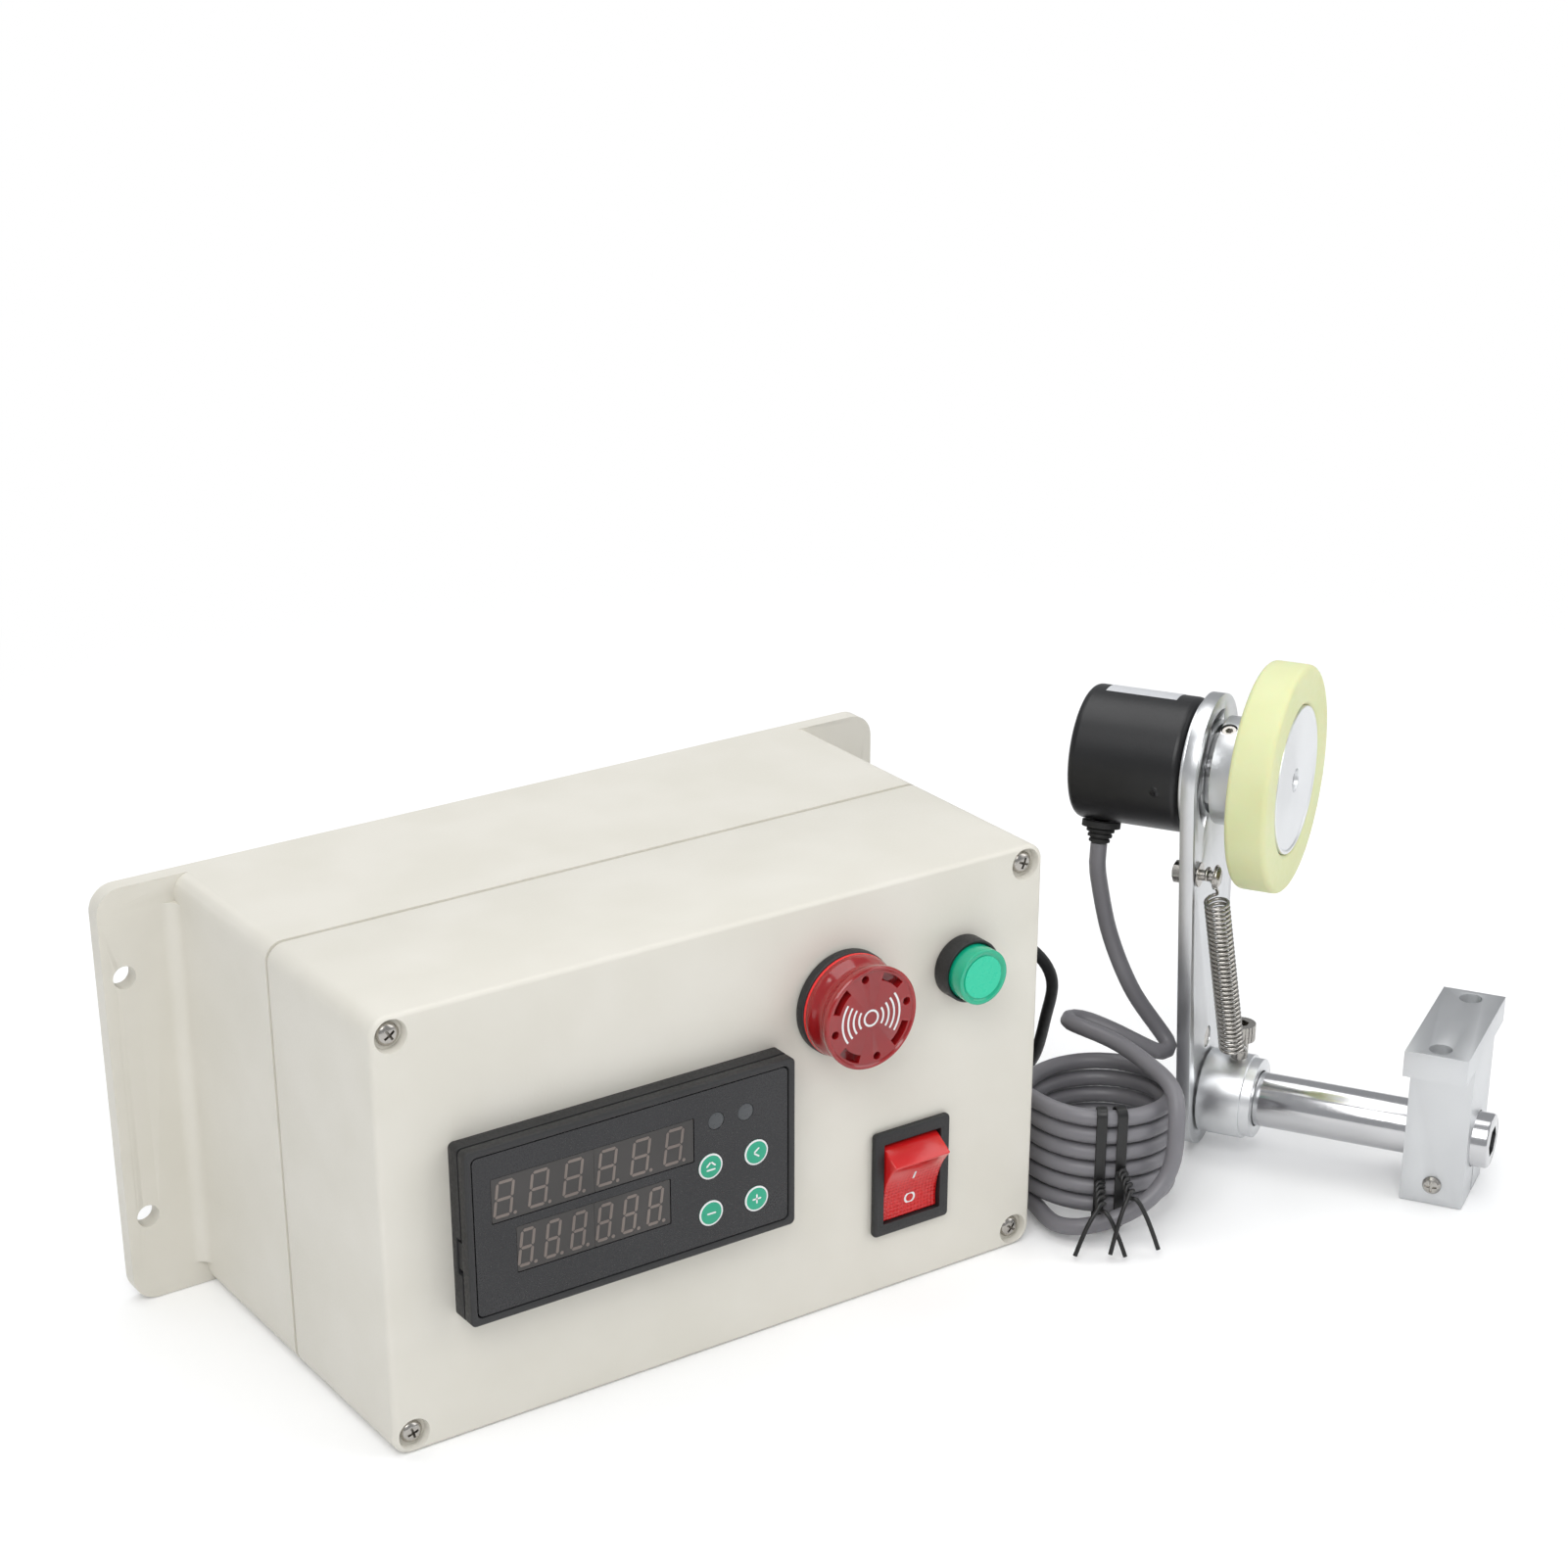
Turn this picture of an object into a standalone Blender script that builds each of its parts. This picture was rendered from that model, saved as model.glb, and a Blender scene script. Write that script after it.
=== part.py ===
"""Digital counter: a wall box with a panel meter, and a measuring wheel on a sprung swing arm.

Metres, +Z up. +X runs right along the front panel and +Y runs back. The origin is on the underside
of the box, at the middle of its width and depth.
"""
import math

import bmesh
import bpy
import numpy as np
from mathutils import Matrix, Vector

# Fits
GAP = 0.0003
OVERRUN = 0.002
SCREW_MERGE = 0.00005

# Box
BOX_WIDTH = 0.200
BOX_HEIGHT = 0.120
BOX_DEPTH = 0.113
COVER_DEPTH = 0.0545
WALL = 0.003
EDGE_ROUND = 0.005
FRONT_ROUND = 0.0013
EAR_REACH = 0.0215
EAR_SPAN = BOX_WIDTH + 2 * EAR_REACH
EAR_THICK = 0.005
EAR_CORNER = 0.007
EAR_FILLET = 0.004
EAR_HOLE_REACH = 0.0155
EAR_HOLE_PITCH_X = BOX_WIDTH + 2 * EAR_HOLE_REACH
EAR_HOLE_PITCH_Z = 0.070
EAR_HOLE = 0.0064
COVER_SCREW_INSET_X = 0.00575
COVER_SCREW_PITCH_X = BOX_WIDTH - 2 * COVER_SCREW_INSET_X
COVER_SCREW_INSET_Z = 0.0052
COVER_SCREW_PITCH_Z = BOX_HEIGHT - 2 * COVER_SCREW_INSET_Z
COVER_SCREW_RECESS = 0.0085
COVER_SCREW_RECESS_DEPTH = 0.002
COVER_SCREW_HEAD = 0.0058
COVER_SCREW_HEAD_HEIGHT = 0.0016
COVER_SCREW_SHANK = 0.0036
COVER_SCREW_LENGTH = 0.012
CORNER_POST = 0.010

# Supply board in the base
BOARD_WIDTH = 0.110
BOARD_HEIGHT = 0.070
BOARD_THICK = 0.0016
BOARD_X = -0.020
BOARD_POST = 0.007
BOARD_POST_HEIGHT = 0.008
BOARD_HOLE_INSET = 0.006
TRANSFORMER_WIDTH = 0.030
TRANSFORMER_HEIGHT = 0.026
TRANSFORMER_DEPTH = 0.020

# Panel meter
METER_Z = 0.0591
METER_WIDTH = 0.096
METER_ROOM_SHARE = 0.33
METER_HEIGHT = 0.048
METER_REAR_BAND = 0.0043
METER_BAND_GAP = 0.0005
METER_FRONT_BAND = 0.0033
METER_CORNER = 0.0015
METER_CASE_WIDTH = 0.0915
METER_CASE_HEIGHT = 0.0445
METER_CASE_DEPTH = 0.048
METER_CASE_WALL = 0.002
METER_RIM = 0.0019
OVERLAY_THICK = 0.0006
UPPER_WINDOW_CENTRE = (-0.01175, 0.0089)
UPPER_WINDOW_SIZE = (0.0585, 0.0124)
LOWER_WINDOW_CENTRE = (-0.01205, -0.00625)
LOWER_WINDOW_SIZE = (0.0447, 0.0129)
DISPLAY_DEPTH = 0.006
LED_PLACES = ((0.0241, 0.0125), (0.0330, 0.0125))
LED_RADIUS = 0.0023
KEY_PLACES = ((0.0222, 0.0002), (0.0361, 0.0002), (0.0222, -0.0132), (0.0361, -0.0132))
KEY_RADIUS = 0.00355
KEY_TRAVEL = 0.0004
METER_BOARD_THICK = 0.0016
CLIP_HEIGHT = 0.022
CLIP_THICK = 0.004
CLIP_LENGTH = 0.020

# Buzzer
BUZZER_ROOM_SHARE = 0.0988
BUZZER_BELOW_TOP = 0.0294
BUZZER_Z = BOX_HEIGHT - BUZZER_BELOW_TOP
BUZZER_COLLAR = 0.0145
BUZZER_COLLAR_LENGTH = 0.0030
BUZZER_WAIST = 0.0122
BUZZER_FRONT = 0.0141
BUZZER_LENGTH = 0.0135
BUZZER_THREAD = 0.0108
BUZZER_TAIL = 0.034
BUZZER_NUT_FLATS = 0.028
NUT_THICK = 0.004
BUZZER_HOLE = 0.0013
BUZZER_HOLE_RING = 0.0110
BUZZER_TURN = 10.0
BUZZER_SLOT_SPREAD = 18.0
BUZZER_LIP = 0.0014
BUZZER_HOLE_DEPTH = 0.003

# Reset button
RESET_ROOM_SHARE = 0.263
RESET_BELOW_TOP = 0.0289
RESET_Z = BOX_HEIGHT - RESET_BELOW_TOP
RESET_COLLAR = 0.0087
RESET_COLLAR_LENGTH = 0.0055
RESET_CAP = 0.0077
RESET_FRONT = 0.0101
RESET_TRAVEL = 0.003
RESET_STEM = 0.0035
RESET_THREAD = 0.0078
RESET_TAIL = 0.026
RESET_NUT_FLATS = 0.020
RESET_INNER = 0.0052
RESET_DISH = 0.0004
RESET_FLOOR = 0.0015

# Rocker switch
ROCKER_INSIDE_RESET = 0.016
ROCKER_Z = 0.0336
ROCKER_BEZEL_WIDTH = 0.0248
ROCKER_BEZEL_HEIGHT = 0.0310
ROCKER_BEZEL_THICK = 0.0020
ROCKER_BEZEL_CORNER = 0.0030
ROCKER_OPENING_WIDTH = 0.0187
ROCKER_OPENING_HEIGHT = 0.0240
ROCKER_BODY_WIDTH = 0.0212
ROCKER_BODY_HEIGHT = 0.0270
ROCKER_BODY_DEPTH = 0.024
ROCKER_PIVOT_DEPTH = 0.0035
ROCKER_RIDGE = 0.0126
ROCKER_END = 0.0117
ROCKER_RIDGE_ANGLE = 51.0
ROCKER_END_ANGLE = 88.0
ROCKER_BACK = 0.006
ROCKER_DISH = 0.0022
ROCKER_TILT = 18.0

# What is left of the panel's width, shared between the pieces on it
PANEL_ROOM = BOX_WIDTH - METER_WIDTH - 2 * BUZZER_COLLAR - 2 * RESET_COLLAR
METER_X = -BOX_WIDTH / 2 + METER_ROOM_SHARE * PANEL_ROOM + METER_WIDTH / 2
BUZZER_X = METER_X + METER_WIDTH / 2 + BUZZER_ROOM_SHARE * PANEL_ROOM + BUZZER_COLLAR
RESET_X = BUZZER_X + BUZZER_COLLAR + RESET_ROOM_SHARE * PANEL_ROOM + RESET_COLLAR
ROCKER_X = RESET_X - ROCKER_INSIDE_RESET

# Cable entries in the right wall
SIGNAL_GLAND_Y = 0.010
SIGNAL_GLAND_Z = 0.030
POWER_GLAND_Y = 0.010
POWER_GLAND_Z = 0.062
GLAND_NUT_FLATS = 0.015
GLAND_NUT_THICK = 0.005
GLAND_DOME = 0.0058
GLAND_DOME_LENGTH = 0.007
GLAND_THREAD = 0.0055
GLAND_INSIDE = 0.010

# Measuring wheel: its shaft's axis in plan, and its own stand
STAND_X = 0.2185
STAND_Y = -0.0983
STAND_TURN = 58.0
SHAFT_HEIGHT = 0.0172
SHAFT_RADIUS = 0.008
SHAFT_END = 0.0137
SHAFT_REAR = -0.0772
SHAFT_CHAMFER = 0.0008
SHAFT_SOCKET_FLATS = 0.008
SHAFT_SOCKET_DEPTH = 0.007
BLOCK_THICK = 0.018
BLOCK_WIDTH = 0.0245
BLOCK_HEIGHT = 0.0441
PLATE_WIDTH = 0.0473
PLATE_THICK = 0.0077
PLATE_HOLE = 0.0065
PLATE_HOLE_PITCH = 0.037
BLOCK_SLIT = 0.0015
CLAMP_SCREW_HEIGHT = 0.006
CLAMP_SCREW_RADIUS = 0.0020
CLAMP_SCREW_HEAD = 0.0027
CLAMP_SCREW_DOME = 0.0012
COLLAR_RADIUS = 0.0125
COLLAR_FRONT = -0.055
COLLAR_LENGTH = 0.0158
COLLAR_STEP = 0.0008
COLLAR_STEP_LENGTH = 0.003
COLLAR_SCREW_PLACE = -0.062
COLLAR_SCREW_RADIUS = 0.0025
COLLAR_SCREW_HEAD = 0.0043
COLLAR_SCREW_HEAD_LENGTH = 0.005
COLLAR_SCREW_NECK = 0.0056
COLLAR_SCREW_DEPTH = 0.004
COLLAR_SCREW_SOCKET = 0.004

# Swing arm
ARM_FRONT = -0.0714
ARM_THICK = 0.004
ARM_LENGTH = 0.1044
ARM_LEAN = 5.55
ARM_HEAD = 0.021
ARM_FOOT = 0.0165
ARM_BUSH_RADIUS = 0.0105
ARM_HUB_HOLE = 0.0125
ARM_SLOT_RING = 0.0152
ARM_SLOT_WIDTH = 0.0032
ARM_SLOT_SPREAD = 24.0
ARM_SLOT_COUNT = 3
ARM_SCREW_DISTANCE = 0.0178
ARM_SCREW_RADIUS = 0.0032
SPRING_POST_BELOW = 0.0258
SPRING_POST_DISTANCE = ARM_LENGTH - SPRING_POST_BELOW
SPRING_POST_OFFSET = 0.0150
SPRING_POST_RADIUS = 0.0015
SPRING_POST_HEAD = 0.0030
SPRING_POST_LENGTH = 0.006
SPRING_WASHER = 0.0035
SPRING_WASHER_THICK = 0.0005
SPRING_NUT_FLATS = 0.0055
SPRING_NUT_THICK = 0.0024

# Extension spring
SPRING_RADIUS = 0.0033
SPRING_WIRE = 0.001
SPRING_HOOK = 0.0076
SPRING_POINTS = 8
SPRING_PITCH = 0.00153

# Encoder
ENCODER_RADIUS = 0.019
ENCODER_REAR = -0.1093
ENCODER_FLANGE = 0.0013
ENCODER_ROUND = 0.0022
ENCODER_SHAFT_RADIUS = 0.003
ENCODER_SHAFT_END = -0.0500
ENCODER_BOSS = 0.010
ENCODER_BOSS_LENGTH = 0.003
GROMMET_PLACE = -0.1025
GROMMET_TURN = 15.0
GROMMET_FLANGE = 0.0055
GROMMET_NECK = 0.0035
GROMMET_FLANGE_THICK = 0.0018
GROMMET_LENGTH = 0.0062

# Wheel
TYRE_RADIUS = 0.03183
TYRE_FRONT = -0.0484
TYRE_WIDTH = 0.0116
TYRE_ROUND = 0.0015
HUB_RADIUS = 0.0152
HUB_REAR = -0.0693
HUB_BORE = 0.0033
DISC_RADIUS = 0.0207
GRUB_PLACE = -0.067
GRUB_TURN = 22.0
GRUB_RADIUS = 0.002
GRUB_SOCKET = 0.002

# Cords
CABLE_THICK = 0.0048
POWER_THICK = 0.0036
COIL_X = 0.132
COIL_Y = -0.0455
COIL_RADIUS = 0.0215
COIL_TURNS = 6
COIL_PITCH = 0.00535
LOOP_POINTS = 24
POWER_COIL_X = 0.1275
POWER_COIL_Y = 0.0225
POWER_COIL_OUTER = 0.0237
POWER_COIL_STEP = 0.0042
POWER_COIL_TURNS = 2
POWER_COIL_LAYERS = 4
POWER_COIL_START = 100.0
POWER_COIL_EXTRA = 18
POWER_TIE_ANGLE = 94.0
TIE_WIDTH = 0.003
TIE_THICK = 0.0008
COIL_LIFT = TIE_THICK + 2 * GAP
TIE_ANGLES = (-126.0, -112.0)
CABLE_LEAD_ROUTE = (
    (0.1511, -0.0195, 0.0849), (0.1563, -0.0193, 0.0665), (0.1612, -0.0245, 0.0497),
    (0.1675, -0.0295, 0.0378), (0.1690, -0.0352, 0.0322), (0.1640, -0.0356, 0.0322),
    (0.1605, -0.0330, 0.0345), (0.1570, -0.0305, 0.0368),
)
CABLE_LOOP_ROUTE = (
    (0.15678, -0.03035, 0.03694), (0.1535, -0.0280, 0.0391), (0.1505, -0.0240, 0.0407),
    (0.1474, -0.0196, 0.0420), (0.1434, -0.0178, 0.0428), (0.1404, -0.0204, 0.0433),
    (0.1408, -0.0270, 0.0436),
    (0.1435, -0.0390, 0.0430), (0.1425, -0.0540, 0.0425), (0.1400, -0.0690, 0.0408),
    (0.1375, -0.0738, 0.0320), (0.1350, -0.0750, 0.0195), (0.1265, -0.0742, 0.0110),
    (0.1145, -0.0690, 0.0060), (0.1072, -0.0600, 0.0040),
)
POWER_LEAD_ROUTE = (
    (0.1155, 0.0100, 0.0622), (0.1300, 0.0085, 0.0635), (0.1440, 0.0030, 0.0575),
    (0.1515, 0.0000, 0.0465), (0.1545, 0.0060, 0.0300), (0.1570, 0.0130, 0.0150),
    (0.1567, 0.0185, 0.0065),
)
POWER_TAIL_ROUTE = (
    (0.1535, 0.0450, 0.0140), (0.1560, 0.0560, 0.0115), (0.1585, 0.0650, 0.0095),
)
PLUG_PLACE = (0.138, 0.070, 0.0085)
PLUG_WIDTH = 0.021
PLUG_HEIGHT = 0.015
PLUG_LENGTH = 0.030
PLUG_RELIEF = 0.0035
PLUG_RELIEF_LENGTH = 0.012
PLUG_PIN_WIDTH = 0.0063
PLUG_PIN_THICK = 0.0015
PLUG_PIN_LENGTH = 0.0165
PLUG_PIN_PITCH = 0.0127

# Sides of round pieces
FINE = 32
ROUND = 20
SMALL = 12


# Scene and materials

for old in list(bpy.data.objects):
    bpy.data.objects.remove(old, do_unlink=True)

PARTS = bpy.data.collections.new("digital_counter")
CUTTERS = bpy.data.collections.new("cutters")
bpy.context.scene.collection.children.link(PARTS)
bpy.context.scene.collection.children.link(CUTTERS)
CUTTERS.hide_render = True


def material(name, colour, roughness, metallic=0.0):
    made = bpy.data.materials.new(name)
    made.use_nodes = True
    shader = made.node_tree.nodes["Principled BSDF"]
    shader.inputs["Base Color"].default_value = (*colour, 1.0)
    shader.inputs["Roughness"].default_value = roughness
    shader.inputs["Metallic"].default_value = metallic
    return made


BOX_PLASTIC = material("box plastic", (0.72, 0.70, 0.63), 0.5)
BLACK_PLASTIC = material("black plastic", (0.02, 0.02, 0.022), 0.45)
GLOSS_BLACK = material("gloss black", (0.012, 0.012, 0.014), 0.2)
RED_LENS = material("red lens", (0.6, 0.02, 0.02), 0.25)
GREEN_CAP = material("green cap", (0.03, 0.45, 0.16), 0.3)
KEY_GREEN = material("key green", (0.03, 0.30, 0.14), 0.5)
DISPLAY_GREY = material("display grey", (0.10, 0.10, 0.10), 0.3)
BOARD_GREEN = material("board green", (0.02, 0.18, 0.06), 0.5)
RUBBER = material("rubber", (0.03, 0.03, 0.03), 0.75)
GREY_SHEATH = material("grey sheath", (0.16, 0.16, 0.17), 0.5)
BLACK_SHEATH = material("black sheath", (0.015, 0.015, 0.016), 0.5)
SATIN_ALUMINIUM = material("satin aluminium", (0.80, 0.81, 0.82), 0.35, 1.0)
POLISHED_STEEL = material("polished steel", (0.72, 0.72, 0.73), 0.12, 1.0)
SCREW_STEEL = material("screw steel", (0.60, 0.59, 0.56), 0.25, 1.0)
TYRE_YELLOW = material("tyre yellow green", (0.62, 0.72, 0.32), 0.6)
ENCODER_BLACK = material("encoder black", (0.03, 0.03, 0.033), 0.5)


# Frames: local X runs across, local Y runs up and local Z points out of the face

def frame(place, across, up):
    out = Vector(across).cross(Vector(up))
    turn = Matrix((across, up, out)).transposed()
    return Matrix.Translation(Vector(place)) @ turn.to_4x4()


UP = (0.0, 0.0, 1.0)
PANEL = frame((0.0, -BOX_DEPTH / 2, 0.0), (1.0, 0.0, 0.0), UP)
TURN = math.radians(STAND_TURN)
STAND = frame((STAND_X, STAND_Y, 0.0), (math.sin(TURN), math.cos(TURN), 0.0), UP)
RIGHT_WALL = frame((BOX_WIDTH / 2, 0.0, 0.0), (0.0, 1.0, 0.0), UP)
SHAFT = STAND @ Matrix.Translation((0.0, SHAFT_HEIGHT, 0.0))
LEAN = math.radians(ARM_LEAN)
WHEEL = SHAFT @ Matrix.Rotation(LEAN, 4, "Z") @ Matrix.Translation((0.0, ARM_LENGTH, 0.0))
ARM = SHAFT @ Matrix.Rotation(LEAN, 4, "Z")


def at(base, x=0.0, y=0.0, z=0.0):
    return base @ Matrix.Translation((x, y, z))


# Shapes

def finish(obj, coat):
    obj.data.materials.clear()
    obj.data.materials.append(coat)
    for owner in list(obj.users_collection):
        owner.objects.unlink(obj)
    PARTS.objects.link(obj)
    return obj


def as_cutter(obj):
    for owner in list(obj.users_collection):
        owner.objects.unlink(obj)
    CUTTERS.objects.link(obj)
    obj.hide_render = True
    obj.display_type = "WIRE"
    return obj


def from_bmesh(name, mesh, base):
    bmesh.ops.recalc_face_normals(mesh, faces=mesh.faces)
    data = bpy.data.meshes.new(name)
    mesh.to_mesh(data)
    mesh.free()
    obj = bpy.data.objects.new(name, data)
    obj.matrix_world = base
    PARTS.objects.link(obj)
    return obj


def box(name, size, base):
    """A box centred on its base, with its real size in the mesh."""
    mesh = bmesh.new()
    bmesh.ops.create_cube(mesh, size=1.0)
    bmesh.ops.scale(mesh, vec=Vector(size), verts=mesh.verts)
    return from_bmesh(name, mesh, base)


def rod(name, radius, start, end, base, sides=ROUND, end_radius=None):
    """A cylinder or cone along the base's Z, from start to end."""
    mesh = bmesh.new()
    tip = radius if end_radius is None else end_radius
    bmesh.ops.create_cone(
        mesh, cap_ends=True, segments=sides, radius1=radius, radius2=tip, depth=end - start,
        matrix=Matrix.Translation((0.0, 0.0, (start + end) / 2)),
    )
    obj = from_bmesh(name, mesh, base)
    smooth(obj)
    return obj


def smooth(obj):
    obj.data.shade_smooth()
    obj.data.set_sharp_from_angle(angle=math.radians(35.0))


def turned(name, profile, base, sides=ROUND, closed=False):
    """A turned solid. The profile's points are (radius, place along Z), top to bottom."""
    data = bpy.data.meshes.new(name)
    points = [(radius, 0.0, place) for radius, place in profile]
    edges = [(i, i + 1) for i in range(len(points) - 1)]
    if closed:
        edges.append((len(points) - 1, 0))
    data.from_pydata(points, edges, [])
    obj = bpy.data.objects.new(name, data)
    obj.matrix_world = base
    PARTS.objects.link(obj)
    spin = obj.modifiers.new("spin", "SCREW")
    spin.steps = sides
    spin.render_steps = sides
    spin.use_merge_vertices = True
    spin.merge_threshold = SCREW_MERGE
    spin.use_smooth_shade = True
    return obj


def baked(obj):
    """Applies an object's modifiers, or turns a curve into a closed mesh."""
    bpy.context.view_layer.update()
    graph = bpy.context.evaluated_depsgraph_get()
    data = bpy.data.meshes.new_from_object(obj.evaluated_get(graph))
    mesh = bmesh.new()
    mesh.from_mesh(data)
    bmesh.ops.remove_doubles(mesh, verts=mesh.verts, dist=SCREW_MERGE / 10)
    bmesh.ops.recalc_face_normals(mesh, faces=mesh.faces)
    mesh.to_mesh(data)
    mesh.free()
    name = obj.name
    made = bpy.data.objects.new(name, data)
    made.matrix_world = obj.matrix_world.copy()
    bpy.data.objects.remove(obj, do_unlink=True)
    made.name = name
    PARTS.objects.link(made)
    smooth(made)
    return made


def plate(name, outlines, thick, base):
    """A flat plate from z zero to thick. The first outline is its edge and the rest are holes."""
    curve = bpy.data.curves.new(name, "CURVE")
    curve.dimensions = "2D"
    curve.fill_mode = "BOTH"
    curve.extrude = thick / 2
    for outline in outlines:
        spline = curve.splines.new("POLY")
        spline.points.add(len(outline) - 1)
        for point, (x, y) in zip(spline.points, outline):
            point.co = (x, y, 0.0, 1.0)
        spline.use_cyclic_u = True
    obj = bpy.data.objects.new(name, curve)
    obj.matrix_world = at(base, z=thick / 2)
    PARTS.objects.link(obj)
    return baked(obj)


def boolean(obj, other, operation):
    made = obj.modifiers.new(operation.lower(), "BOOLEAN")
    made.object = as_cutter(other)
    made.operation = operation
    made.solver = "EXACT"


def cut(obj, *others):
    for other in others:
        boolean(obj, other, "DIFFERENCE")
    return obj


def join(obj, *others):
    for other in others:
        boolean(obj, other, "UNION")
    return obj


def bevel(obj, width, segments=2, angle=40.0):
    made = obj.modifiers.new("bevel", "BEVEL")
    made.width = width
    made.segments = segments
    made.limit_method = "ANGLE"
    made.angle_limit = math.radians(angle)
    return obj


def circle(radius, x=0.0, y=0.0, sides=ROUND, start=0.0):
    steps = [start + 2 * math.pi * i / sides for i in range(sides)]
    return [(x + radius * math.cos(a), y + radius * math.sin(a)) for a in steps]


def arc(radius, first, last, count, x=0.0, y=0.0):
    angles = np.linspace(math.radians(first), math.radians(last), count)
    return [(x + radius * math.cos(a), y + radius * math.sin(a)) for a in angles]


def rounded(width, height, corner, x=0.0, y=0.0, count=4):
    """A rectangle's outline with round corners."""
    made = []
    for sign_x, sign_y, first in ((1, 1, 0), (-1, 1, 90), (-1, -1, 180), (1, -1, 270)):
        made += arc(
            corner, first, first + 90, count,
            x + sign_x * (width / 2 - corner), y + sign_y * (height / 2 - corner),
        )
    return made


def hexagon(flats, x=0.0, y=0.0):
    return circle(flats / math.sqrt(3), x, y, 6)


def tube(name, points, thick, coat, resolution=2):
    """A cord or wire along the points, in world metres."""
    curve = bpy.data.curves.new(name, "CURVE")
    curve.dimensions = "3D"
    curve.bevel_depth = thick / 2
    curve.bevel_resolution = resolution
    curve.use_fill_caps = True
    spline = curve.splines.new("POLY")
    spline.points.add(len(points) - 1)
    for point, place in zip(spline.points, points):
        point.co = (*place, 1.0)
    obj = bpy.data.objects.new(name, curve)
    PARTS.objects.link(obj)
    return finish(obj, coat)


def smooth_route(places, step):
    """Evenly spaced points on a smooth curve through the places, less the first and last run, which stay straight."""
    p = np.array([tuple(place) for place in places], float)
    dense = []
    for i in range(1, len(p) - 2):
        for t in np.linspace(0.0, 1.0, 24, endpoint=False):
            a, b, c, d = p[i - 1], p[i], p[i + 1], p[i + 2]
            dense.append(
                0.5 * (2 * b + (c - a) * t + (2 * a - 5 * b + 4 * c - d) * t**2
                       + (3 * b - a - 3 * c + d) * t**3)
            )
    dense.append(p[-2])
    dense = np.array(dense)
    run = np.r_[0.0, np.cumsum(np.linalg.norm(np.diff(dense, axis=0), axis=1))]
    count = max(4, int(round(run[-1] / step)))
    wanted = np.linspace(0.0, run[-1], count + 1)
    inside = np.array([np.interp(wanted, run, dense[:, k]) for k in range(3)]).T
    return [tuple(q) for q in np.vstack([p[:1], inside, p[-1:]])]


def carried_by(joint, *objects):
    for obj in objects:
        obj.parent = joint
        obj.matrix_parent_inverse = joint.matrix_world.inverted()


def empty(name, base):
    made = bpy.data.objects.new(name, None)
    made.matrix_world = base
    PARTS.objects.link(made)
    return made


# Box

MID_Z = BOX_HEIGHT / 2
SEAM_Y = -BOX_DEPTH / 2 + COVER_DEPTH
BACK_Y = BOX_DEPTH / 2
SCREW_PLACES = [
    (x * COVER_SCREW_PITCH_X / 2, MID_Z + z * COVER_SCREW_PITCH_Z / 2)
    for x, z in ((-1, -1), (1, -1), (-1, 1), (1, 1))
]


def box_section(name, width, height, corner, front, back):
    """A block with the box's round corners, between two places along Y."""
    return plate(name, [rounded(width, height, corner)], back - front, at(PANEL, y=MID_Z, z=-BOX_DEPTH / 2 - back))


def box_cover():
    front = -BOX_DEPTH / 2
    cover = box_section("enclosure_cover", BOX_WIDTH, BOX_HEIGHT, EDGE_ROUND, front, SEAM_Y - GAP / 2)
    bevel(cover, FRONT_ROUND, 2, 60.0)
    cover.modifiers["bevel"].limit_method = "WEIGHT"
    mark_front(cover)
    inner = box_section(
        "cover_hollow", BOX_WIDTH - 2 * WALL, BOX_HEIGHT - 2 * WALL, EDGE_ROUND - WALL,
        front + WALL, SEAM_Y + OVERRUN,
    )
    cut(cover, inner)
    for number, (x, z) in enumerate(SCREW_PLACES):
        post = rod(
            f"cover_post_{number}", CORNER_POST / 2, -COVER_DEPTH + GAP / 2, -WALL / 2, at(PANEL, x, z), SMALL
        )
        corner = box_section(
            f"cover_corner_{number}", BOX_WIDTH, BOX_HEIGHT, EDGE_ROUND, front + WALL / 2, SEAM_Y - GAP / 2
        )
        keep = post.modifiers.new("inside", "BOOLEAN")
        keep.operation = "INTERSECT"
        keep.object = as_cutter(corner)
        join(cover, post)
    for number, (x, z) in enumerate(SCREW_PLACES):
        recess = rod(
            f"recess_{number}", COVER_SCREW_RECESS / 2, -COVER_SCREW_RECESS_DEPTH, OVERRUN, at(PANEL, x, z), ROUND
        )
        hole = rod(
            f"cover_hole_{number}", COVER_SCREW_SHANK / 2 + GAP, -COVER_DEPTH - OVERRUN, 0.0, at(PANEL, x, z), SMALL
        )
        cut(cover, recess, hole)
    cuts = [
        box("meter_cut", (METER_CASE_WIDTH + 2 * GAP, METER_CASE_HEIGHT + 2 * GAP, 2 * WALL + OVERRUN),
            at(PANEL, METER_X, METER_Z)),
        rod("buzzer_cut", BUZZER_THREAD + GAP, -WALL - OVERRUN, OVERRUN, at(PANEL, BUZZER_X, BUZZER_Z)),
        rod("reset_cut", RESET_THREAD + GAP, -WALL - OVERRUN, OVERRUN, at(PANEL, RESET_X, RESET_Z)),
        box("rocker_cut", (ROCKER_BODY_WIDTH + 2 * GAP, ROCKER_BODY_HEIGHT + 2 * GAP, 2 * WALL + OVERRUN),
            at(PANEL, ROCKER_X, ROCKER_Z)),
    ]
    cut(cover, *cuts)
    return finish(cover, BOX_PLASTIC)


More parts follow.
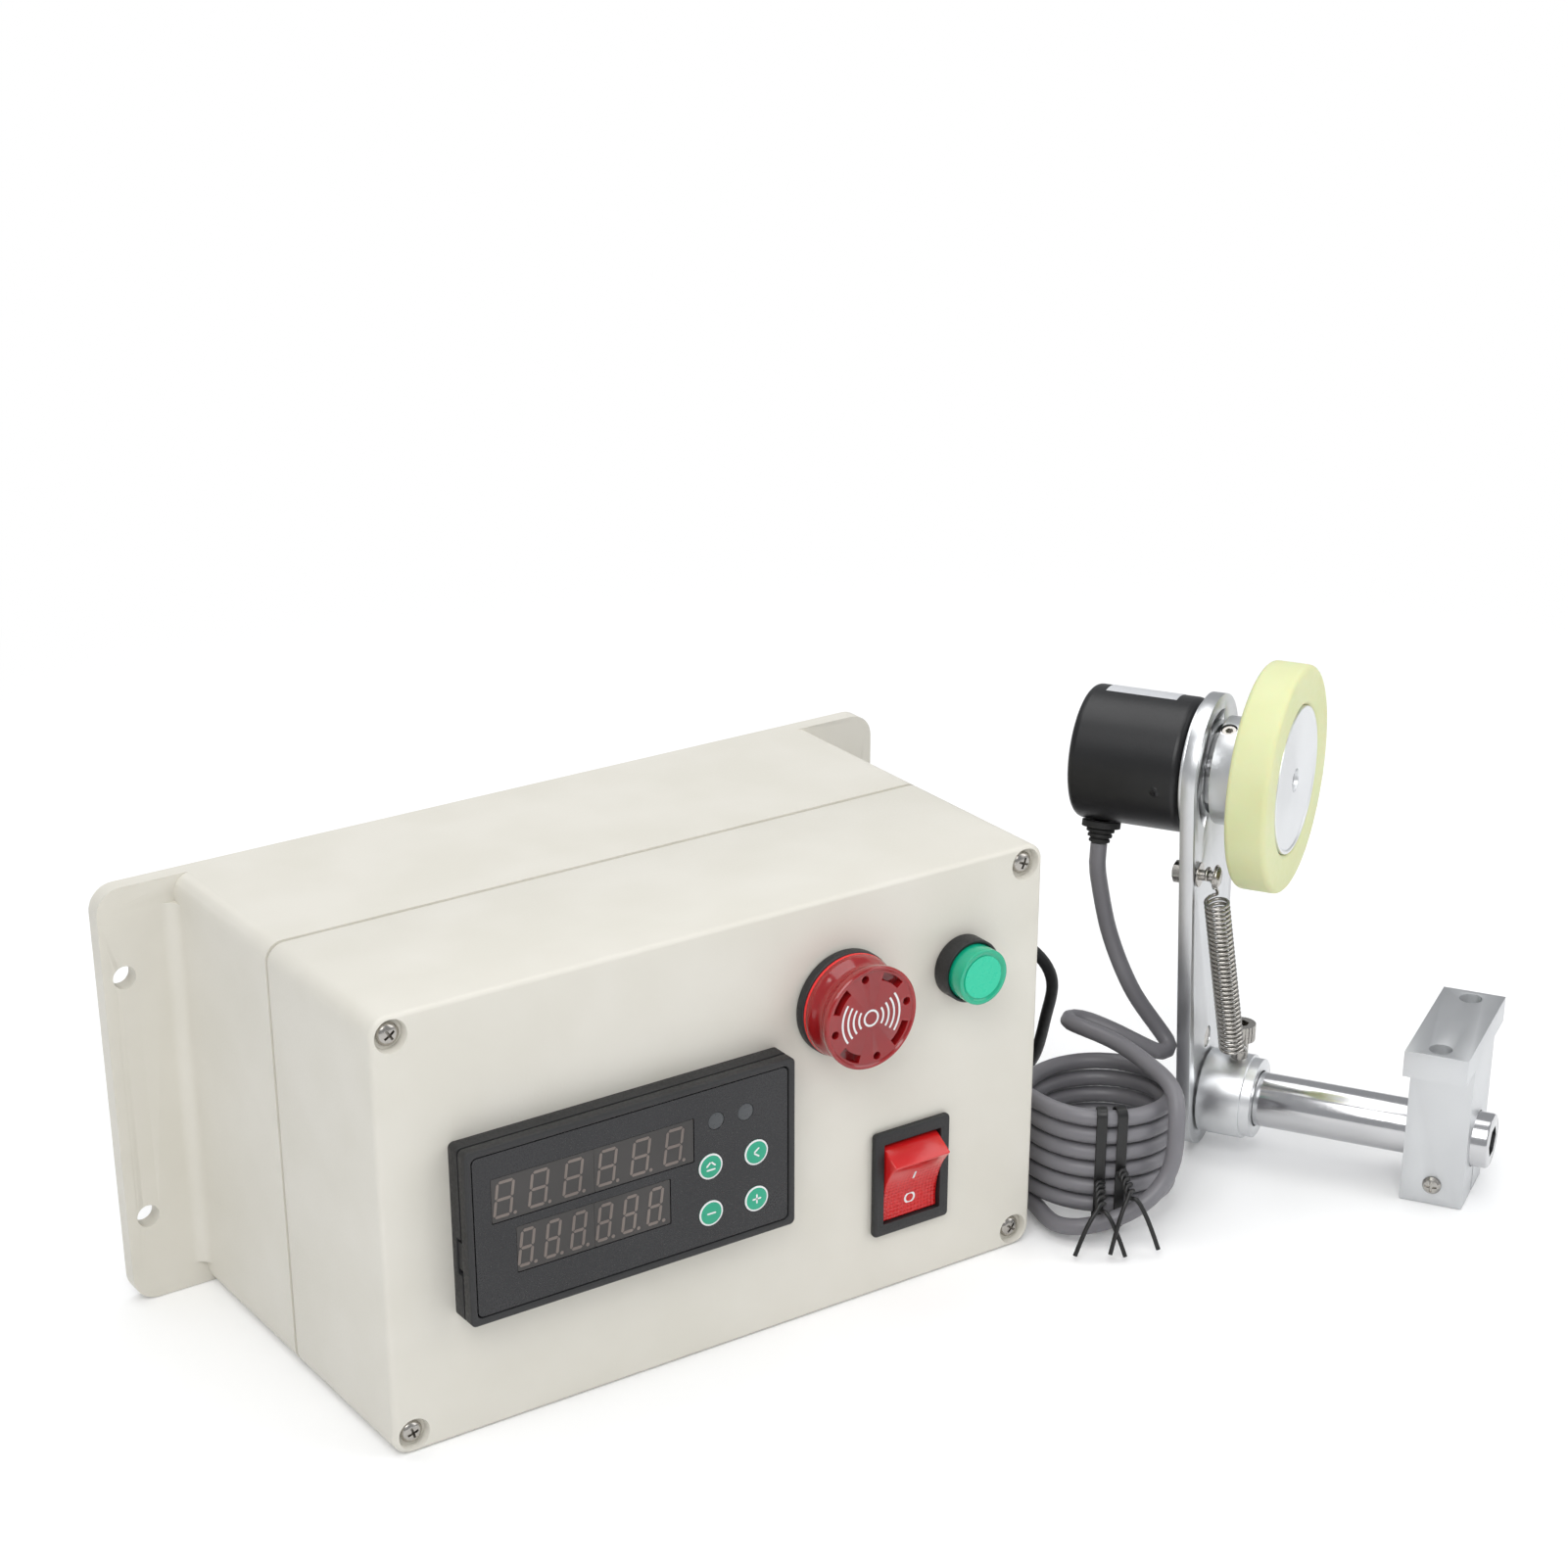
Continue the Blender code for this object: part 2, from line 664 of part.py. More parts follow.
def mark_front(obj):
    """Gives bevel weight to the edges of the face that points out of the panel."""
    mesh = bmesh.new()
    mesh.from_mesh(obj.data)
    weights = mesh.edges.layers.float.new("bevel_weight_edge")
    top = max(vert.co.z for vert in mesh.verts)
    for edge in mesh.edges:
        if all(vert.co.z > top - GAP for vert in edge.verts) and len(edge.link_faces) == 2:
            if edge.calc_face_angle(0.0) > 0.5:
                edge[weights] = 1.0
    mesh.to_mesh(obj.data)
    mesh.free()


def box_base():
    front = SEAM_Y + GAP / 2
    base = box_section("enclosure_base", BOX_WIDTH, BOX_HEIGHT, EDGE_ROUND, front, BACK_Y)
    ears = box_section("ears", EAR_SPAN, BOX_HEIGHT, EAR_CORNER, BACK_Y - EAR_THICK, BACK_Y)
    join(base, ears)
    for side in (-1, 1):
        corner = [(-side * OVERRUN, 0.0), (side * EAR_FILLET, 0.0)]
        sweep = [
            (side * (EAR_FILLET - EAR_FILLET * math.sin(t)), -EAR_FILLET + EAR_FILLET * math.cos(t))
            for t in np.linspace(0.0, math.pi / 2, 5)[1:]
        ]
        outline = [(x, -y + -GAP) for x, y in corner + sweep] + [(-side * OVERRUN, EAR_FILLET - GAP)]
        fillet_base = frame((side * BOX_WIDTH / 2, BACK_Y - EAR_THICK, 0.0), (1.0, 0.0, 0.0), (0.0, -1.0, 0.0))
        fillet = plate(f"ear_fillet_{side}", [outline], BOX_HEIGHT - 2 * EAR_CORNER, at(fillet_base, z=-BOX_HEIGHT + EAR_CORNER))
        join(base, fillet)
    inner = box_section(
        "base_hollow", BOX_WIDTH - 2 * WALL, BOX_HEIGHT - 2 * WALL, EDGE_ROUND - WALL,
        front - OVERRUN, BACK_Y - WALL,
    )
    cut(base, inner)
    for number, (x, z) in enumerate(SCREW_PLACES):
        post = rod(
            f"base_post_{number}", CORNER_POST / 2, -BOX_DEPTH + WALL / 2, -COVER_DEPTH - GAP / 2, at(PANEL, x, z),
            SMALL,
        )
        corner = box_section(
            f"base_corner_{number}", BOX_WIDTH, BOX_HEIGHT, EDGE_ROUND, front, BACK_Y - WALL / 2
        )
        keep = post.modifiers.new("inside", "BOOLEAN")
        keep.operation = "INTERSECT"
        keep.object = as_cutter(corner)
        join(base, post)
    for number, (x, z) in enumerate(board_corners()):
        post = rod(
            f"board_post_{number}", BOARD_POST / 2, -BOX_DEPTH + WALL / 2, -BOX_DEPTH + WALL + BOARD_POST_HEIGHT,
            at(PANEL, x, z), SMALL,
        )
        join(base, post)
    for number, (x, z) in enumerate(SCREW_PLACES):
        hole = rod(
            f"base_hole_{number}", COVER_SCREW_SHANK / 2 + GAP, -COVER_DEPTH - COVER_SCREW_LENGTH, -COVER_DEPTH + OVERRUN,
            at(PANEL, x, z), SMALL,
        )
        cut(base, hole)
    for x in (-1, 1):
        for z in (-1, 1):
            hole = rod(
                f"ear_hole_{x}_{z}", EAR_HOLE / 2, -BOX_DEPTH - OVERRUN, -BOX_DEPTH + EAR_THICK + OVERRUN,
                at(PANEL, x * EAR_HOLE_PITCH_X / 2, MID_Z + z * EAR_HOLE_PITCH_Z / 2), 16,
            )
            cut(base, hole)
    for name, y, z in (("signal", SIGNAL_GLAND_Y, SIGNAL_GLAND_Z), ("power", POWER_GLAND_Y, POWER_GLAND_Z)):
        cut(base, rod(
            f"{name}_gland_cut", GLAND_THREAD + GAP, -WALL - OVERRUN, OVERRUN, at(RIGHT_WALL, y, z), 18
        ))
    return finish(base, BOX_PLASTIC)


def board_corners():
    half_x = BOARD_WIDTH / 2 - BOARD_HOLE_INSET
    half_z = BOARD_HEIGHT / 2 - BOARD_HOLE_INSET
    return [(BOARD_X + x * half_x, MID_Z + z * half_z) for x in (-1, 1) for z in (-1, 1)]


def cover_screws():
    for number, (x, z) in enumerate(SCREW_PLACES, 1):
        seat = -COVER_SCREW_RECESS_DEPTH + GAP
        head = COVER_SCREW_HEAD / 2
        top = seat + COVER_SCREW_HEAD_HEIGHT
        shank = COVER_SCREW_SHANK / 2
        end = -COVER_DEPTH - COVER_SCREW_LENGTH + OVERRUN
        profile = [
            (0.0, top), (head * 0.7, top - GAP / 2), (head, top - COVER_SCREW_HEAD_HEIGHT / 2), (head, seat),
            (shank, seat), (shank, end), (0.0, end),
        ]
        screw = turned(f"cover_screw_{number}", profile, at(PANEL, x, z), SMALL)
        finish(screw, SCREW_STEEL)


def power_board():
    back = -BOX_DEPTH + WALL + BOARD_POST_HEIGHT + GAP
    board = box(
        "power_board", (BOARD_WIDTH, BOARD_HEIGHT, BOARD_THICK),
        at(PANEL, BOARD_X, MID_Z, back + BOARD_THICK / 2),
    )
    transformer = box(
        "transformer", (TRANSFORMER_WIDTH, TRANSFORMER_HEIGHT, TRANSFORMER_DEPTH + BOARD_THICK),
        at(PANEL, BOARD_X - TRANSFORMER_WIDTH / 2, MID_Z, back + (TRANSFORMER_DEPTH + BOARD_THICK) / 2 + GAP),
    )
    join(board, transformer)
    return finish(board, BOARD_GREEN)


box_cover()
box_base()
cover_screws()
power_board()


# Panel meter

METER = at(PANEL, METER_X, METER_Z)
REAR_TOP = METER_REAR_BAND
FRONT_BACK = REAR_TOP + METER_BAND_GAP
FRONT_TOP = FRONT_BACK + METER_FRONT_BAND
OVERLAY_BACK = FRONT_TOP - OVERLAY_THICK


def meter_parts():
    rear = plate("meter_bezel", [
        rounded(METER_WIDTH, METER_HEIGHT, METER_CORNER),
        rounded(METER_CASE_WIDTH - 2 * METER_CASE_WALL, METER_CASE_HEIGHT - 2 * METER_CASE_WALL, GAP, count=2),
    ], METER_REAR_BAND - GAP, at(METER, z=GAP))
    finish(rear, BLACK_PLASTIC)
    rim = plate("meter_front_frame", [
        rounded(METER_WIDTH, METER_HEIGHT, METER_CORNER),
        rounded(METER_WIDTH - 2 * METER_RIM, METER_HEIGHT - 2 * METER_RIM, METER_CORNER),
    ], METER_FRONT_BAND, at(METER, z=FRONT_BACK))
    finish(rim, BLACK_PLASTIC)
    inner_width = METER_CASE_WIDTH - 2 * METER_CASE_WALL
    inner_height = METER_CASE_HEIGHT - 2 * METER_CASE_WALL
    case = box(
        "meter_housing", (METER_CASE_WIDTH, METER_CASE_HEIGHT, METER_CASE_DEPTH - GAP),
        at(METER, z=-METER_CASE_DEPTH / 2 + GAP / 2 - GAP),
    )
    hollow = box(
        "meter_hollow", (inner_width, inner_height, METER_CASE_DEPTH),
        at(METER, z=-METER_CASE_DEPTH / 2 + METER_CASE_WALL + GAP),
    )
    cut(case, hollow)
    finish(case, BLACK_PLASTIC)
    windows = []
    for centre, size in ((UPPER_WINDOW_CENTRE, UPPER_WINDOW_SIZE), (LOWER_WINDOW_CENTRE, LOWER_WINDOW_SIZE)):
        windows.append(rounded(*size, GAP, *centre, 2))
    for x, z in LED_PLACES:
        windows.append(circle(LED_RADIUS + GAP, x, z, SMALL))
    for x, z in KEY_PLACES:
        windows.append(circle(KEY_RADIUS + GAP, x, z, SMALL))
    overlay_width = METER_WIDTH - 2 * METER_RIM - 2 * GAP
    overlay_height = METER_HEIGHT - 2 * METER_RIM - 2 * GAP
    sheet = plate(
        "meter_overlay", [rounded(overlay_width, overlay_height, METER_CORNER)] + windows, OVERLAY_THICK,
        at(METER, z=OVERLAY_BACK),
    )
    finish(sheet, GLOSS_BLACK)
    for name, centre, size in (
        ("display_upper", UPPER_WINDOW_CENTRE, UPPER_WINDOW_SIZE),
        ("display_lower", LOWER_WINDOW_CENTRE, LOWER_WINDOW_SIZE),
    ):
        display = box(
            name, (size[0] - 2 * GAP, size[1] - 2 * GAP, DISPLAY_DEPTH),
            at(METER, *centre, FRONT_TOP - GAP - DISPLAY_DEPTH / 2),
        )
        finish(display, DISPLAY_GREY)
    for number, (x, z) in enumerate(LED_PLACES, 1):
        led = rod(
            f"alarm_led_{number}", LED_RADIUS, board_front() + GAP, FRONT_TOP - GAP, at(METER, x, z), SMALL
        )
        finish(led, DISPLAY_GREY)


def board_front():
    return FRONT_TOP - GAP - DISPLAY_DEPTH - GAP


def meter_inside():
    width = METER_CASE_WIDTH - 2 * METER_CASE_WALL - 2 * GAP
    height = METER_CASE_HEIGHT - 2 * METER_CASE_WALL - 2 * GAP
    board = box(
        "meter_board", (width, height, METER_BOARD_THICK), at(METER, z=board_front() - METER_BOARD_THICK / 2)
    )
    finish(board, BOARD_GREEN)
    for side, name in ((-1, "left"), (1, "right")):
        clip = box(
            f"meter_clip_{name}", (CLIP_THICK, CLIP_HEIGHT, CLIP_LENGTH),
            at(METER, x=side * (METER_CASE_WIDTH / 2 + GAP + CLIP_THICK / 2), z=-WALL - GAP - CLIP_LENGTH / 2),
        )
        wedge = box(
            f"clip_relief_{name}", (CLIP_THICK, CLIP_HEIGHT - 2 * CLIP_THICK, CLIP_LENGTH - CLIP_THICK),
            at(METER, x=side * (METER_CASE_WIDTH / 2 + GAP + CLIP_THICK),
               z=-WALL - GAP - CLIP_LENGTH / 2 - CLIP_THICK),
        )
        cut(clip, wedge)
        finish(clip, BLACK_PLASTIC)


def keys():
    for number, (x, z) in enumerate(KEY_PLACES, 1):
        axis = empty(f"key_{number}_slide", at(METER, x, z, FRONT_TOP))
        key = rod(
            f"key_{number}", KEY_RADIUS, board_front() + KEY_TRAVEL + GAP, FRONT_TOP, at(METER, x, z), SMALL
        )
        finish(key, KEY_GREEN)
        carried_by(axis, key)


meter_parts()
meter_inside()
keys()


# Buzzer, reset button and rocker

def hex_nut(name, flats, bore, base, coat):
    nut = plate(name, [hexagon(flats), circle(bore, sides=ROUND)], NUT_THICK, at(base, z=-WALL - GAP - NUT_THICK))
    return finish(nut, coat)


def buzzer():
    base = at(PANEL, BUZZER_X, BUZZER_Z)
    collar = BUZZER_COLLAR_LENGTH
    lens_back = collar + GAP
    profile = [
        (0.0, collar), (BUZZER_COLLAR - FRONT_ROUND, collar), (BUZZER_COLLAR, collar - FRONT_ROUND),
        (BUZZER_COLLAR, GAP), (BUZZER_THREAD, GAP), (BUZZER_THREAD, -BUZZER_TAIL), (0.0, -BUZZER_TAIL),
    ]
    finish(turned("buzzer_body", profile, base, FINE - SMALL), BLACK_PLASTIC)
    front = BUZZER_LENGTH
    rim = BUZZER_FRONT - BUZZER_WAIST
    waist = lens_back + 2 * rim
    lens_profile = [
        (0.0, front - RESET_DISH), (BUZZER_FRONT - BUZZER_LIP, front - RESET_DISH),
        (BUZZER_FRONT - BUZZER_LIP / 2, front), (BUZZER_FRONT, front - rim / 2), (BUZZER_FRONT, front - rim), (BUZZER_WAIST, front - 2 * rim),
        (BUZZER_WAIST, waist), (BUZZER_FRONT - rim / 2, lens_back), (0.0, lens_back),
    ]
    lens = baked(turned("buzzer_lens", lens_profile, base, FINE - SMALL))
    for number in range(4):
        quarter = BUZZER_TURN + number * 90.0
        spot = math.radians(quarter)
        hole = rod(
            f"sound_hole_{number}", BUZZER_HOLE, front - BUZZER_HOLE_DEPTH, front + OVERRUN,
            at(base, BUZZER_HOLE_RING * math.cos(spot), BUZZER_HOLE_RING * math.sin(spot)), 10,
        )
        cut(lens, hole)
        first = quarter + 45.0 - BUZZER_SLOT_SPREAD
        last = quarter + 45.0 + BUZZER_SLOT_SPREAD
        slot = plate(
            f"sound_slot_{number}",
            [arc(BUZZER_HOLE_RING + BUZZER_HOLE / 2, first, last, 6)
             + arc(BUZZER_HOLE_RING - BUZZER_HOLE / 2, last, first, 6)],
            BUZZER_HOLE_DEPTH + OVERRUN, at(base, z=front - BUZZER_HOLE_DEPTH),
        )
        cut(lens, slot)
    cut(lens, rod("sound_hole_middle", BUZZER_HOLE, front - BUZZER_HOLE_DEPTH, front + OVERRUN, base, 10))
    finish(lens, RED_LENS)
    hex_nut("buzzer_nut", BUZZER_NUT_FLATS, BUZZER_THREAD + GAP, base, BLACK_PLASTIC)


def reset_button():
    base = at(PANEL, RESET_X, RESET_Z)
    collar = RESET_COLLAR_LENGTH
    well = -RESET_TRAVEL - WALL
    bore = RESET_CAP + GAP
    profile = [
        (0.0, well), (RESET_STEM + GAP, well), (RESET_STEM + GAP, RESET_FLOOR), (bore, RESET_FLOOR), (bore, collar - RESET_DISH),
        (bore + RESET_DISH, collar), (RESET_COLLAR - RESET_DISH, collar), (RESET_COLLAR, collar - RESET_DISH),
        (RESET_COLLAR, GAP), (RESET_THREAD, GAP), (RESET_THREAD, -RESET_TAIL), (0.0, -RESET_TAIL),
    ]
    body = turned("reset_body", profile, base, ROUND)

    finish(body, BLACK_PLASTIC)
    axis = empty("reset_slide", at(base, z=RESET_FRONT))
    front = RESET_FRONT
    cap_back = RESET_FLOOR + RESET_TRAVEL + GAP
    cap_profile = [
        (0.0, front - RESET_DISH), (RESET_INNER, front - RESET_DISH), (RESET_INNER + RESET_DISH, front),
        (RESET_CAP - RESET_DISH, front), (RESET_CAP, front - RESET_DISH), (RESET_CAP, cap_back),
        (RESET_STEM, cap_back), (RESET_STEM, well + RESET_TRAVEL + GAP), (0.0, well + RESET_TRAVEL + GAP),
    ]
    cap = turned("reset_cap", cap_profile, base, ROUND)
    finish(cap, GREEN_CAP)
    carried_by(axis, cap)
    hex_nut("reset_nut", RESET_NUT_FLATS, RESET_THREAD + GAP, base, BLACK_PLASTIC)


buzzer()
reset_button()


def rocker_switch():
    base = at(PANEL, ROCKER_X, ROCKER_Z)
    body = box(
        "switch_frame", (ROCKER_BODY_WIDTH, ROCKER_BODY_HEIGHT, ROCKER_BODY_DEPTH),
        at(base, z=-ROCKER_BODY_DEPTH / 2 + GAP + ROCKER_BEZEL_THICK / 2),
    )
    bezel = box(
        "rocker_bezel", (ROCKER_BEZEL_WIDTH, ROCKER_BEZEL_HEIGHT, ROCKER_BEZEL_THICK),
        at(base, z=GAP + ROCKER_BEZEL_THICK / 2),
    )
    bevel(bezel, ROCKER_BEZEL_CORNER / 4, 2)
    join(body, bezel)
    opening = box(
        "rocker_opening", (ROCKER_OPENING_WIDTH, ROCKER_OPENING_HEIGHT, ROCKER_BODY_DEPTH),
        at(base, z=ROCKER_BEZEL_THICK + OVERRUN - ROCKER_BODY_DEPTH / 2),
    )
    cut(body, opening)
    finish(body, GLOSS_BLACK)
    side = frame(
        (ROCKER_X + ROCKER_OPENING_WIDTH / 2 - GAP, -BOX_DEPTH / 2 + ROCKER_PIVOT_DEPTH, ROCKER_Z),
        (0.0, -1.0, 0.0), UP,
    )
    side = side @ Matrix.Rotation(math.radians(-ROCKER_TILT), 4, "Z")
    ridge = arc(ROCKER_RIDGE, -ROCKER_RIDGE_ANGLE, ROCKER_RIDGE_ANGLE, 2)
    hollow = ROCKER_RIDGE * math.cos(math.radians(ROCKER_RIDGE_ANGLE)) - ROCKER_DISH
    dish = [
        (hollow + ROCKER_DISH * t * t, ridge[1][1] * t) for t in np.linspace(-1.0, 1.0, 9)[1:-1]
    ]
    ends = arc(ROCKER_END, ROCKER_END_ANGLE, -ROCKER_END_ANGLE, 2)
    back = [(-ROCKER_BACK, ROCKER_BACK), (-ROCKER_BACK, -ROCKER_BACK)]
    outline = [ridge[0]] + dish + [ridge[1], ends[0]] + back + [ends[1]]
    rocker = plate("rocker", [outline], ROCKER_OPENING_WIDTH - 2 * GAP, side)
    finish(rocker, RED_LENS)
    pivot = empty("rocker_pivot", at(side, z=ROCKER_OPENING_WIDTH / 2))
    carried_by(pivot, rocker)


rocker_switch()


# Cable entries in the right wall

def gland(name, y, z, thick):
    base = at(RIGHT_WALL, y, z)
    tip = GLAND_NUT_THICK + GLAND_DOME_LENGTH
    profile = [
        (0.0, tip), (thick / 2 + GAP, tip), (GLAND_DOME, tip - GLAND_DOME_LENGTH / 2),
        (GLAND_DOME, GAP + GLAND_NUT_THICK / 2), (GLAND_THREAD, GAP + GLAND_NUT_THICK / 2),
        (GLAND_THREAD, -GLAND_INSIDE), (0.0, -GLAND_INSIDE),
    ]
    body = baked(turned(name, profile, base, 14))
    nut = plate(f"{name}_nut", [hexagon(GLAND_NUT_FLATS)], GLAND_NUT_THICK - GAP, at(base, z=GAP))
    join(body, nut)
    return finish(body, BLACK_PLASTIC)


gland("signal_gland", SIGNAL_GLAND_Y, SIGNAL_GLAND_Z, CABLE_THICK)
gland("power_gland", POWER_GLAND_Y, POWER_GLAND_Z, POWER_THICK)


# Stand of the measuring wheel

UPRIGHT = STAND @ Matrix.Rotation(-math.pi / 2, 4, "X")
ACROSS = STAND @ Matrix.Rotation(math.pi / 2, 4, "Y")


def mount_block():
    bore = SHAFT_RADIUS + GAP
    neck = BLOCK_HEIGHT
    top = BLOCK_HEIGHT + PLATE_THICK
    half = BLOCK_WIDTH / 2
    outline = [(half, 0.0), (half, top), (-half, top), (-half, 0.0)]
    hole = circle(bore, 0.0, SHAFT_HEIGHT, FINE - SMALL)
    block = plate("mount_block", [outline, hole], BLOCK_THICK, at(STAND, z=-BLOCK_THICK / 2))
    wide = box(
        "block_plate", (PLATE_WIDTH, PLATE_THICK, BLOCK_THICK), at(STAND, y=neck + PLATE_THICK / 2)
    )
    join(block, wide)
    slit = box(
        "clamp_slit", (BLOCK_SLIT, SHAFT_HEIGHT, BLOCK_THICK + 2 * OVERRUN), at(STAND, y=SHAFT_HEIGHT / 2 - OVERRUN)
    )
    cut(block, slit)
    for side in (-1, 1):
        cut(block, rod(
            f"plate_hole_{side}", PLATE_HOLE / 2, neck - OVERRUN, top + OVERRUN,
            at(UPRIGHT, side * PLATE_HOLE_PITCH / 2), 18,
        ))
    cut(block, rod(
        "clamp_hole", CLAMP_SCREW_RADIUS + GAP, -BLOCK_WIDTH, BLOCK_WIDTH, at(ACROSS, y=CLAMP_SCREW_HEIGHT), SMALL
    ))
    return finish(block, SATIN_ALUMINIUM)


def clamp_screw():
    face = BLOCK_WIDTH / 2 + GAP
    profile = [
        (0.0, face + CLAMP_SCREW_DOME), (CLAMP_SCREW_HEAD / 2, face + CLAMP_SCREW_DOME * 0.8),
        (CLAMP_SCREW_HEAD, face), (CLAMP_SCREW_RADIUS, face), (CLAMP_SCREW_RADIUS, -BLOCK_WIDTH / 2),
        (0.0, -BLOCK_WIDTH / 2),
    ]
    back = at(ACROSS, y=CLAMP_SCREW_HEIGHT) @ Matrix.Rotation(math.pi, 4, "X")
    return finish(turned("block_clamp_screw", profile, back, SMALL), SCREW_STEEL)


def support_shaft():
    profile = [
        (0.0, SHAFT_END), (SHAFT_RADIUS - SHAFT_CHAMFER, SHAFT_END), (SHAFT_RADIUS, SHAFT_END - SHAFT_CHAMFER),
        (SHAFT_RADIUS, SHAFT_REAR + SHAFT_CHAMFER), (SHAFT_RADIUS - SHAFT_CHAMFER, SHAFT_REAR), (0.0, SHAFT_REAR),
    ]
    shaft = baked(turned("support_shaft", profile, SHAFT, FINE - SMALL))
    socket = plate(
        "shaft_socket", [hexagon(SHAFT_SOCKET_FLATS)], SHAFT_SOCKET_DEPTH + OVERRUN,
        at(SHAFT, z=SHAFT_END - SHAFT_SOCKET_DEPTH),
    )
    cut(shaft, socket)
    return finish(shaft, POLISHED_STEEL)


def spring_collar():
    bore = SHAFT_RADIUS + GAP
    rear = COLLAR_FRONT - COLLAR_LENGTH
    step = COLLAR_FRONT - COLLAR_STEP_LENGTH
    profile = [
        (bore, COLLAR_FRONT), (COLLAR_RADIUS - COLLAR_STEP, COLLAR_FRONT), (COLLAR_RADIUS - COLLAR_STEP, step),
        (COLLAR_RADIUS, step), (COLLAR_RADIUS, rear), (bore, rear),
    ]
    collar = baked(turned("spring_collar", profile, SHAFT, FINE - SMALL, closed=True))
    top = at(SHAFT, z=COLLAR_SCREW_PLACE) @ Matrix.Rotation(-math.pi / 2, 4, "X")
    cut(collar, rod("collar_tap", COLLAR_SCREW_RADIUS + GAP, 0.0, COLLAR_RADIUS + OVERRUN, top, SMALL))
    finish(collar, SATIN_ALUMINIUM)
    seat = COLLAR_RADIUS + COLLAR_SCREW_NECK
    end = COLLAR_RADIUS - COLLAR_SCREW_DEPTH + GAP
    head = COLLAR_SCREW_HEAD
    screw_profile = [
        (0.0, seat + COLLAR_SCREW_HEAD_LENGTH), (head, seat + COLLAR_SCREW_HEAD_LENGTH), (head, seat),
        (COLLAR_SCREW_RADIUS, seat), (COLLAR_SCREW_RADIUS, end), (0.0, end),
    ]
    screw = baked(turned("collar_screw", screw_profile, top, 16))
    socket = plate(
        "collar_screw_socket", [hexagon(COLLAR_SCREW_SOCKET)], COLLAR_SCREW_HEAD_LENGTH,
        at(top, z=seat + COLLAR_SCREW_HEAD_LENGTH / 2),
    )
    cut(screw, socket)
    finish(screw, SCREW_STEEL)


mount_block()
clamp_screw()
support_shaft()
spring_collar()


# Swing arm, with what it carries

ARM_REAR = ARM_FRONT - ARM_THICK
POST = at(ARM, -SPRING_POST_OFFSET, SPRING_POST_DISTANCE)


def swing_arm():
    lift = math.degrees(math.asin((ARM_FOOT - ARM_HEAD) / ARM_LENGTH))
    outline = arc(ARM_HEAD, lift, 180.0 - lift, 17, 0.0, ARM_LENGTH) + arc(ARM_FOOT, 180.0 - lift, 360.0 + lift, 15)
    holes = [
        circle(ARM_HUB_HOLE, 0.0, ARM_LENGTH, FINE - SMALL), circle(ARM_BUSH_RADIUS + GAP, sides=FINE - SMALL),
        circle(ARM_SCREW_RADIUS, 0.0, ARM_SCREW_DISTANCE, 14),
        circle(SPRING_POST_RADIUS + GAP, -SPRING_POST_OFFSET, SPRING_POST_DISTANCE, SMALL),
    ]
    inner = ARM_SLOT_RING - ARM_SLOT_WIDTH / 2
    outer = ARM_SLOT_RING + ARM_SLOT_WIDTH / 2
    for number in range(ARM_SLOT_COUNT):
        middle = 90.0 + number * 360.0 / ARM_SLOT_COUNT
        first, last = middle - ARM_SLOT_SPREAD, middle + ARM_SLOT_SPREAD
        holes.append(
            arc(outer, first, last, 7, 0.0, ARM_LENGTH) + arc(inner, last, first, 7, 0.0, ARM_LENGTH)
        )
    arm = plate("swing_arm", [outline] + holes, ARM_THICK, at(ARM, z=ARM_REAR))
    return finish(arm, SATIN_ALUMINIUM)


def arm_fittings():
    bore = SHAFT_RADIUS + GAP
    bush = turned("arm_bush", [
        (bore, ARM_FRONT), (ARM_BUSH_RADIUS, ARM_FRONT), (ARM_BUSH_RADIUS, ARM_REAR), (bore, ARM_REAR),
    ], SHAFT, ROUND, closed=True)
    finish(bush, SCREW_STEEL)
    lock = rod(
        "arm_lock_screw", ARM_SCREW_RADIUS - GAP, ARM_REAR, ARM_FRONT - GAP, at(ARM, y=ARM_SCREW_DISTANCE), 14
    )
    finish(lock, SCREW_STEEL)
    front = ARM_FRONT + GAP
    washer = SPRING_WASHER_THICK
    inner = front + washer
    outer = ARM_FRONT + SPRING_POST_LENGTH - 2 * washer
    radius = SPRING_POST_RADIUS
    back = ARM_REAR - GAP - SPRING_NUT_THICK
    post = baked(turned("spring_post", [
        (0.0, outer + 3 * washer), (SPRING_POST_HEAD, outer + 2 * washer), (SPRING_POST_HEAD, outer + washer),
        (SPRING_WASHER, outer + washer), (SPRING_WASHER, outer), (radius, outer), (radius, inner),
        (SPRING_WASHER, inner), (SPRING_WASHER, front), (radius, front), (radius, back - washer),
        (0.0, back - washer),
    ], POST, SMALL))
    nut = plate("post_nut", [hexagon(SPRING_NUT_FLATS)], SPRING_NUT_THICK, at(POST, z=back))
    join(post, nut)
    finish(post, SCREW_STEEL)
    return [bush, lock, post]


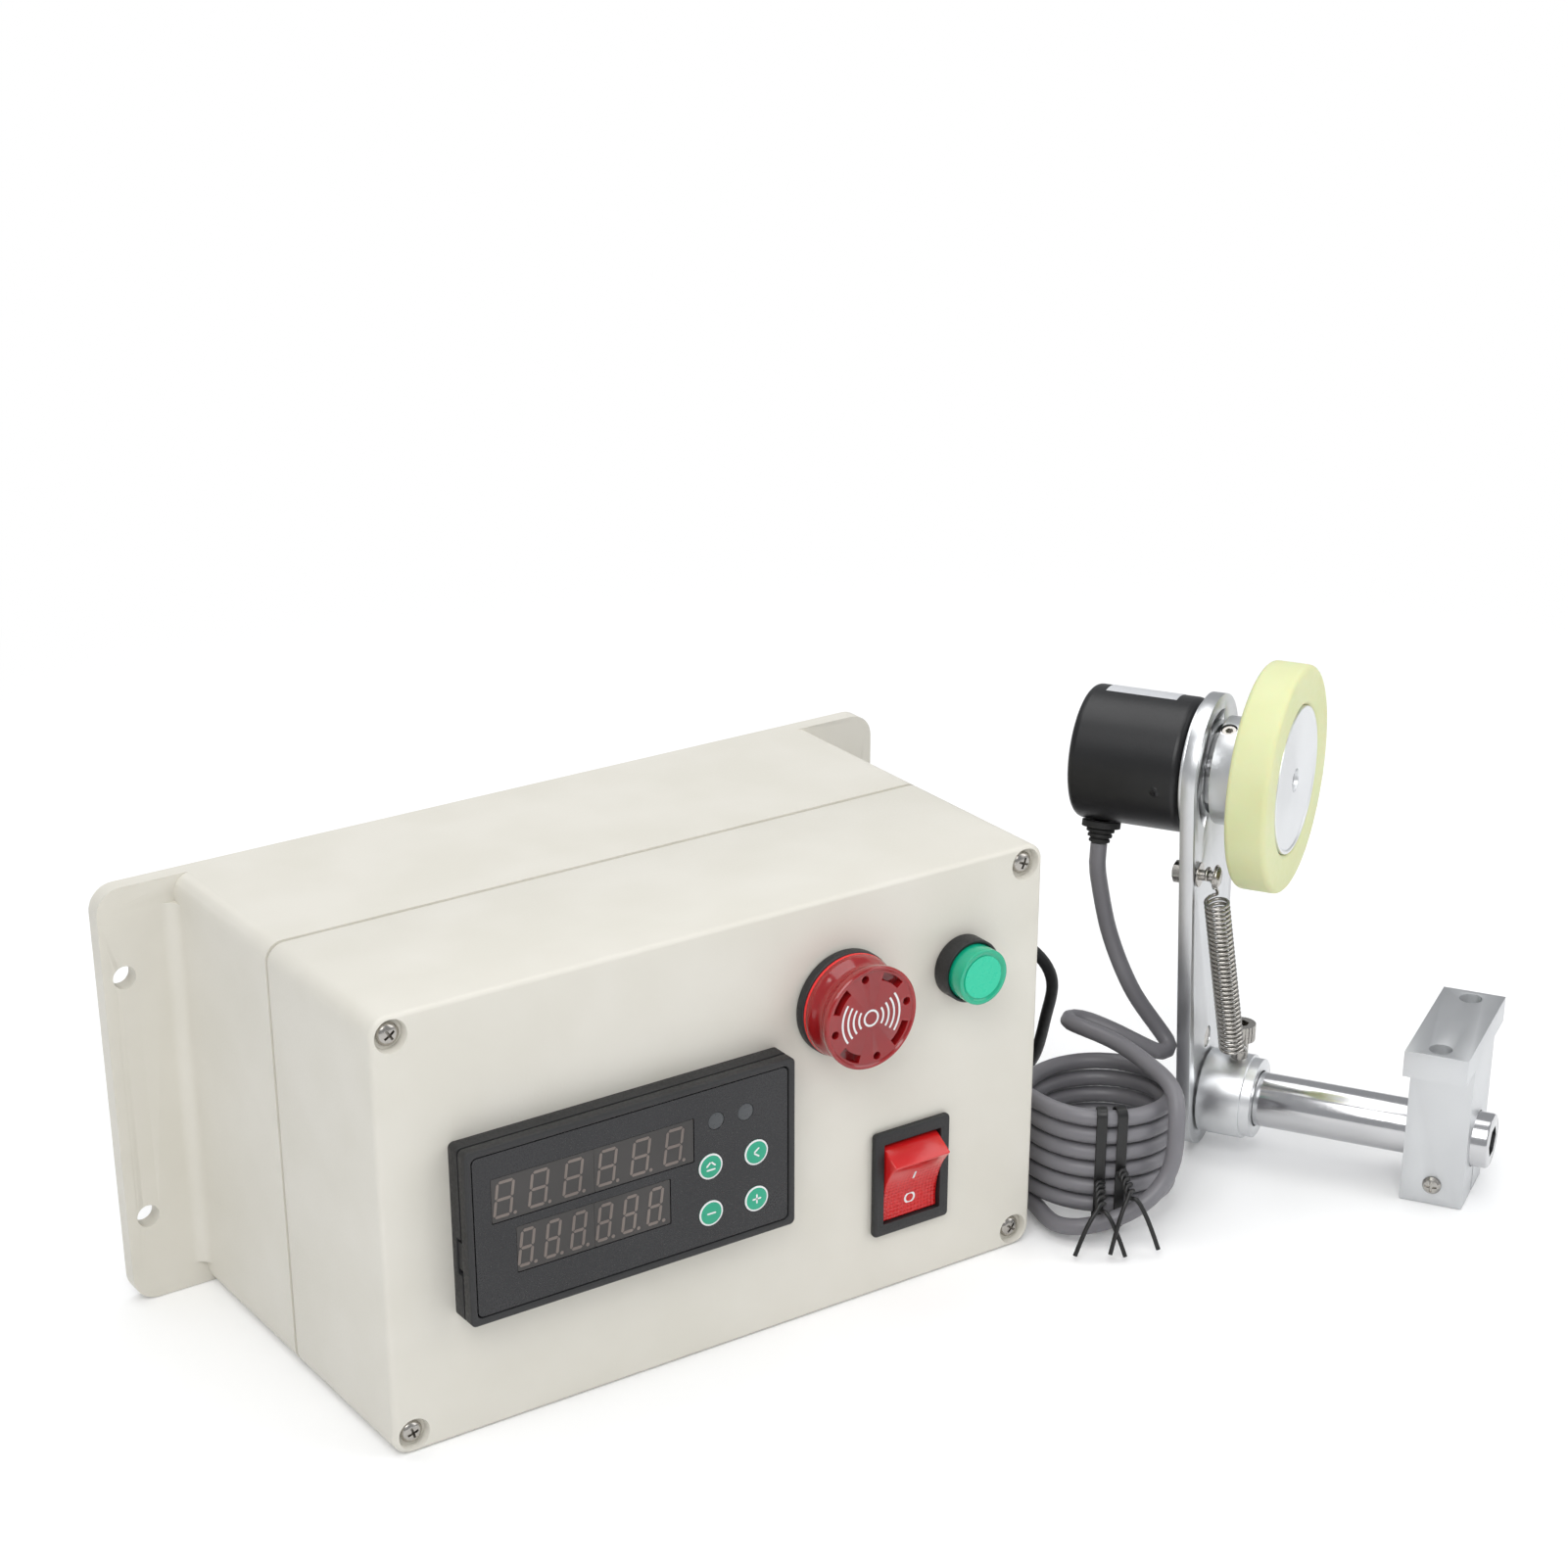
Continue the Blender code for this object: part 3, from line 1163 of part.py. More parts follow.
def encoder():
    flange_back = ARM_REAR - GAP - ENCODER_FLANGE
    bore = ENCODER_SHAFT_RADIUS + GAP
    flange = turned("encoder_flange", [
        (bore, ARM_REAR + ENCODER_BOSS_LENGTH), (ENCODER_BOSS, ARM_REAR + ENCODER_BOSS_LENGTH),
        (ENCODER_BOSS, ARM_REAR - GAP), (ENCODER_RADIUS, ARM_REAR - GAP), (ENCODER_RADIUS, flange_back),
        (bore, flange_back),
    ], WHEEL, FINE, closed=True)
    finish(flange, SATIN_ALUMINIUM)
    front = flange_back - GAP
    well = front - GROMMET_LENGTH
    edge = [
        (ENCODER_RADIUS - ENCODER_ROUND + ENCODER_ROUND * math.cos(t),
         ENCODER_REAR + ENCODER_ROUND - ENCODER_ROUND * math.sin(t))
        for t in np.linspace(0.0, math.pi / 2, 5)
    ]
    housing = turned("encoder_housing", [
        (0.0, well), (bore, well), (bore, front), (ENCODER_RADIUS, front),
    ] + edge + [(0.0, ENCODER_REAR)], WHEEL, FINE)
    finish(housing, ENCODER_BLACK)
    out = GROMMET_FRAME
    seat = ENCODER_RADIUS + GAP
    grommet = turned("cable_grommet", [
        (0.0, seat + GROMMET_LENGTH), (GROMMET_NECK, seat + GROMMET_LENGTH),
        (GROMMET_NECK, seat + GROMMET_FLANGE_THICK), (GROMMET_FLANGE, seat + GROMMET_FLANGE_THICK),
        (GROMMET_FLANGE, seat), (0.0, seat),
    ], out, 14)
    finish(grommet, RUBBER)
    return [flange, housing, grommet]


AXIS_UPRIGHT = at(SHAFT, -ARM_LENGTH * math.sin(LEAN), ARM_LENGTH * math.cos(LEAN))
GROMMET_FRAME = (
    at(AXIS_UPRIGHT, z=GROMMET_PLACE) @ Matrix.Rotation(math.radians(-90.0 - GROMMET_TURN), 4, "Z")
    @ Matrix.Rotation(math.pi / 2, 4, "Y")
)


def wheel():
    bore = HUB_BORE
    back = TYRE_FRONT - TYRE_WIDTH
    hub = baked(turned("wheel_hub", [
        (bore, TYRE_FRONT), (DISC_RADIUS, TYRE_FRONT), (DISC_RADIUS, back), (HUB_RADIUS, back),
        (HUB_RADIUS, HUB_REAR), (bore, HUB_REAR),
    ], WHEEL, FINE, closed=True))
    radial = (
        at(AXIS_UPRIGHT, z=GRUB_PLACE) @ Matrix.Rotation(math.radians(90.0 + GRUB_TURN), 4, "Z")
        @ Matrix.Rotation(math.pi / 2, 4, "Y")
    )
    cut(hub, rod("grub_tap", GRUB_RADIUS + GAP, 0.0, HUB_RADIUS + OVERRUN, radial, SMALL))
    finish(hub, SATIN_ALUMINIUM)
    grub_top = HUB_RADIUS - 2 * GAP
    grub = rod("hub_grub_screw", GRUB_RADIUS, HUB_BORE, grub_top, radial, SMALL)
    cut(grub, plate(
        "grub_socket", [hexagon(GRUB_SOCKET)], GRUB_SOCKET, at(radial, z=grub_top - GRUB_SOCKET / 2)
    ))
    finish(grub, SCREW_STEEL)
    soft = TYRE_ROUND
    inner = DISC_RADIUS + GAP
    curve = [math.radians(a) for a in (0, 30, 60, 90)]
    front_edge = [
        (TYRE_RADIUS - soft + soft * math.sin(t), TYRE_FRONT - soft + soft * math.cos(t)) for t in curve
    ]
    rear_edge = [
        (TYRE_RADIUS - soft + soft * math.cos(t), back + soft - soft * math.sin(t)) for t in curve
    ]
    tyre = turned(
        "wheel_tyre", [(inner, TYRE_FRONT)] + front_edge + rear_edge + [(inner, back)], WHEEL, FINE, closed=True
    )
    finish(tyre, TYRE_YELLOW)
    spindle = rod(
        "encoder_shaft", ENCODER_SHAFT_RADIUS, ARM_REAR - GROMMET_LENGTH, ENCODER_SHAFT_END, WHEEL, 16
    )
    finish(spindle, POLISHED_STEEL)
    return [hub, grub, tyre, spindle]


ARM_PIVOT = empty("arm_swing", at(SHAFT, z=ARM_REAR))
WHEEL_AXIS = empty("wheel_spin", at(WHEEL, z=TYRE_FRONT))
carried_by(ARM_PIVOT, swing_arm(), *arm_fittings(), *encoder())
carried_by(ARM_PIVOT, WHEEL_AXIS)
carried_by(WHEEL_AXIS, *wheel())


# Extension spring between the post and the collar's screw

def extension_spring():
    wire = SPRING_WIRE
    top = POST @ Vector((0.0, 0.0, ARM_FRONT + SPRING_POST_LENGTH / 2))
    foot_height = COLLAR_RADIUS + COLLAR_SCREW_NECK / 2
    foot = SHAFT @ Vector((0.0, foot_height, COLLAR_SCREW_PLACE))
    aside = COLLAR_SCREW_HEAD + SPRING_RADIUS + wire / 2 + 2 * GAP
    start = SHAFT @ Vector((-aside, foot_height + SPRING_RADIUS, COLLAR_SCREW_PLACE))
    top_axis = POST @ Vector((0.0, 0.0, ARM_FRONT + SPRING_RADIUS + wire / 2 + 3 * GAP))
    along = (top_axis - start).normalized()
    curls = int(((top_axis - start).length - SPRING_HOOK) / SPRING_PITCH)
    print(f"extension spring: {curls} curls over {(top_axis - start).length * 1000:.2f} mm")
    out = Vector(SHAFT.col[2][:3])
    side = along.cross(out).normalized()
    front = side.cross(along).normalized()
    coil = []
    for i in range(curls * SPRING_POINTS + 1):
        angle = 2 * math.pi * i / SPRING_POINTS
        place = start + along * (SPRING_PITCH * i / SPRING_POINTS)
        coil.append(place + SPRING_RADIUS * (math.cos(angle) * side + math.sin(angle) * front))
    hook = SPRING_POST_RADIUS + wire / 2 + GAP
    upper = []
    for i in range(9):
        angle = math.radians(-60.0 + 240.0 * i / 8)
        upper.append(top + hook * (math.cos(angle) * side + math.sin(angle) * along))
    foot_hook = COLLAR_SCREW_RADIUS + wire / 2 + GAP
    level = Vector(STAND.col[0][:3])
    lower = []
    for i in range(9):
        angle = math.radians(120.0 + 240.0 * i / 8)
        lower.append(foot + foot_hook * (math.cos(angle) * level + math.sin(angle) * out))
    points = lower[::-1] + coil[2:] + upper
    gap = self_gap(coil, SPRING_POINTS // 2, wire)
    print(f"extension spring: least gap {gap * 1000:.2f} mm")
    return tube("extension_spring", points, wire, SCREW_STEEL, 1)


def self_gap(points, near, thick):
    """The least gap between stretches of a tube that aren't neighbours along it."""
    p = np.array([tuple(q) for q in points])
    least = 1.0
    for i in range(len(p)):
        later = p[i + near:]
        if len(later):
            least = min(least, float(np.linalg.norm(later - p[i], axis=1).min()))
    return least - thick


# Cords

def encoder_cable():
    mouth = GROMMET_FRAME @ Vector((0.0, 0.0, ENCODER_RADIUS + GAP + GROMMET_LENGTH + GAP))
    straight = GROMMET_FRAME @ Vector((0.0, 0.0, ENCODER_RADIUS + GAP + GROMMET_LENGTH + CABLE_THICK))
    route = smooth_route([mouth, straight] + list(CABLE_LEAD_ROUTE), 1.1 * CABLE_THICK)
    lead = tube("encoder_cable_lead", route, CABLE_THICK, GREY_SHEATH, 2)
    low = COIL_LIFT + CABLE_THICK / 2
    meet = (COIL_X - COIL_RADIUS, COIL_Y, low)
    meet_next = (COIL_X - COIL_RADIUS, COIL_Y + CABLE_THICK, low)
    loop = smooth_route(list(CABLE_LOOP_ROUTE) + [meet, meet_next], 1.1 * CABLE_THICK)
    coil = loop[:-2]
    count = COIL_TURNS * LOOP_POINTS
    for i in range(count + 1):
        angle = math.pi - 2 * math.pi * i / LOOP_POINTS
        coil.append((
            COIL_X + COIL_RADIUS * math.cos(angle), COIL_Y + COIL_RADIUS * math.sin(angle),
            low + COIL_PITCH * i / LOOP_POINTS,
        ))
    end = Vector(coil[-1])
    run_out = end + Vector((0.0, CABLE_THICK, 0.0))
    coil.append(tuple(run_out))
    tube("encoder_cable_coil", coil, CABLE_THICK, GREY_SHEATH, 1)
    gap = self_gap(coil, LOOP_POINTS // 4, CABLE_THICK)
    print(f"encoder cable: least gap {gap * 1000:.2f} mm")
    entry = RIGHT_WALL @ Vector((SIGNAL_GLAND_Y, SIGNAL_GLAND_Z, GLAND_NUT_THICK + GLAND_DOME_LENGTH + GAP))
    entry_run = entry + Vector((CABLE_THICK, 0.0, 0.0))
    start = run_out + Vector((0.0, GAP, 0.0))
    start_run = start + Vector((0.0, CABLE_THICK, 0.0))
    middle = Vector((
        (start.x + entry_run.x) / 2 + CABLE_THICK, start.y * 0.35 + entry.y * 0.65, (start.z + entry.z) / 2
    ))
    tail = smooth_route([start, start_run, middle, entry_run, entry], 2.2 * CABLE_THICK)
    tube("encoder_cable_tail", tail, CABLE_THICK, GREY_SHEATH, 2)
    top = low + COIL_PITCH * COIL_TURNS + CABLE_THICK / 2
    for number, angle in enumerate(TIE_ANGLES, 1):
        inner = COIL_RADIUS - CABLE_THICK / 2
        outer = COIL_RADIUS + CABLE_THICK / 2
        tie(f"cable_tie_{number}", COIL_X, COIL_Y, angle, inner, outer, COIL_LIFT, top)
    return lead


def tie(name, x, y, angle, inner, outer, low, high):
    """A flat band round the whole bundle of turns."""
    turn = math.radians(angle)
    base = frame((x, y, 0.0), (math.cos(turn), math.sin(turn), 0.0), UP)
    middle_x = (inner + outer) / 2
    middle_z = (low + high) / 2
    width = outer - inner + 2 * GAP
    height = high - low + 2 * GAP
    band = plate(name, [
        rounded(width + 2 * TIE_THICK, height + 2 * TIE_THICK, 2 * TIE_THICK, middle_x, middle_z),
        rounded(width, height, TIE_THICK, middle_x, middle_z),
    ], TIE_WIDTH, at(base, z=-TIE_WIDTH / 2))
    return finish(band, RUBBER)


def power_coil_points():
    """Turns piled in layers: a quarter turn in, then in, out, in and out, then most of a turn out."""
    points = []
    for i in range(-LOOP_POINTS // 4, POWER_COIL_TURNS * POWER_COIL_LAYERS * LOOP_POINTS + POWER_COIL_EXTRA + 1):
        turns = i / LOOP_POINTS
        layer = turns / POWER_COIL_TURNS
        if turns < 0:
            radius = POWER_COIL_OUTER + POWER_COIL_STEP * (4 * turns) ** 2
        elif layer > POWER_COIL_LAYERS:
            radius = POWER_COIL_OUTER + POWER_COIL_STEP * (turns - POWER_COIL_TURNS * POWER_COIL_LAYERS)
        else:
            wave = abs((layer + 1) % 2 - 1)
            radius = POWER_COIL_OUTER - POWER_COIL_STEP * POWER_COIL_TURNS * wave
        nearest = min(max(round(layer), 0), POWER_COIL_LAYERS)
        share = max(-1.0, min(1.0, (layer - nearest) * POWER_COIL_TURNS * 4))
        if nearest == 0:
            level = 0.0
        elif nearest == POWER_COIL_LAYERS:
            level = POWER_COIL_LAYERS - 1.0
        else:
            level = nearest - 0.5 + 0.5 * share
        angle = math.radians(POWER_COIL_START) + 2 * math.pi * turns
        points.append((
            POWER_COIL_X + radius * math.cos(angle), POWER_COIL_Y + radius * math.sin(angle),
            COIL_LIFT + POWER_THICK / 2 + POWER_COIL_STEP * level,
        ))
    return points


def power_cord():
    coil = power_coil_points()
    gap = self_gap(coil, LOOP_POINTS // 4, POWER_THICK)
    first = Vector(coil[0])
    back = (first - Vector(coil[1])).normalized()
    start = first + back * POWER_THICK
    last = Vector(coil[-1])
    ahead = (last - Vector(coil[-2])).normalized()
    finish_at = last + ahead * POWER_THICK
    tube("power_cord_coil", [tuple(start)] + coil + [tuple(finish_at)], POWER_THICK, BLACK_SHEATH, 1)
    print(f"power cord: least gap {gap * 1000:.2f} mm")
    entry = RIGHT_WALL @ Vector((POWER_GLAND_Y, POWER_GLAND_Z, GLAND_NUT_THICK + GLAND_DOME_LENGTH + GAP))
    entry_run = entry + Vector((POWER_THICK / 2, 0.0, 0.0))
    meet = start + back * GAP
    meet_run = start + back * (GAP + POWER_THICK)
    route = smooth_route([entry, entry_run] + list(POWER_LEAD_ROUTE) + [meet_run, meet], 2.5 * POWER_THICK)
    tube("power_cord", route, POWER_THICK, BLACK_SHEATH, 2)
    top = COIL_LIFT + POWER_THICK + POWER_COIL_STEP * (POWER_COIL_LAYERS - 1)
    inner = POWER_COIL_OUTER - POWER_COIL_STEP * POWER_COIL_TURNS - POWER_THICK / 2
    outer = POWER_COIL_OUTER + POWER_THICK / 2
    tie("power_cord_tie", POWER_COIL_X, POWER_COIL_Y, POWER_TIE_ANGLE, inner, outer, COIL_LIFT, top)
    plug_back = Vector(PLUG_PLACE)
    end = finish_at + ahead * GAP
    end_run = end + ahead * POWER_THICK
    plug_run = plug_back + Vector((PLUG_RELIEF_LENGTH + GAP + POWER_THICK, 0.0, 0.0))
    plug_end = plug_back + Vector((PLUG_RELIEF_LENGTH + GAP, 0.0, 0.0))
    places = [end, end_run] + list(POWER_TAIL_ROUTE) + [plug_run, plug_end]
    tail = smooth_route(places, 1.5 * POWER_THICK)
    tube("power_cord_tail", tail, POWER_THICK, BLACK_SHEATH, 2)


def power_plug():
    base = frame(PLUG_PLACE, (0.0, -1.0, 0.0), UP)
    body = plate(
        "power_plug", [rounded(PLUG_WIDTH, PLUG_HEIGHT, PLUG_HEIGHT / 4)], PLUG_LENGTH, base
    )
    relief = rod("plug_relief", PLUG_RELIEF * 0.8, -PLUG_RELIEF_LENGTH, OVERRUN, base, SMALL, PLUG_RELIEF)
    join(body, relief)
    for side in (-1, 1):
        pin = box(
            f"plug_pin_{side}", (PLUG_PIN_THICK, PLUG_PIN_WIDTH, PLUG_PIN_LENGTH + OVERRUN),
            at(base, x=side * PLUG_PIN_PITCH / 2, z=PLUG_LENGTH + (PLUG_PIN_LENGTH - OVERRUN) / 2),
        )
        join(body, pin)
    return finish(body, BLACK_PLASTIC)


carried_by(ARM_PIVOT, extension_spring(), encoder_cable())
power_cord()
power_plug()
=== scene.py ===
"""Looks of the digital counter: a wall box with a panel counter, and a measuring wheel on a sprung arm."""
import math

import bpy
from mathutils import Matrix, Vector


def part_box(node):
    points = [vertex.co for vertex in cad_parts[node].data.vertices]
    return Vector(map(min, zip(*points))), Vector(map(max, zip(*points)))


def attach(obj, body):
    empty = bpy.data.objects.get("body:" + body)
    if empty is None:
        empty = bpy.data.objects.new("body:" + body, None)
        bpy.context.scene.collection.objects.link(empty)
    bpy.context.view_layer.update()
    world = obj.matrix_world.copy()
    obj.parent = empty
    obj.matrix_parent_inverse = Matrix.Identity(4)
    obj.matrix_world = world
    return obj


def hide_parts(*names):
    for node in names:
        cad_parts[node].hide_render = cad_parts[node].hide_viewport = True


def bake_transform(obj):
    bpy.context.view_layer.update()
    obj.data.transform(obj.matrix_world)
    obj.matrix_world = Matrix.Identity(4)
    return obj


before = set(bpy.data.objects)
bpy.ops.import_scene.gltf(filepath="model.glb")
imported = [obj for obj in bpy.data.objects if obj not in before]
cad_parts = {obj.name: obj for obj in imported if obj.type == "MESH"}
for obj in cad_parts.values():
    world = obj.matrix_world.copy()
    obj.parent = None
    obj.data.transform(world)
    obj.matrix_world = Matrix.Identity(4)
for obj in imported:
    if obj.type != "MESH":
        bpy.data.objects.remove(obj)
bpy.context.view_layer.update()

# Places that the solids share, in metres
BOX = (0.200, 0.113, 0.120)
FRONT = -BOX[1] / 2
COVER_DEPTH = 0.0545
METER_AT = (-0.033, 0.0591)
METER_FRONT = 0.0081
STAND_AT = (0.2185, -0.0983)
STAND_TURN = math.radians(58.0)
SHAFT_HEIGHT = 0.0172
ARM_LENGTH = 0.1044
ARM_LEAN = math.radians(5.55)
ARM_FRONT = -0.0714
ARM_REAR = -0.0754
CABLE = 0.0048
POWER_CABLE = 0.0036


def facing(place, across, up):
    """A frame on a face: X across it, Y up it and Z out of it."""
    out = Vector(across).cross(Vector(up))
    turn = Matrix((across, up, out)).transposed()
    return Matrix.Translation(Vector(place)) @ turn.to_4x4()


UP = (0.0, 0.0, 1.0)
PANEL = facing((0.0, FRONT, 0.0), (1.0, 0.0, 0.0), UP)
STAND = facing((*STAND_AT, 0.0), (math.sin(STAND_TURN), math.cos(STAND_TURN), 0.0), UP)
SHAFT = STAND @ Matrix.Translation((0.0, SHAFT_HEIGHT, 0.0))
ARM = SHAFT @ Matrix.Rotation(ARM_LEAN, 4, "Z")
WHEEL = ARM @ Matrix.Translation((0.0, ARM_LENGTH, 0.0))
UPRIGHT_WHEEL = SHAFT @ Matrix.Translation(
    (-ARM_LENGTH * math.sin(ARM_LEAN), ARM_LENGTH * math.cos(ARM_LEAN), 0.0)
)
RIGHT_WALL = facing((BOX[0] / 2, 0.0, 0.0), (0.0, 1.0, 0.0), UP)
BUZZER_AT = (0.0351, 0.0906)
RESET_AT = (0.0734, 0.0911)
ROCKER_AT = (0.0574, 0.0336)
METER = PANEL @ Matrix.Translation((METER_AT[0], METER_AT[1], 0.0))


def at(base, x=0.0, y=0.0, z=0.0):
    return base @ Matrix.Translation((x, y, z))


# Where the cords leave, repeated from the solids
GROMMET_PLACE = -0.1025
GROMMET_REACH = 0.0258
GROMMET_TURN = math.radians(-105.0)
GROMMET_WAY = Vector((math.cos(GROMMET_TURN), math.sin(GROMMET_TURN), 0.0))
GLAND_REACH = 0.0123
SIGNAL_AT = (0.010, 0.030)
POWER_AT = (0.010, 0.062)
PLUG_MOUTH = 0.0123


# Camera, light and floor

FLOOR_SIZE = 4.0
FLOOR_DROP = 0.0002
FLOOR_FADE = (0.30, 0.62)
FLOOR_PLACE = (0.1, 0.0, -FLOOR_DROP)
FLOOR_PAPER = (0.93, 0.93, 0.93, 1.0)
FLOOR_ROUGH = 0.75
FLOOR_SHINE = 0.1
FLOOR_GLOW = 0.10
WHITE = (1.0, 1.0, 1.0, 1.0)
ROOM_SHADE = (0.95, 0.97, 1.0, 1.0)
ROOM_STRENGTH = 0.42
CAMERA_LENS = 73.0
CAMERA_SENSOR = 36.0
CAMERA_SHIFT = 0.187
CAMERA_PLACE = (-0.397, -0.6635, 0.4332)
CAMERA_DOWN = 26.08
CAMERA_TURN = -34.3
LAMPS = (
    ("key", (-0.9, -1.0, 1.5), (0.05, 0.0, 0.05), 1.2, 17.0),
    ("fill", (1.2, -0.9, 1.0), (0.1, 0.0, 0.06), 1.3, 9.0),
    ("top", (0.1, 0.3, 1.7), (0.1, 0.0, 0.05), 1.4, 12.0),
)


def place_camera():
    lens = bpy.data.cameras.new("camera")
    lens.lens = CAMERA_LENS
    lens.sensor_width = CAMERA_SENSOR
    lens.shift_y = CAMERA_SHIFT
    eye = bpy.data.objects.new("camera", lens)
    eye.location = CAMERA_PLACE
    eye.rotation_euler = (math.radians(90.0 - CAMERA_DOWN), 0.0, math.radians(CAMERA_TURN))
    bpy.context.scene.collection.objects.link(eye)
    bpy.context.scene.camera = eye


def soft_lamp(name, place, target, size, power):
    lamp = bpy.data.lights.new(name, "AREA")
    lamp.shape = "SQUARE"
    lamp.size = size
    lamp.energy = power
    stand = bpy.data.objects.new(name, lamp)
    stand.location = place
    aim = Vector(target) - Vector(place)
    stand.rotation_euler = aim.to_track_quat("-Z", "Y").to_euler()
    bpy.context.scene.collection.objects.link(stand)


def node(tree, kind, **inputs):
    made = tree.nodes.new(kind)
    for key, value in inputs.items():
        made.inputs[key.replace("_", " ")].default_value = value
    return made


def nodes_of(name):
    made = bpy.data.materials.new(name)
    made.use_nodes = True
    tree = made.node_tree
    return made, tree, tree.nodes["Principled BSDF"]


def white_room():
    world = bpy.data.worlds.new("room")
    bpy.context.scene.world = world
    world.use_nodes = True
    tree = world.node_tree
    tree.nodes.clear()
    room = tree.nodes.new("ShaderNodeBackground")
    room.inputs["Color"].default_value = ROOM_SHADE
    room.inputs["Strength"].default_value = ROOM_STRENGTH
    seen = tree.nodes.new("ShaderNodeBackground")
    seen.inputs["Color"].default_value = WHITE
    seen.inputs["Strength"].default_value = 1.0
    path = tree.nodes.new("ShaderNodeLightPath")
    mix = tree.nodes.new("ShaderNodeMixShader")
    out = tree.nodes.new("ShaderNodeOutputWorld")
    tree.links.new(path.outputs["Is Camera Ray"], mix.inputs[0])
    tree.links.new(room.outputs[0], mix.inputs[1])
    tree.links.new(seen.outputs[0], mix.inputs[2])
    tree.links.new(mix.outputs[0], out.inputs["Surface"])
    bpy.context.scene.view_settings.view_transform = "Standard"


def pale_floor():
    bpy.ops.mesh.primitive_plane_add(size=FLOOR_SIZE, location=FLOOR_PLACE)
    floor = bpy.context.active_object
    floor.name = "floor"
    made, tree, shader = nodes_of("floor paper")
    shader.inputs["Base Color"].default_value = FLOOR_PAPER
    shader.inputs["Roughness"].default_value = FLOOR_ROUGH
    shader.inputs["Specular IOR Level"].default_value = FLOOR_SHINE
    glow = tree.nodes.new("ShaderNodeEmission")
    glow.inputs["Strength"].default_value = 1.0
    dim = tree.nodes.new("ShaderNodeEmission")
    dim.inputs["Strength"].default_value = FLOOR_GLOW
    sheet = tree.nodes.new("ShaderNodeAddShader")
    tree.links.new(shader.outputs[0], sheet.inputs[0])
    tree.links.new(dim.outputs[0], sheet.inputs[1])
    place = tree.nodes.new("ShaderNodeTexCoord")
    reach = node(tree, "ShaderNodeVectorMath")
    reach.operation = "LENGTH"
    tree.links.new(place.outputs["Object"], reach.inputs[0])
    fade = tree.nodes.new("ShaderNodeMapRange")
    fade.interpolation_type = "SMOOTHSTEP"
    fade.inputs["From Min"].default_value = FLOOR_FADE[0]
    fade.inputs["From Max"].default_value = FLOOR_FADE[1]
    tree.links.new(reach.outputs["Value"], fade.inputs["Value"])
    seen = tree.nodes.new("ShaderNodeMixShader")
    tree.links.new(fade.outputs["Result"], seen.inputs[0])
    tree.links.new(sheet.outputs[0], seen.inputs[1])
    tree.links.new(glow.outputs[0], seen.inputs[2])
    path = tree.nodes.new("ShaderNodeLightPath")
    mix = tree.nodes.new("ShaderNodeMixShader")
    tree.links.new(path.outputs["Is Camera Ray"], mix.inputs[0])
    tree.links.new(shader.outputs[0], mix.inputs[1])
    tree.links.new(seen.outputs[0], mix.inputs[2])
    tree.links.new(mix.outputs[0], tree.nodes["Material Output"].inputs["Surface"])
    floor.data.materials.append(made)


bpy.ops.object.select_all(action="DESELECT")
place_camera()
white_room()
pale_floor()
for lamp_values in LAMPS:
    soft_lamp(*lamp_values)


# Finishes

NOISE_LOW = 0.35
NOISE_HIGH = 0.65
DOT_ROWS = 900.0
DOT_FADE = 0.003
DOT_STRENGTH = 0.9
DOT_RISE = 0.0005


def grain(tree, shader, scale, height, detail=3.0, stretch=None, distance=0.0002):
    """A fine relief on the surface, from noise on the piece's own coordinates."""
    place = tree.nodes.new("ShaderNodeTexCoord")
    source = place.outputs["Object"]
    if stretch:
        squeeze = tree.nodes.new("ShaderNodeMapping")
        squeeze.inputs["Scale"].default_value = stretch
        tree.links.new(source, squeeze.inputs["Vector"])
        source = squeeze.outputs["Vector"]
    noise = node(tree, "ShaderNodeTexNoise", Scale=scale, Detail=detail)
    tree.links.new(source, noise.inputs["Vector"])
    bump = node(tree, "ShaderNodeBump", Strength=height, Distance=distance)
    tree.links.new(noise.outputs["Fac"], bump.inputs["Height"])
    tree.links.new(bump.outputs["Normal"], shader.inputs["Normal"])
    return noise, source


def vary(tree, noise, socket, low, high):
    """Lets a value wander between low and high with the noise."""
    spread = tree.nodes.new("ShaderNodeMapRange")
    spread.inputs["From Min"].default_value = NOISE_LOW
    spread.inputs["From Max"].default_value = NOISE_HIGH
    spread.inputs["To Min"].default_value = low
    spread.inputs["To Max"].default_value = high
    tree.links.new(noise.outputs["Fac"], spread.inputs["Value"])
    tree.links.new(spread.outputs["Result"], socket)


def tint(tree, source, socket, dark, light, scale):
    """Lets the colour wander softly between two near shades."""
    cloud = node(tree, "ShaderNodeTexNoise", Scale=scale, Detail=2.0)
    tree.links.new(source, cloud.inputs["Vector"])
    ramp = tree.nodes.new("ShaderNodeValToRGB")
    ramp.color_ramp.elements[0].position = NOISE_LOW
    ramp.color_ramp.elements[1].position = NOISE_HIGH
    ramp.color_ramp.elements[0].color = (*dark, 1.0)
    ramp.color_ramp.elements[1].color = (*light, 1.0)
    tree.links.new(cloud.outputs["Fac"], ramp.inputs["Fac"])
    tree.links.new(ramp.outputs["Color"], socket)


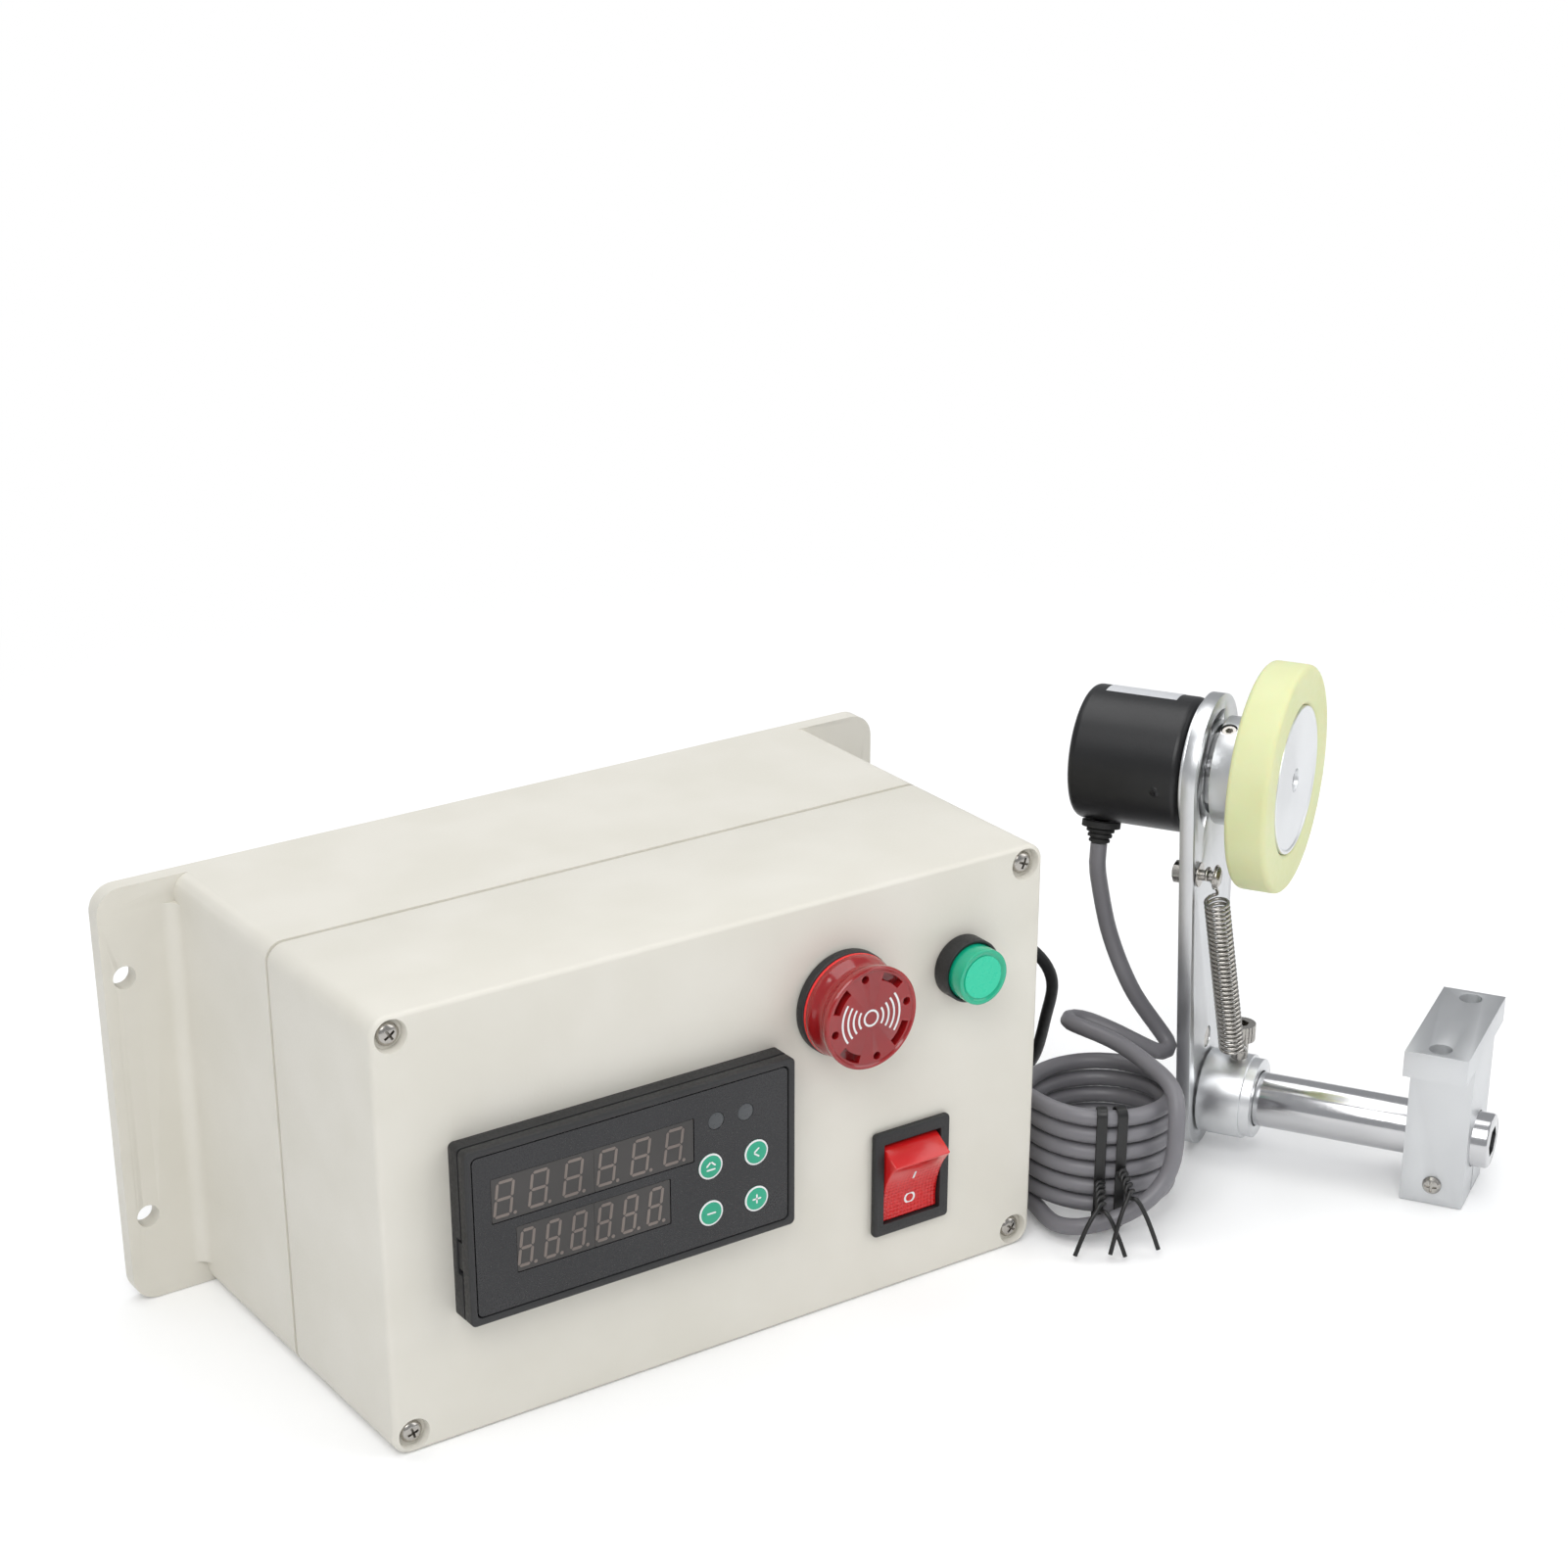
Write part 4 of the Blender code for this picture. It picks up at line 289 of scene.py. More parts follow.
def finish(
    name, dark, light, rough, metallic=0.0, scale=900.0, height=0.08, cloud=40.0, stretch=None, **sockets,
):
    """A finish with a wandering shade, a wandering gloss and a fine relief."""
    made, tree, shader = nodes_of(name)
    shader.inputs["Metallic"].default_value = metallic
    noise, source = grain(tree, shader, scale, height, stretch=stretch)
    tint(tree, source if stretch is None else tree.nodes["Texture Coordinate"].outputs["Object"],
         shader.inputs["Base Color"], dark, light, cloud)
    vary(tree, noise, shader.inputs["Roughness"], rough[0], rough[1])
    for key, value in sockets.items():
        shader.inputs[key.replace("_", " ")].default_value = value
    return made


BOX_PLASTIC = finish(
    "box plastic", (0.70, 0.675, 0.60), (0.73, 0.705, 0.635), (0.38, 0.52), scale=1400, height=0.10,
)
BLACK_PLASTIC = finish(
    "black plastic", (0.016, 0.016, 0.017), (0.022, 0.022, 0.023), (0.42, 0.58), scale=1500,
)
GLOSS_BLACK = finish(
    "gloss black", (0.010, 0.010, 0.011), (0.014, 0.014, 0.015), (0.10, 0.20), scale=300, height=0.02,
)
SHEET_BLACK = finish(
    "printed sheet", (0.013, 0.013, 0.015), (0.017, 0.017, 0.019), (0.24, 0.34), scale=2600, height=0.03,
)
SMOKED = finish(
    "smoked window", (0.036, 0.033, 0.031), (0.046, 0.042, 0.040), (0.16, 0.24), scale=500, height=0.02,
)
DIGIT_GREY = finish(
    "unlit digit", (0.16, 0.13, 0.115), (0.20, 0.165, 0.145), (0.3, 0.4), scale=800, height=0.02,
)
LED_GREY = finish(
    "unlit lamp", (0.055, 0.060, 0.064), (0.070, 0.075, 0.080), (0.25, 0.35), scale=600, height=0.03,
)
KEY_GREEN = finish(
    "key green", (0.015, 0.34, 0.20), (0.025, 0.40, 0.24), (0.35, 0.45), scale=1200, height=0.05,
)
PRINT_WHITE = finish(
    "white print", (0.78, 0.78, 0.78), (0.84, 0.84, 0.84), (0.5, 0.6), scale=2000, height=0.02,
)
BOARD_GREEN = finish("board green", (0.01, 0.12, 0.04), (0.02, 0.16, 0.05), (0.3, 0.5), scale=700)
RED_LENS = finish(
    "red lens", (0.26, 0.008, 0.010), (0.33, 0.012, 0.014), (0.10, 0.18), scale=260, height=0.02,
    Subsurface_Weight=0.35, Subsurface_Scale=0.004, Coat_Weight=0.4, Coat_Roughness=0.08,
)
RED_RING = finish("red ring", (0.78, 0.02, 0.02), (0.85, 0.03, 0.03), (0.3, 0.4), scale=600, height=0.02)
GREEN_CAP = finish(
    "green cap", (0.005, 0.42, 0.24), (0.010, 0.50, 0.30), (0.12, 0.22), scale=260, height=0.02,
    Subsurface_Weight=0.3, Subsurface_Scale=0.003, Coat_Weight=0.4, Coat_Roughness=0.1,
)
GREEN_FACE = finish(
    "green face", (0.02, 0.60, 0.36), (0.03, 0.68, 0.42), (0.25, 0.35), scale=500, height=0.03,
)
RUBBER = finish("rubber", (0.012, 0.012, 0.012), (0.020, 0.020, 0.020), (0.62, 0.75), scale=900, height=0.12)
GREY_SHEATH = finish(
    "grey sheath", (0.185, 0.180, 0.195), (0.215, 0.210, 0.225), (0.34, 0.44), scale=700, height=0.04,
)
BLACK_SHEATH = finish(
    "black sheath", (0.010, 0.010, 0.011), (0.016, 0.016, 0.017), (0.42, 0.55), scale=700, height=0.07,
)
TIE_BLACK = finish(
    "tie black", (0.010, 0.010, 0.010), (0.016, 0.016, 0.016), (0.30, 0.45), scale=900, height=0.1,
)
ENCODER_BLACK = finish(
    "encoder coat", (0.006, 0.006, 0.007), (0.009, 0.009, 0.010), (0.34, 0.42), scale=2200, height=0.10,
)
TYRE = finish(
    "tyre", (0.70, 0.73, 0.39), (0.74, 0.77, 0.44), (0.45, 0.60), scale=500, height=0.06,
    Subsurface_Weight=0.25, Subsurface_Scale=0.004,
)
BRUSHED = finish("brushed aluminium", (0.66, 0.67, 0.68), (0.70, 0.71, 0.72), (0.30, 0.36), 1.0, 420, 0.010,
                 stretch=(1.0, 1.0, 9.0))
TURNED = finish("turned aluminium", (0.78, 0.79, 0.80), (0.82, 0.83, 0.84), (0.34, 0.40), 1.0, 1600, 0.006)
SATIN = finish("satin aluminium", (0.66, 0.67, 0.68), (0.70, 0.71, 0.72), (0.40, 0.46), 1.0, 2600, 0.020)
POLISHED = finish("polished steel", (0.60, 0.60, 0.61), (0.64, 0.64, 0.65), (0.14, 0.18), 1.0, 700, 0.004)
SCREW_STEEL = finish("screw steel", (0.42, 0.40, 0.37), (0.50, 0.48, 0.45), (0.20, 0.28), 1.0, 900, 0.010)
LABEL = finish("silver label", (0.70, 0.71, 0.73), (0.76, 0.77, 0.79), (0.34, 0.42), 0.25, 1800, 0.02)


def dotted_red():
    """Clear red plastic whose lower half has rows of small raised dots."""
    made = finish(
        "rocker red", (0.60, 0.010, 0.012), (0.72, 0.016, 0.016), (0.14, 0.24), scale=400, height=0.02,
        Subsurface_Weight=0.3, Subsurface_Scale=0.003, Coat_Weight=0.3, Coat_Roughness=0.1,
    )
    tree = made.node_tree
    shader = tree.nodes["Principled BSDF"]
    place = tree.nodes["Texture Coordinate"].outputs["Object"]
    parts = tree.nodes.new("ShaderNodeSeparateXYZ")
    flat = tree.nodes.new("ShaderNodeCombineXYZ")
    tree.links.new(place, parts.inputs[0])
    tree.links.new(parts.outputs["X"], flat.inputs["X"])
    tree.links.new(parts.outputs["Z"], flat.inputs["Y"])
    dots = node(tree, "ShaderNodeTexVoronoi", Scale=DOT_ROWS)
    dots.voronoi_dimensions = "2D"
    dots.inputs["Randomness"].default_value = 0.0
    tree.links.new(flat.outputs[0], dots.inputs["Vector"])
    low = tree.nodes.new("ShaderNodeMapRange")
    low.inputs["From Min"].default_value = ROCKER_AT[1] + DOT_FADE
    low.inputs["From Max"].default_value = ROCKER_AT[1] - DOT_FADE
    tree.links.new(parts.outputs["Z"], low.inputs["Value"])
    rise = tree.nodes.new("ShaderNodeMath")
    rise.operation = "MULTIPLY"
    tree.links.new(dots.outputs["Distance"], rise.inputs[0])
    tree.links.new(low.outputs["Result"], rise.inputs[1])
    bump = node(tree, "ShaderNodeBump", Strength=DOT_STRENGTH, Distance=DOT_RISE)
    bump.invert = True
    tree.links.new(rise.outputs[0], bump.inputs["Height"])
    tree.links.new(bump.outputs["Normal"], shader.inputs["Normal"])
    return made


ROCKER_RED = dotted_red()

COATS = {
    BOX_PLASTIC: ("enclosure_base", "enclosure_cover"),
    BLACK_PLASTIC: ("meter_housing", "meter_bezel", "meter_front_frame", "meter_clip_left",
                    "meter_clip_right", "buzzer_body", "buzzer_nut", "reset_body", "reset_nut",
                    "signal_gland", "power_gland", "power_plug"),
    GLOSS_BLACK: ("switch_frame",),
    ROCKER_RED: ("rocker",),
    LED_GREY: ("alarm_led_1", "alarm_led_2"),
    SHEET_BLACK: ("meter_overlay",),
    SMOKED: ("display_upper", "display_lower"),
    BOARD_GREEN: ("power_board", "meter_board"),
    RED_LENS: ("buzzer_lens",),
    KEY_GREEN: ("key_1", "key_2", "key_3", "key_4"),
    GREEN_CAP: ("reset_cap",),
    RUBBER: ("cable_grommet",),
    BLACK_SHEATH: ("power_cord", "power_cord_coil", "power_cord_tail"),
    TIE_BLACK: ("power_cord_tie", "cable_tie_1", "cable_tie_2"),
    GREY_SHEATH: ("encoder_cable_lead", "encoder_cable_coil", "encoder_cable_tail"),
    BRUSHED: ("swing_arm",),
    SATIN: ("mount_block", "wheel_hub"),
    TURNED: ("spring_collar", "encoder_flange"),
    POLISHED: ("support_shaft", "encoder_shaft"),
    SCREW_STEEL: ("arm_bush", "block_clamp_screw", "collar_screw", "arm_lock_screw", "spring_post",
                  "extension_spring", "hub_grub_screw", "cover_screw_1", "cover_screw_2", "cover_screw_3",
                  "cover_screw_4"),
    ENCODER_BLACK: ("encoder_housing",),
    TYRE: ("wheel_tyre",),
}


def coat_nodes():
    for coat, names in COATS.items():
        for name in names:
            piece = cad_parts[name]
            piece.data.materials.clear()
            piece.data.materials.append(coat)


coat_nodes()

SLOT_OF = {
    BOX_PLASTIC: "box_plastic", BLACK_PLASTIC: "black_plastic", GLOSS_BLACK: "gloss_black",
    SHEET_BLACK: "black_plastic", SMOKED: "display_window", DIGIT_GREY: "display_window",
    KEY_GREEN: "green_keys", PRINT_WHITE: "box_plastic", BOARD_GREEN: "circuit_board", RED_LENS: "red_lens",
    RED_RING: "red_lens", ROCKER_RED: "red_lens", LED_GREY: "display_window", GREEN_CAP: "green_cap",
    GREEN_FACE: "green_cap", RUBBER: "tie_rubber",
    GREY_SHEATH: "grey_sheath", BLACK_SHEATH: "black_sheath", TIE_BLACK: "tie_rubber",
    ENCODER_BLACK: "encoder_black", TYRE: "tyre_polyurethane", BRUSHED: "satin_aluminium",
    TURNED: "satin_aluminium", SATIN: "satin_aluminium", POLISHED: "polished_steel",
    SCREW_STEEL: "screw_steel", LABEL: "satin_aluminium",
}


# Cords, whose routes repeat the solids'

CABLE_LEAD_ROUTE = (
    (0.1511, -0.0195, 0.0849), (0.1563, -0.0193, 0.0665), (0.1612, -0.0245, 0.0497),
    (0.1675, -0.0295, 0.0378),
    (0.1690, -0.0352, 0.0322), (0.1640, -0.0356, 0.0322), (0.1605, -0.0330, 0.0345),
    (0.1570, -0.0305, 0.0368),
)
CABLE_LOOP_ROUTE = (
    (0.1535, -0.0280, 0.0391), (0.1505, -0.0240, 0.0407), (0.1474, -0.0196, 0.0420),
    (0.1434, -0.0178, 0.0428), (0.1404, -0.0204, 0.0433), (0.1408, -0.0270, 0.0436),
    (0.1435, -0.0390, 0.0430),
    (0.1425, -0.0540, 0.0425), (0.1400, -0.0690, 0.0408), (0.1375, -0.0738, 0.0320),
    (0.1350, -0.0750, 0.0195),
    (0.1265, -0.0742, 0.0110), (0.1145, -0.0690, 0.0060), (0.1072, -0.0600, 0.0040),
)
POWER_LEAD_ROUTE = (
    (0.1155, 0.0100, 0.0622), (0.1300, 0.0085, 0.0635), (0.1440, 0.0030, 0.0575), (0.1515, 0.0000, 0.0465),
    (0.1545, 0.0060, 0.0300), (0.1570, 0.0130, 0.0150), (0.1567, 0.0185, 0.0065),
)
POWER_TAIL_ROUTE = ((0.1535, 0.0450, 0.0140), (0.1560, 0.0560, 0.0115), (0.1585, 0.0650, 0.0095))
PLUG_PLACE = Vector((0.138, 0.070, 0.0085))
ROUTE_STEPS = 24
TAIL_SHARE = 0.65
LOOP_POINTS = 24
COIL_AT = (0.132, -0.0455)
COIL_RADIUS = 0.0215
COIL_TURNS = 6
COIL_PITCH = 0.00535
COIL_LIFT = 0.0014
POWER_COIL_AT = (0.1275, 0.0225)
POWER_COIL_OUTER = 0.0237
POWER_COIL_STEP = 0.0042
POWER_COIL_TURNS = 2
POWER_COIL_LAYERS = 4
POWER_COIL_START = 100.0
POWER_COIL_EXTRA = 18


def smooth_route(places, step):
    """Evenly spaced points on a smooth curve through the places."""
    ends = [2 * Vector(places[0]) - Vector(places[1]), 2 * Vector(places[-1]) - Vector(places[-2])]
    p = [ends[0], *(Vector(place) for place in places), ends[1]]
    dense = []
    for a, b, c, d in zip(p, p[1:], p[2:], p[3:]):
        for i in range(ROUTE_STEPS):
            t = i / ROUTE_STEPS
            dense.append(0.5 * (2 * b + (c - a) * t + (2 * a - 5 * b + 4 * c - d) * t**2
                                + (3 * b - a - 3 * c + d) * t**3))
    dense.append(Vector(places[-1]))
    kept = [dense[0]]
    for point in dense[1:-1]:
        if (point - kept[-1]).length >= step:
            kept.append(point)
    if (dense[-1] - kept[-1]).length < step / 2:
        kept.pop()
    return kept + [dense[-1]]


def turn_of(x, y, radius, angle, height):
    return Vector((x + radius * math.cos(angle), y + radius * math.sin(angle), height))


def encoder_cable_points():
    mouth = at(UPRIGHT_WHEEL, z=GROMMET_PLACE) @ (GROMMET_WAY * GROMMET_REACH)
    straight = at(UPRIGHT_WHEEL, z=GROMMET_PLACE) @ (GROMMET_WAY * (GROMMET_REACH + CABLE))
    low = COIL_LIFT + CABLE / 2
    meet = Vector((COIL_AT[0] - COIL_RADIUS, COIL_AT[1], low))
    before = [mouth, straight, *CABLE_LEAD_ROUTE, *CABLE_LOOP_ROUTE, meet]
    route = smooth_route(before, CABLE)[:-1]
    for i in range(COIL_TURNS * LOOP_POINTS + 1):
        angle = math.pi - 2 * math.pi * i / LOOP_POINTS
        route.append(turn_of(*COIL_AT, COIL_RADIUS, angle, low + COIL_PITCH * i / LOOP_POINTS))
    entry = Vector((BOX[0] / 2 + GLAND_REACH, SIGNAL_AT[0], SIGNAL_AT[1]))
    run_out = route[-1] + Vector((0.0, CABLE, 0.0))
    start_run = run_out + Vector((0.0, CABLE, 0.0))
    middle = Vector((
        (run_out.x + entry.x) / 2 + CABLE, run_out.y * (1.0 - TAIL_SHARE) + entry.y * TAIL_SHARE,
        (run_out.z + entry.z) / 2,
    ))
    tail = smooth_route([run_out, start_run, middle, entry + Vector((CABLE, 0.0, 0.0)), entry], CABLE)
    return route + tail


def power_coil_points():
    """Turns piled in layers: a quarter turn in, then in, out, in and out, then most of a turn out."""
    turns_wound = POWER_COIL_TURNS * POWER_COIL_LAYERS
    points = []
    for i in range(-LOOP_POINTS // 4, turns_wound * LOOP_POINTS + POWER_COIL_EXTRA + 1):
        turns = i / LOOP_POINTS
        layer = turns / POWER_COIL_TURNS
        wave = abs((layer + 1) % 2 - 1)
        radius = POWER_COIL_OUTER - POWER_COIL_STEP * POWER_COIL_TURNS * wave
        if turns < 0:
            radius = POWER_COIL_OUTER + POWER_COIL_STEP * (4 * turns) ** 2
        elif layer > POWER_COIL_LAYERS:
            radius = POWER_COIL_OUTER + POWER_COIL_STEP * (turns - turns_wound)
        nearest = min(max(round(layer), 0), POWER_COIL_LAYERS)
        share = max(-1.0, min(1.0, (layer - nearest) * POWER_COIL_TURNS * 4))
        level = nearest - 0.5 + 0.5 * share
        if nearest in (0, POWER_COIL_LAYERS):
            level = max(0.0, nearest - 1.0)
        angle = math.radians(POWER_COIL_START) + 2 * math.pi * turns
        height = COIL_LIFT + POWER_CABLE / 2 + POWER_COIL_STEP * level
        points.append(turn_of(*POWER_COIL_AT, radius, angle, height))
    return points


def power_cord_points():
    coil = power_coil_points()
    back = (coil[0] - coil[1]).normalized()
    ahead = (coil[-1] - coil[-2]).normalized()
    entry = Vector((BOX[0] / 2 + GLAND_REACH, POWER_AT[0], POWER_AT[1]))
    lead = [entry, *POWER_LEAD_ROUTE, coil[0] + back * 2 * POWER_CABLE, coil[0] + back * POWER_CABLE]
    plug_end = PLUG_PLACE + Vector((PLUG_MOUTH, 0.0, 0.0))
    plug_run = plug_end + Vector((POWER_CABLE, 0.0, 0.0))
    tail = [
        coil[-1] + ahead * POWER_CABLE, coil[-1] + ahead * 2 * POWER_CABLE, *POWER_TAIL_ROUTE, plug_run,
        plug_end,
    ]
    return smooth_route(lead, POWER_CABLE) + coil + smooth_route(tail, POWER_CABLE)


def length_of(points):
    return sum((b - a).length for a, b in zip(points, points[1:]))


def wire(name, points, thick, coat, smooth=2, sides=3):
    """A round strand along a smooth curve through the points."""
    line = bpy.data.curves.new(name, "CURVE")
    line.dimensions = "3D"
    line.bevel_depth = thick / 2
    line.bevel_resolution = sides
    line.use_fill_caps = True
    line.resolution_u = smooth
    spline = line.splines.new("NURBS")
    spline.points.add(len(points) - 1)
    for knot, place in zip(spline.points, points):
        knot.co = (*place, 1.0)
    spline.order_u = 4
    spline.use_endpoint_u = True
    made = bpy.data.objects.new(name, line)
    bpy.context.scene.collection.objects.link(made)
    line.materials.append(coat)
    return made


def as_mesh(piece):
    bpy.ops.object.select_all(action="DESELECT")
    piece.select_set(True)
    bpy.context.view_layer.objects.active = piece
    bpy.ops.object.convert(target="MESH")
    bpy.ops.object.shade_smooth()
    return bpy.context.active_object


def encoder_cable():
    """One run from the encoder to the box, whose first part follows the arm."""
    route = encoder_cable_points()
    cable = as_mesh(wire("encoder_cable", route, CABLE, GREY_SHEATH, 2, 6))
    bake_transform(cable)
    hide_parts("encoder_cable_lead", "encoder_cable_coil", "encoder_cable_tail")
    print(f"encoder cable {length_of(route):.3f} m")


def power_cord():
    route = power_cord_points()
    cord = wire("power_cord_run", route, POWER_CABLE, BLACK_SHEATH, 2, 5)
    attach(cord, "stand")
    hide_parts("power_cord", "power_cord_coil", "power_cord_tail")
    print(f"power cord {length_of(route):.3f} m")


# Shapes

ROUND_STEPS = 96
WHEEL_STEPS = 128
BORE_STEPS = 64
SMALL_STEPS = 48
HOLE_STEPS = 40
PIN_STEPS = 32
DRILL_STEPS = 24
DOT_STEPS = 16
FINE_EDGE = 0.00025
SMOOTH_ANGLE = math.radians(32.0)


def pick(piece):
    bpy.ops.object.select_all(action="DESELECT")
    piece.select_set(True)
    bpy.context.view_layer.objects.active = piece


def outline(name, corners, fill="NOTHING"):
    """A closed outline, started from a circle whose corners are put in place."""
    bpy.ops.object.select_all(action="DESELECT")
    bpy.ops.mesh.primitive_circle_add(vertices=len(corners), radius=1.0, fill_type=fill)
    piece = bpy.context.active_object
    piece.name = name
    for corner, place in zip(piece.data.vertices, corners):
        corner.co = place
    return piece


def bevelled(piece, edge, steps, limit=30.0):
    """Rounds the edges that are sharper than the limit."""
    pick(piece)
    bevel = piece.modifiers.new("edge", "BEVEL")
    bevel.width = edge
    bevel.segments = steps
    bevel.limit_method = "ANGLE"
    bevel.angle_limit = math.radians(limit)
    bpy.ops.object.modifier_apply(modifier="edge")


def soften(piece, edge, steps=2, limit=30.0):
    """Rounds the sharp edges and shades the rest smooth."""
    if edge:
        bevelled(piece, edge, steps, limit)
    pick(piece)
    bpy.ops.object.shade_smooth_by_angle(angle=SMOOTH_ANGLE)
    return piece


def face_outward():
    """Turns the edited mesh's faces outward and leaves edit mode."""
    bpy.ops.mesh.select_all(action="SELECT")
    bpy.ops.mesh.normals_make_consistent(inside=False)
    bpy.ops.object.mode_set(mode="OBJECT")


def spun(name, profile, steps=ROUND_STEPS):
    """A turned body: the profile's radius and height, spun once round."""
    piece = outline(name, [(radius, 0.0, height) for radius, height in profile])
    bpy.ops.object.mode_set(mode="EDIT")
    bpy.ops.mesh.select_all(action="SELECT")
    bpy.ops.mesh.spin(steps=steps, angle=2 * math.pi, center=(0.0, 0.0, 0.0), axis=(0.0, 0.0, 1.0))
    bpy.ops.mesh.select_all(action="SELECT")
    bpy.ops.mesh.remove_doubles(threshold=1e-6)
    bpy.ops.mesh.delete_loose()
    face_outward()
    return piece


def slab(name, corners, thick):
    """A flat outline with thickness, from its underside up."""
    piece = outline(name, [(x, y, 0.0) for x, y in corners], "NGON")
    bpy.ops.object.mode_set(mode="EDIT")
    bpy.ops.mesh.select_all(action="SELECT")
    bpy.ops.mesh.extrude_region_move(TRANSFORM_OT_translate={"value": (0.0, 0.0, thick)})
    face_outward()
    return piece


def arc(radius, first, last, steps, x=0.0, y=0.0):
    turns = [math.radians(first + (last - first) * i / steps) for i in range(steps + 1)]
    return [(x + radius * math.cos(t), y + radius * math.sin(t)) for t in turns]


def ring(radius, steps=SMALL_STEPS, x=0.0, y=0.0):
    return arc(radius, 0.0, 360.0, steps, x, y)[:-1]


def rounded(width, height, corner, x=0.0, y=0.0, steps=6):
    """A rectangle with round corners."""
    a, b = width / 2 - corner, height / 2 - corner
    corners = []
    for number, (sx, sy) in enumerate(((1, 1), (-1, 1), (-1, -1), (1, -1))):
        corners += arc(corner, 90.0 * number, 90.0 * number + 90.0, steps, x + sx * a, y + sy * b)
    return corners


def hexagon(flats, turn=0.0):
    return [(x, y) for x, y in arc(flats / math.sqrt(3.0), turn, turn + 300.0, 5)]


def boolean(piece, tool, mode):
    pick(piece)
    work = piece.modifiers.new("work", "BOOLEAN")
    work.operation = mode
    work.solver = "EXACT"
    work.object = tool
    bpy.ops.object.modifier_apply(modifier="work")
    bpy.data.objects.remove(tool)
    return piece


def cut(piece, tool):
    return boolean(piece, tool, "DIFFERENCE")


def moved(piece, base):
    """Puts the piece's mesh where its frame says, with the object left at the origin."""
    piece.data.transform(base)
    piece.data.update()
    return piece


def lifted(piece, height):
    return moved(piece, Matrix.Translation((0.0, 0.0, height)))


def fitted(piece, coat, body, *instead, slot=None):
    """Gives the piece its finish, its body and the solids that it stands for."""
    slot = slot or SLOT_OF[coat]
    piece.data.materials.clear()
    piece.data.materials.append(coat)
    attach(piece, body)
    if instead:
        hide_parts(*instead)
    return piece


# Measuring wheel, encoder and arm

TYRE_RADIUS = 0.03183
TYRE_FRONT = -0.0484
TYRE_BACK = -0.0600
TYRE_EDGE = 0.0016
DISC_RADIUS = 0.0207
DISC_LIP = 0.0004
HUB_RADIUS = 0.0152
HUB_REAR = -0.0693
HUB_BORE = 0.0033
SPINDLE_RADIUS = 0.003
SPINDLE_END = -0.0500
ENCODER_RADIUS = 0.019
ENCODER_REAR = -0.1093
ENCODER_FRONT = -0.0770
ENCODER_EDGE = 0.0022
FLANGE_FRONT = -0.0757
BOSS_RADIUS = 0.010
BOSS_FRONT = -0.0724
GAP = 0.0003
GRUB_PLACE = -0.067
GRUB_TURN = 22.0
GRUB_TAP = 0.0023


def measuring_wheel():
    inner = DISC_RADIUS + GAP / 2
    tyre = spun("tyre_round", [
        (inner, TYRE_FRONT), (TYRE_RADIUS, TYRE_FRONT), (TYRE_RADIUS, TYRE_BACK), (inner, TYRE_BACK),
    ], WHEEL_STEPS)
    soften(tyre, TYRE_EDGE, 5)
    fitted(moved(tyre, WHEEL), TYRE, "wheel", "wheel_tyre")
    lip = DISC_RADIUS - 3 * DISC_LIP
    hub = spun("hub_round", [
        (HUB_BORE, TYRE_FRONT - DISC_LIP), (lip, TYRE_FRONT - DISC_LIP), (lip + DISC_LIP, TYRE_FRONT),
        (DISC_RADIUS, TYRE_FRONT), (DISC_RADIUS, TYRE_BACK), (HUB_RADIUS, TYRE_BACK), (HUB_RADIUS, HUB_REAR),
        (HUB_BORE, HUB_REAR),
    ], WHEEL_STEPS)
    tap = spun(
        "tap", [(0.0, 0.0), (GRUB_TAP, 0.0), (GRUB_TAP, 2 * HUB_RADIUS), (0.0, 2 * HUB_RADIUS)],
        SMALL_STEPS,
    )
    grub_way = Matrix.Rotation(math.radians(90.0 + GRUB_TURN), 4, "Z") @ Matrix.Rotation(math.pi / 2, 4, "Y")
    grub_base = at(UPRIGHT_WHEEL, z=GRUB_PLACE) @ grub_way
    fitted(cut(soften(moved(hub, WHEEL), FINE_EDGE), moved(tap, grub_base)), TURNED, "wheel", "wheel_hub")


def encoder():
    housing = spun("encoder_can", [
        (0.0, ENCODER_FRONT), (ENCODER_RADIUS, ENCODER_FRONT), (ENCODER_RADIUS, ENCODER_REAR),
        (0.0, ENCODER_REAR),
    ], WHEEL_STEPS)
    soften(housing, 0.0)
    bevelled(housing, ENCODER_EDGE, 6)
    fitted(soften(moved(housing, WHEEL), 0.0), ENCODER_BLACK, "arm", "encoder_housing")
    flange = spun("flange_round", [
        (SPINDLE_RADIUS + GAP, BOSS_FRONT), (BOSS_RADIUS, BOSS_FRONT), (BOSS_RADIUS, FLANGE_FRONT),
        (ENCODER_RADIUS, FLANGE_FRONT), (ENCODER_RADIUS, ENCODER_FRONT + GAP),
        (SPINDLE_RADIUS + GAP, ENCODER_FRONT + GAP),
    ], WHEEL_STEPS)
    fitted(moved(soften(flange, FINE_EDGE), WHEEL), TURNED, "arm", "encoder_flange")
    spindle = spun("spindle_round", [
        (0.0, SPINDLE_END), (SPINDLE_RADIUS, SPINDLE_END), (SPINDLE_RADIUS, BOSS_FRONT - BOSS_RADIUS),
        (0.0, BOSS_FRONT - BOSS_RADIUS),
    ], SMALL_STEPS)
    fitted(moved(soften(spindle, FINE_EDGE), WHEEL), POLISHED, "wheel", "encoder_shaft")


GROMMET_SEAT = ENCODER_RADIUS + GAP
GROMMET_FLANGE = 0.0055
GROMMET_FLANGE_THICK = 0.0018
GROMMET_NECK = 0.0040
GROMMET_LENGTH = 0.0062
GROMMET_RIBS = 3
GROMMET_RIB = 0.0005
RIB_SHARES = (0.15, 0.35, 0.85)


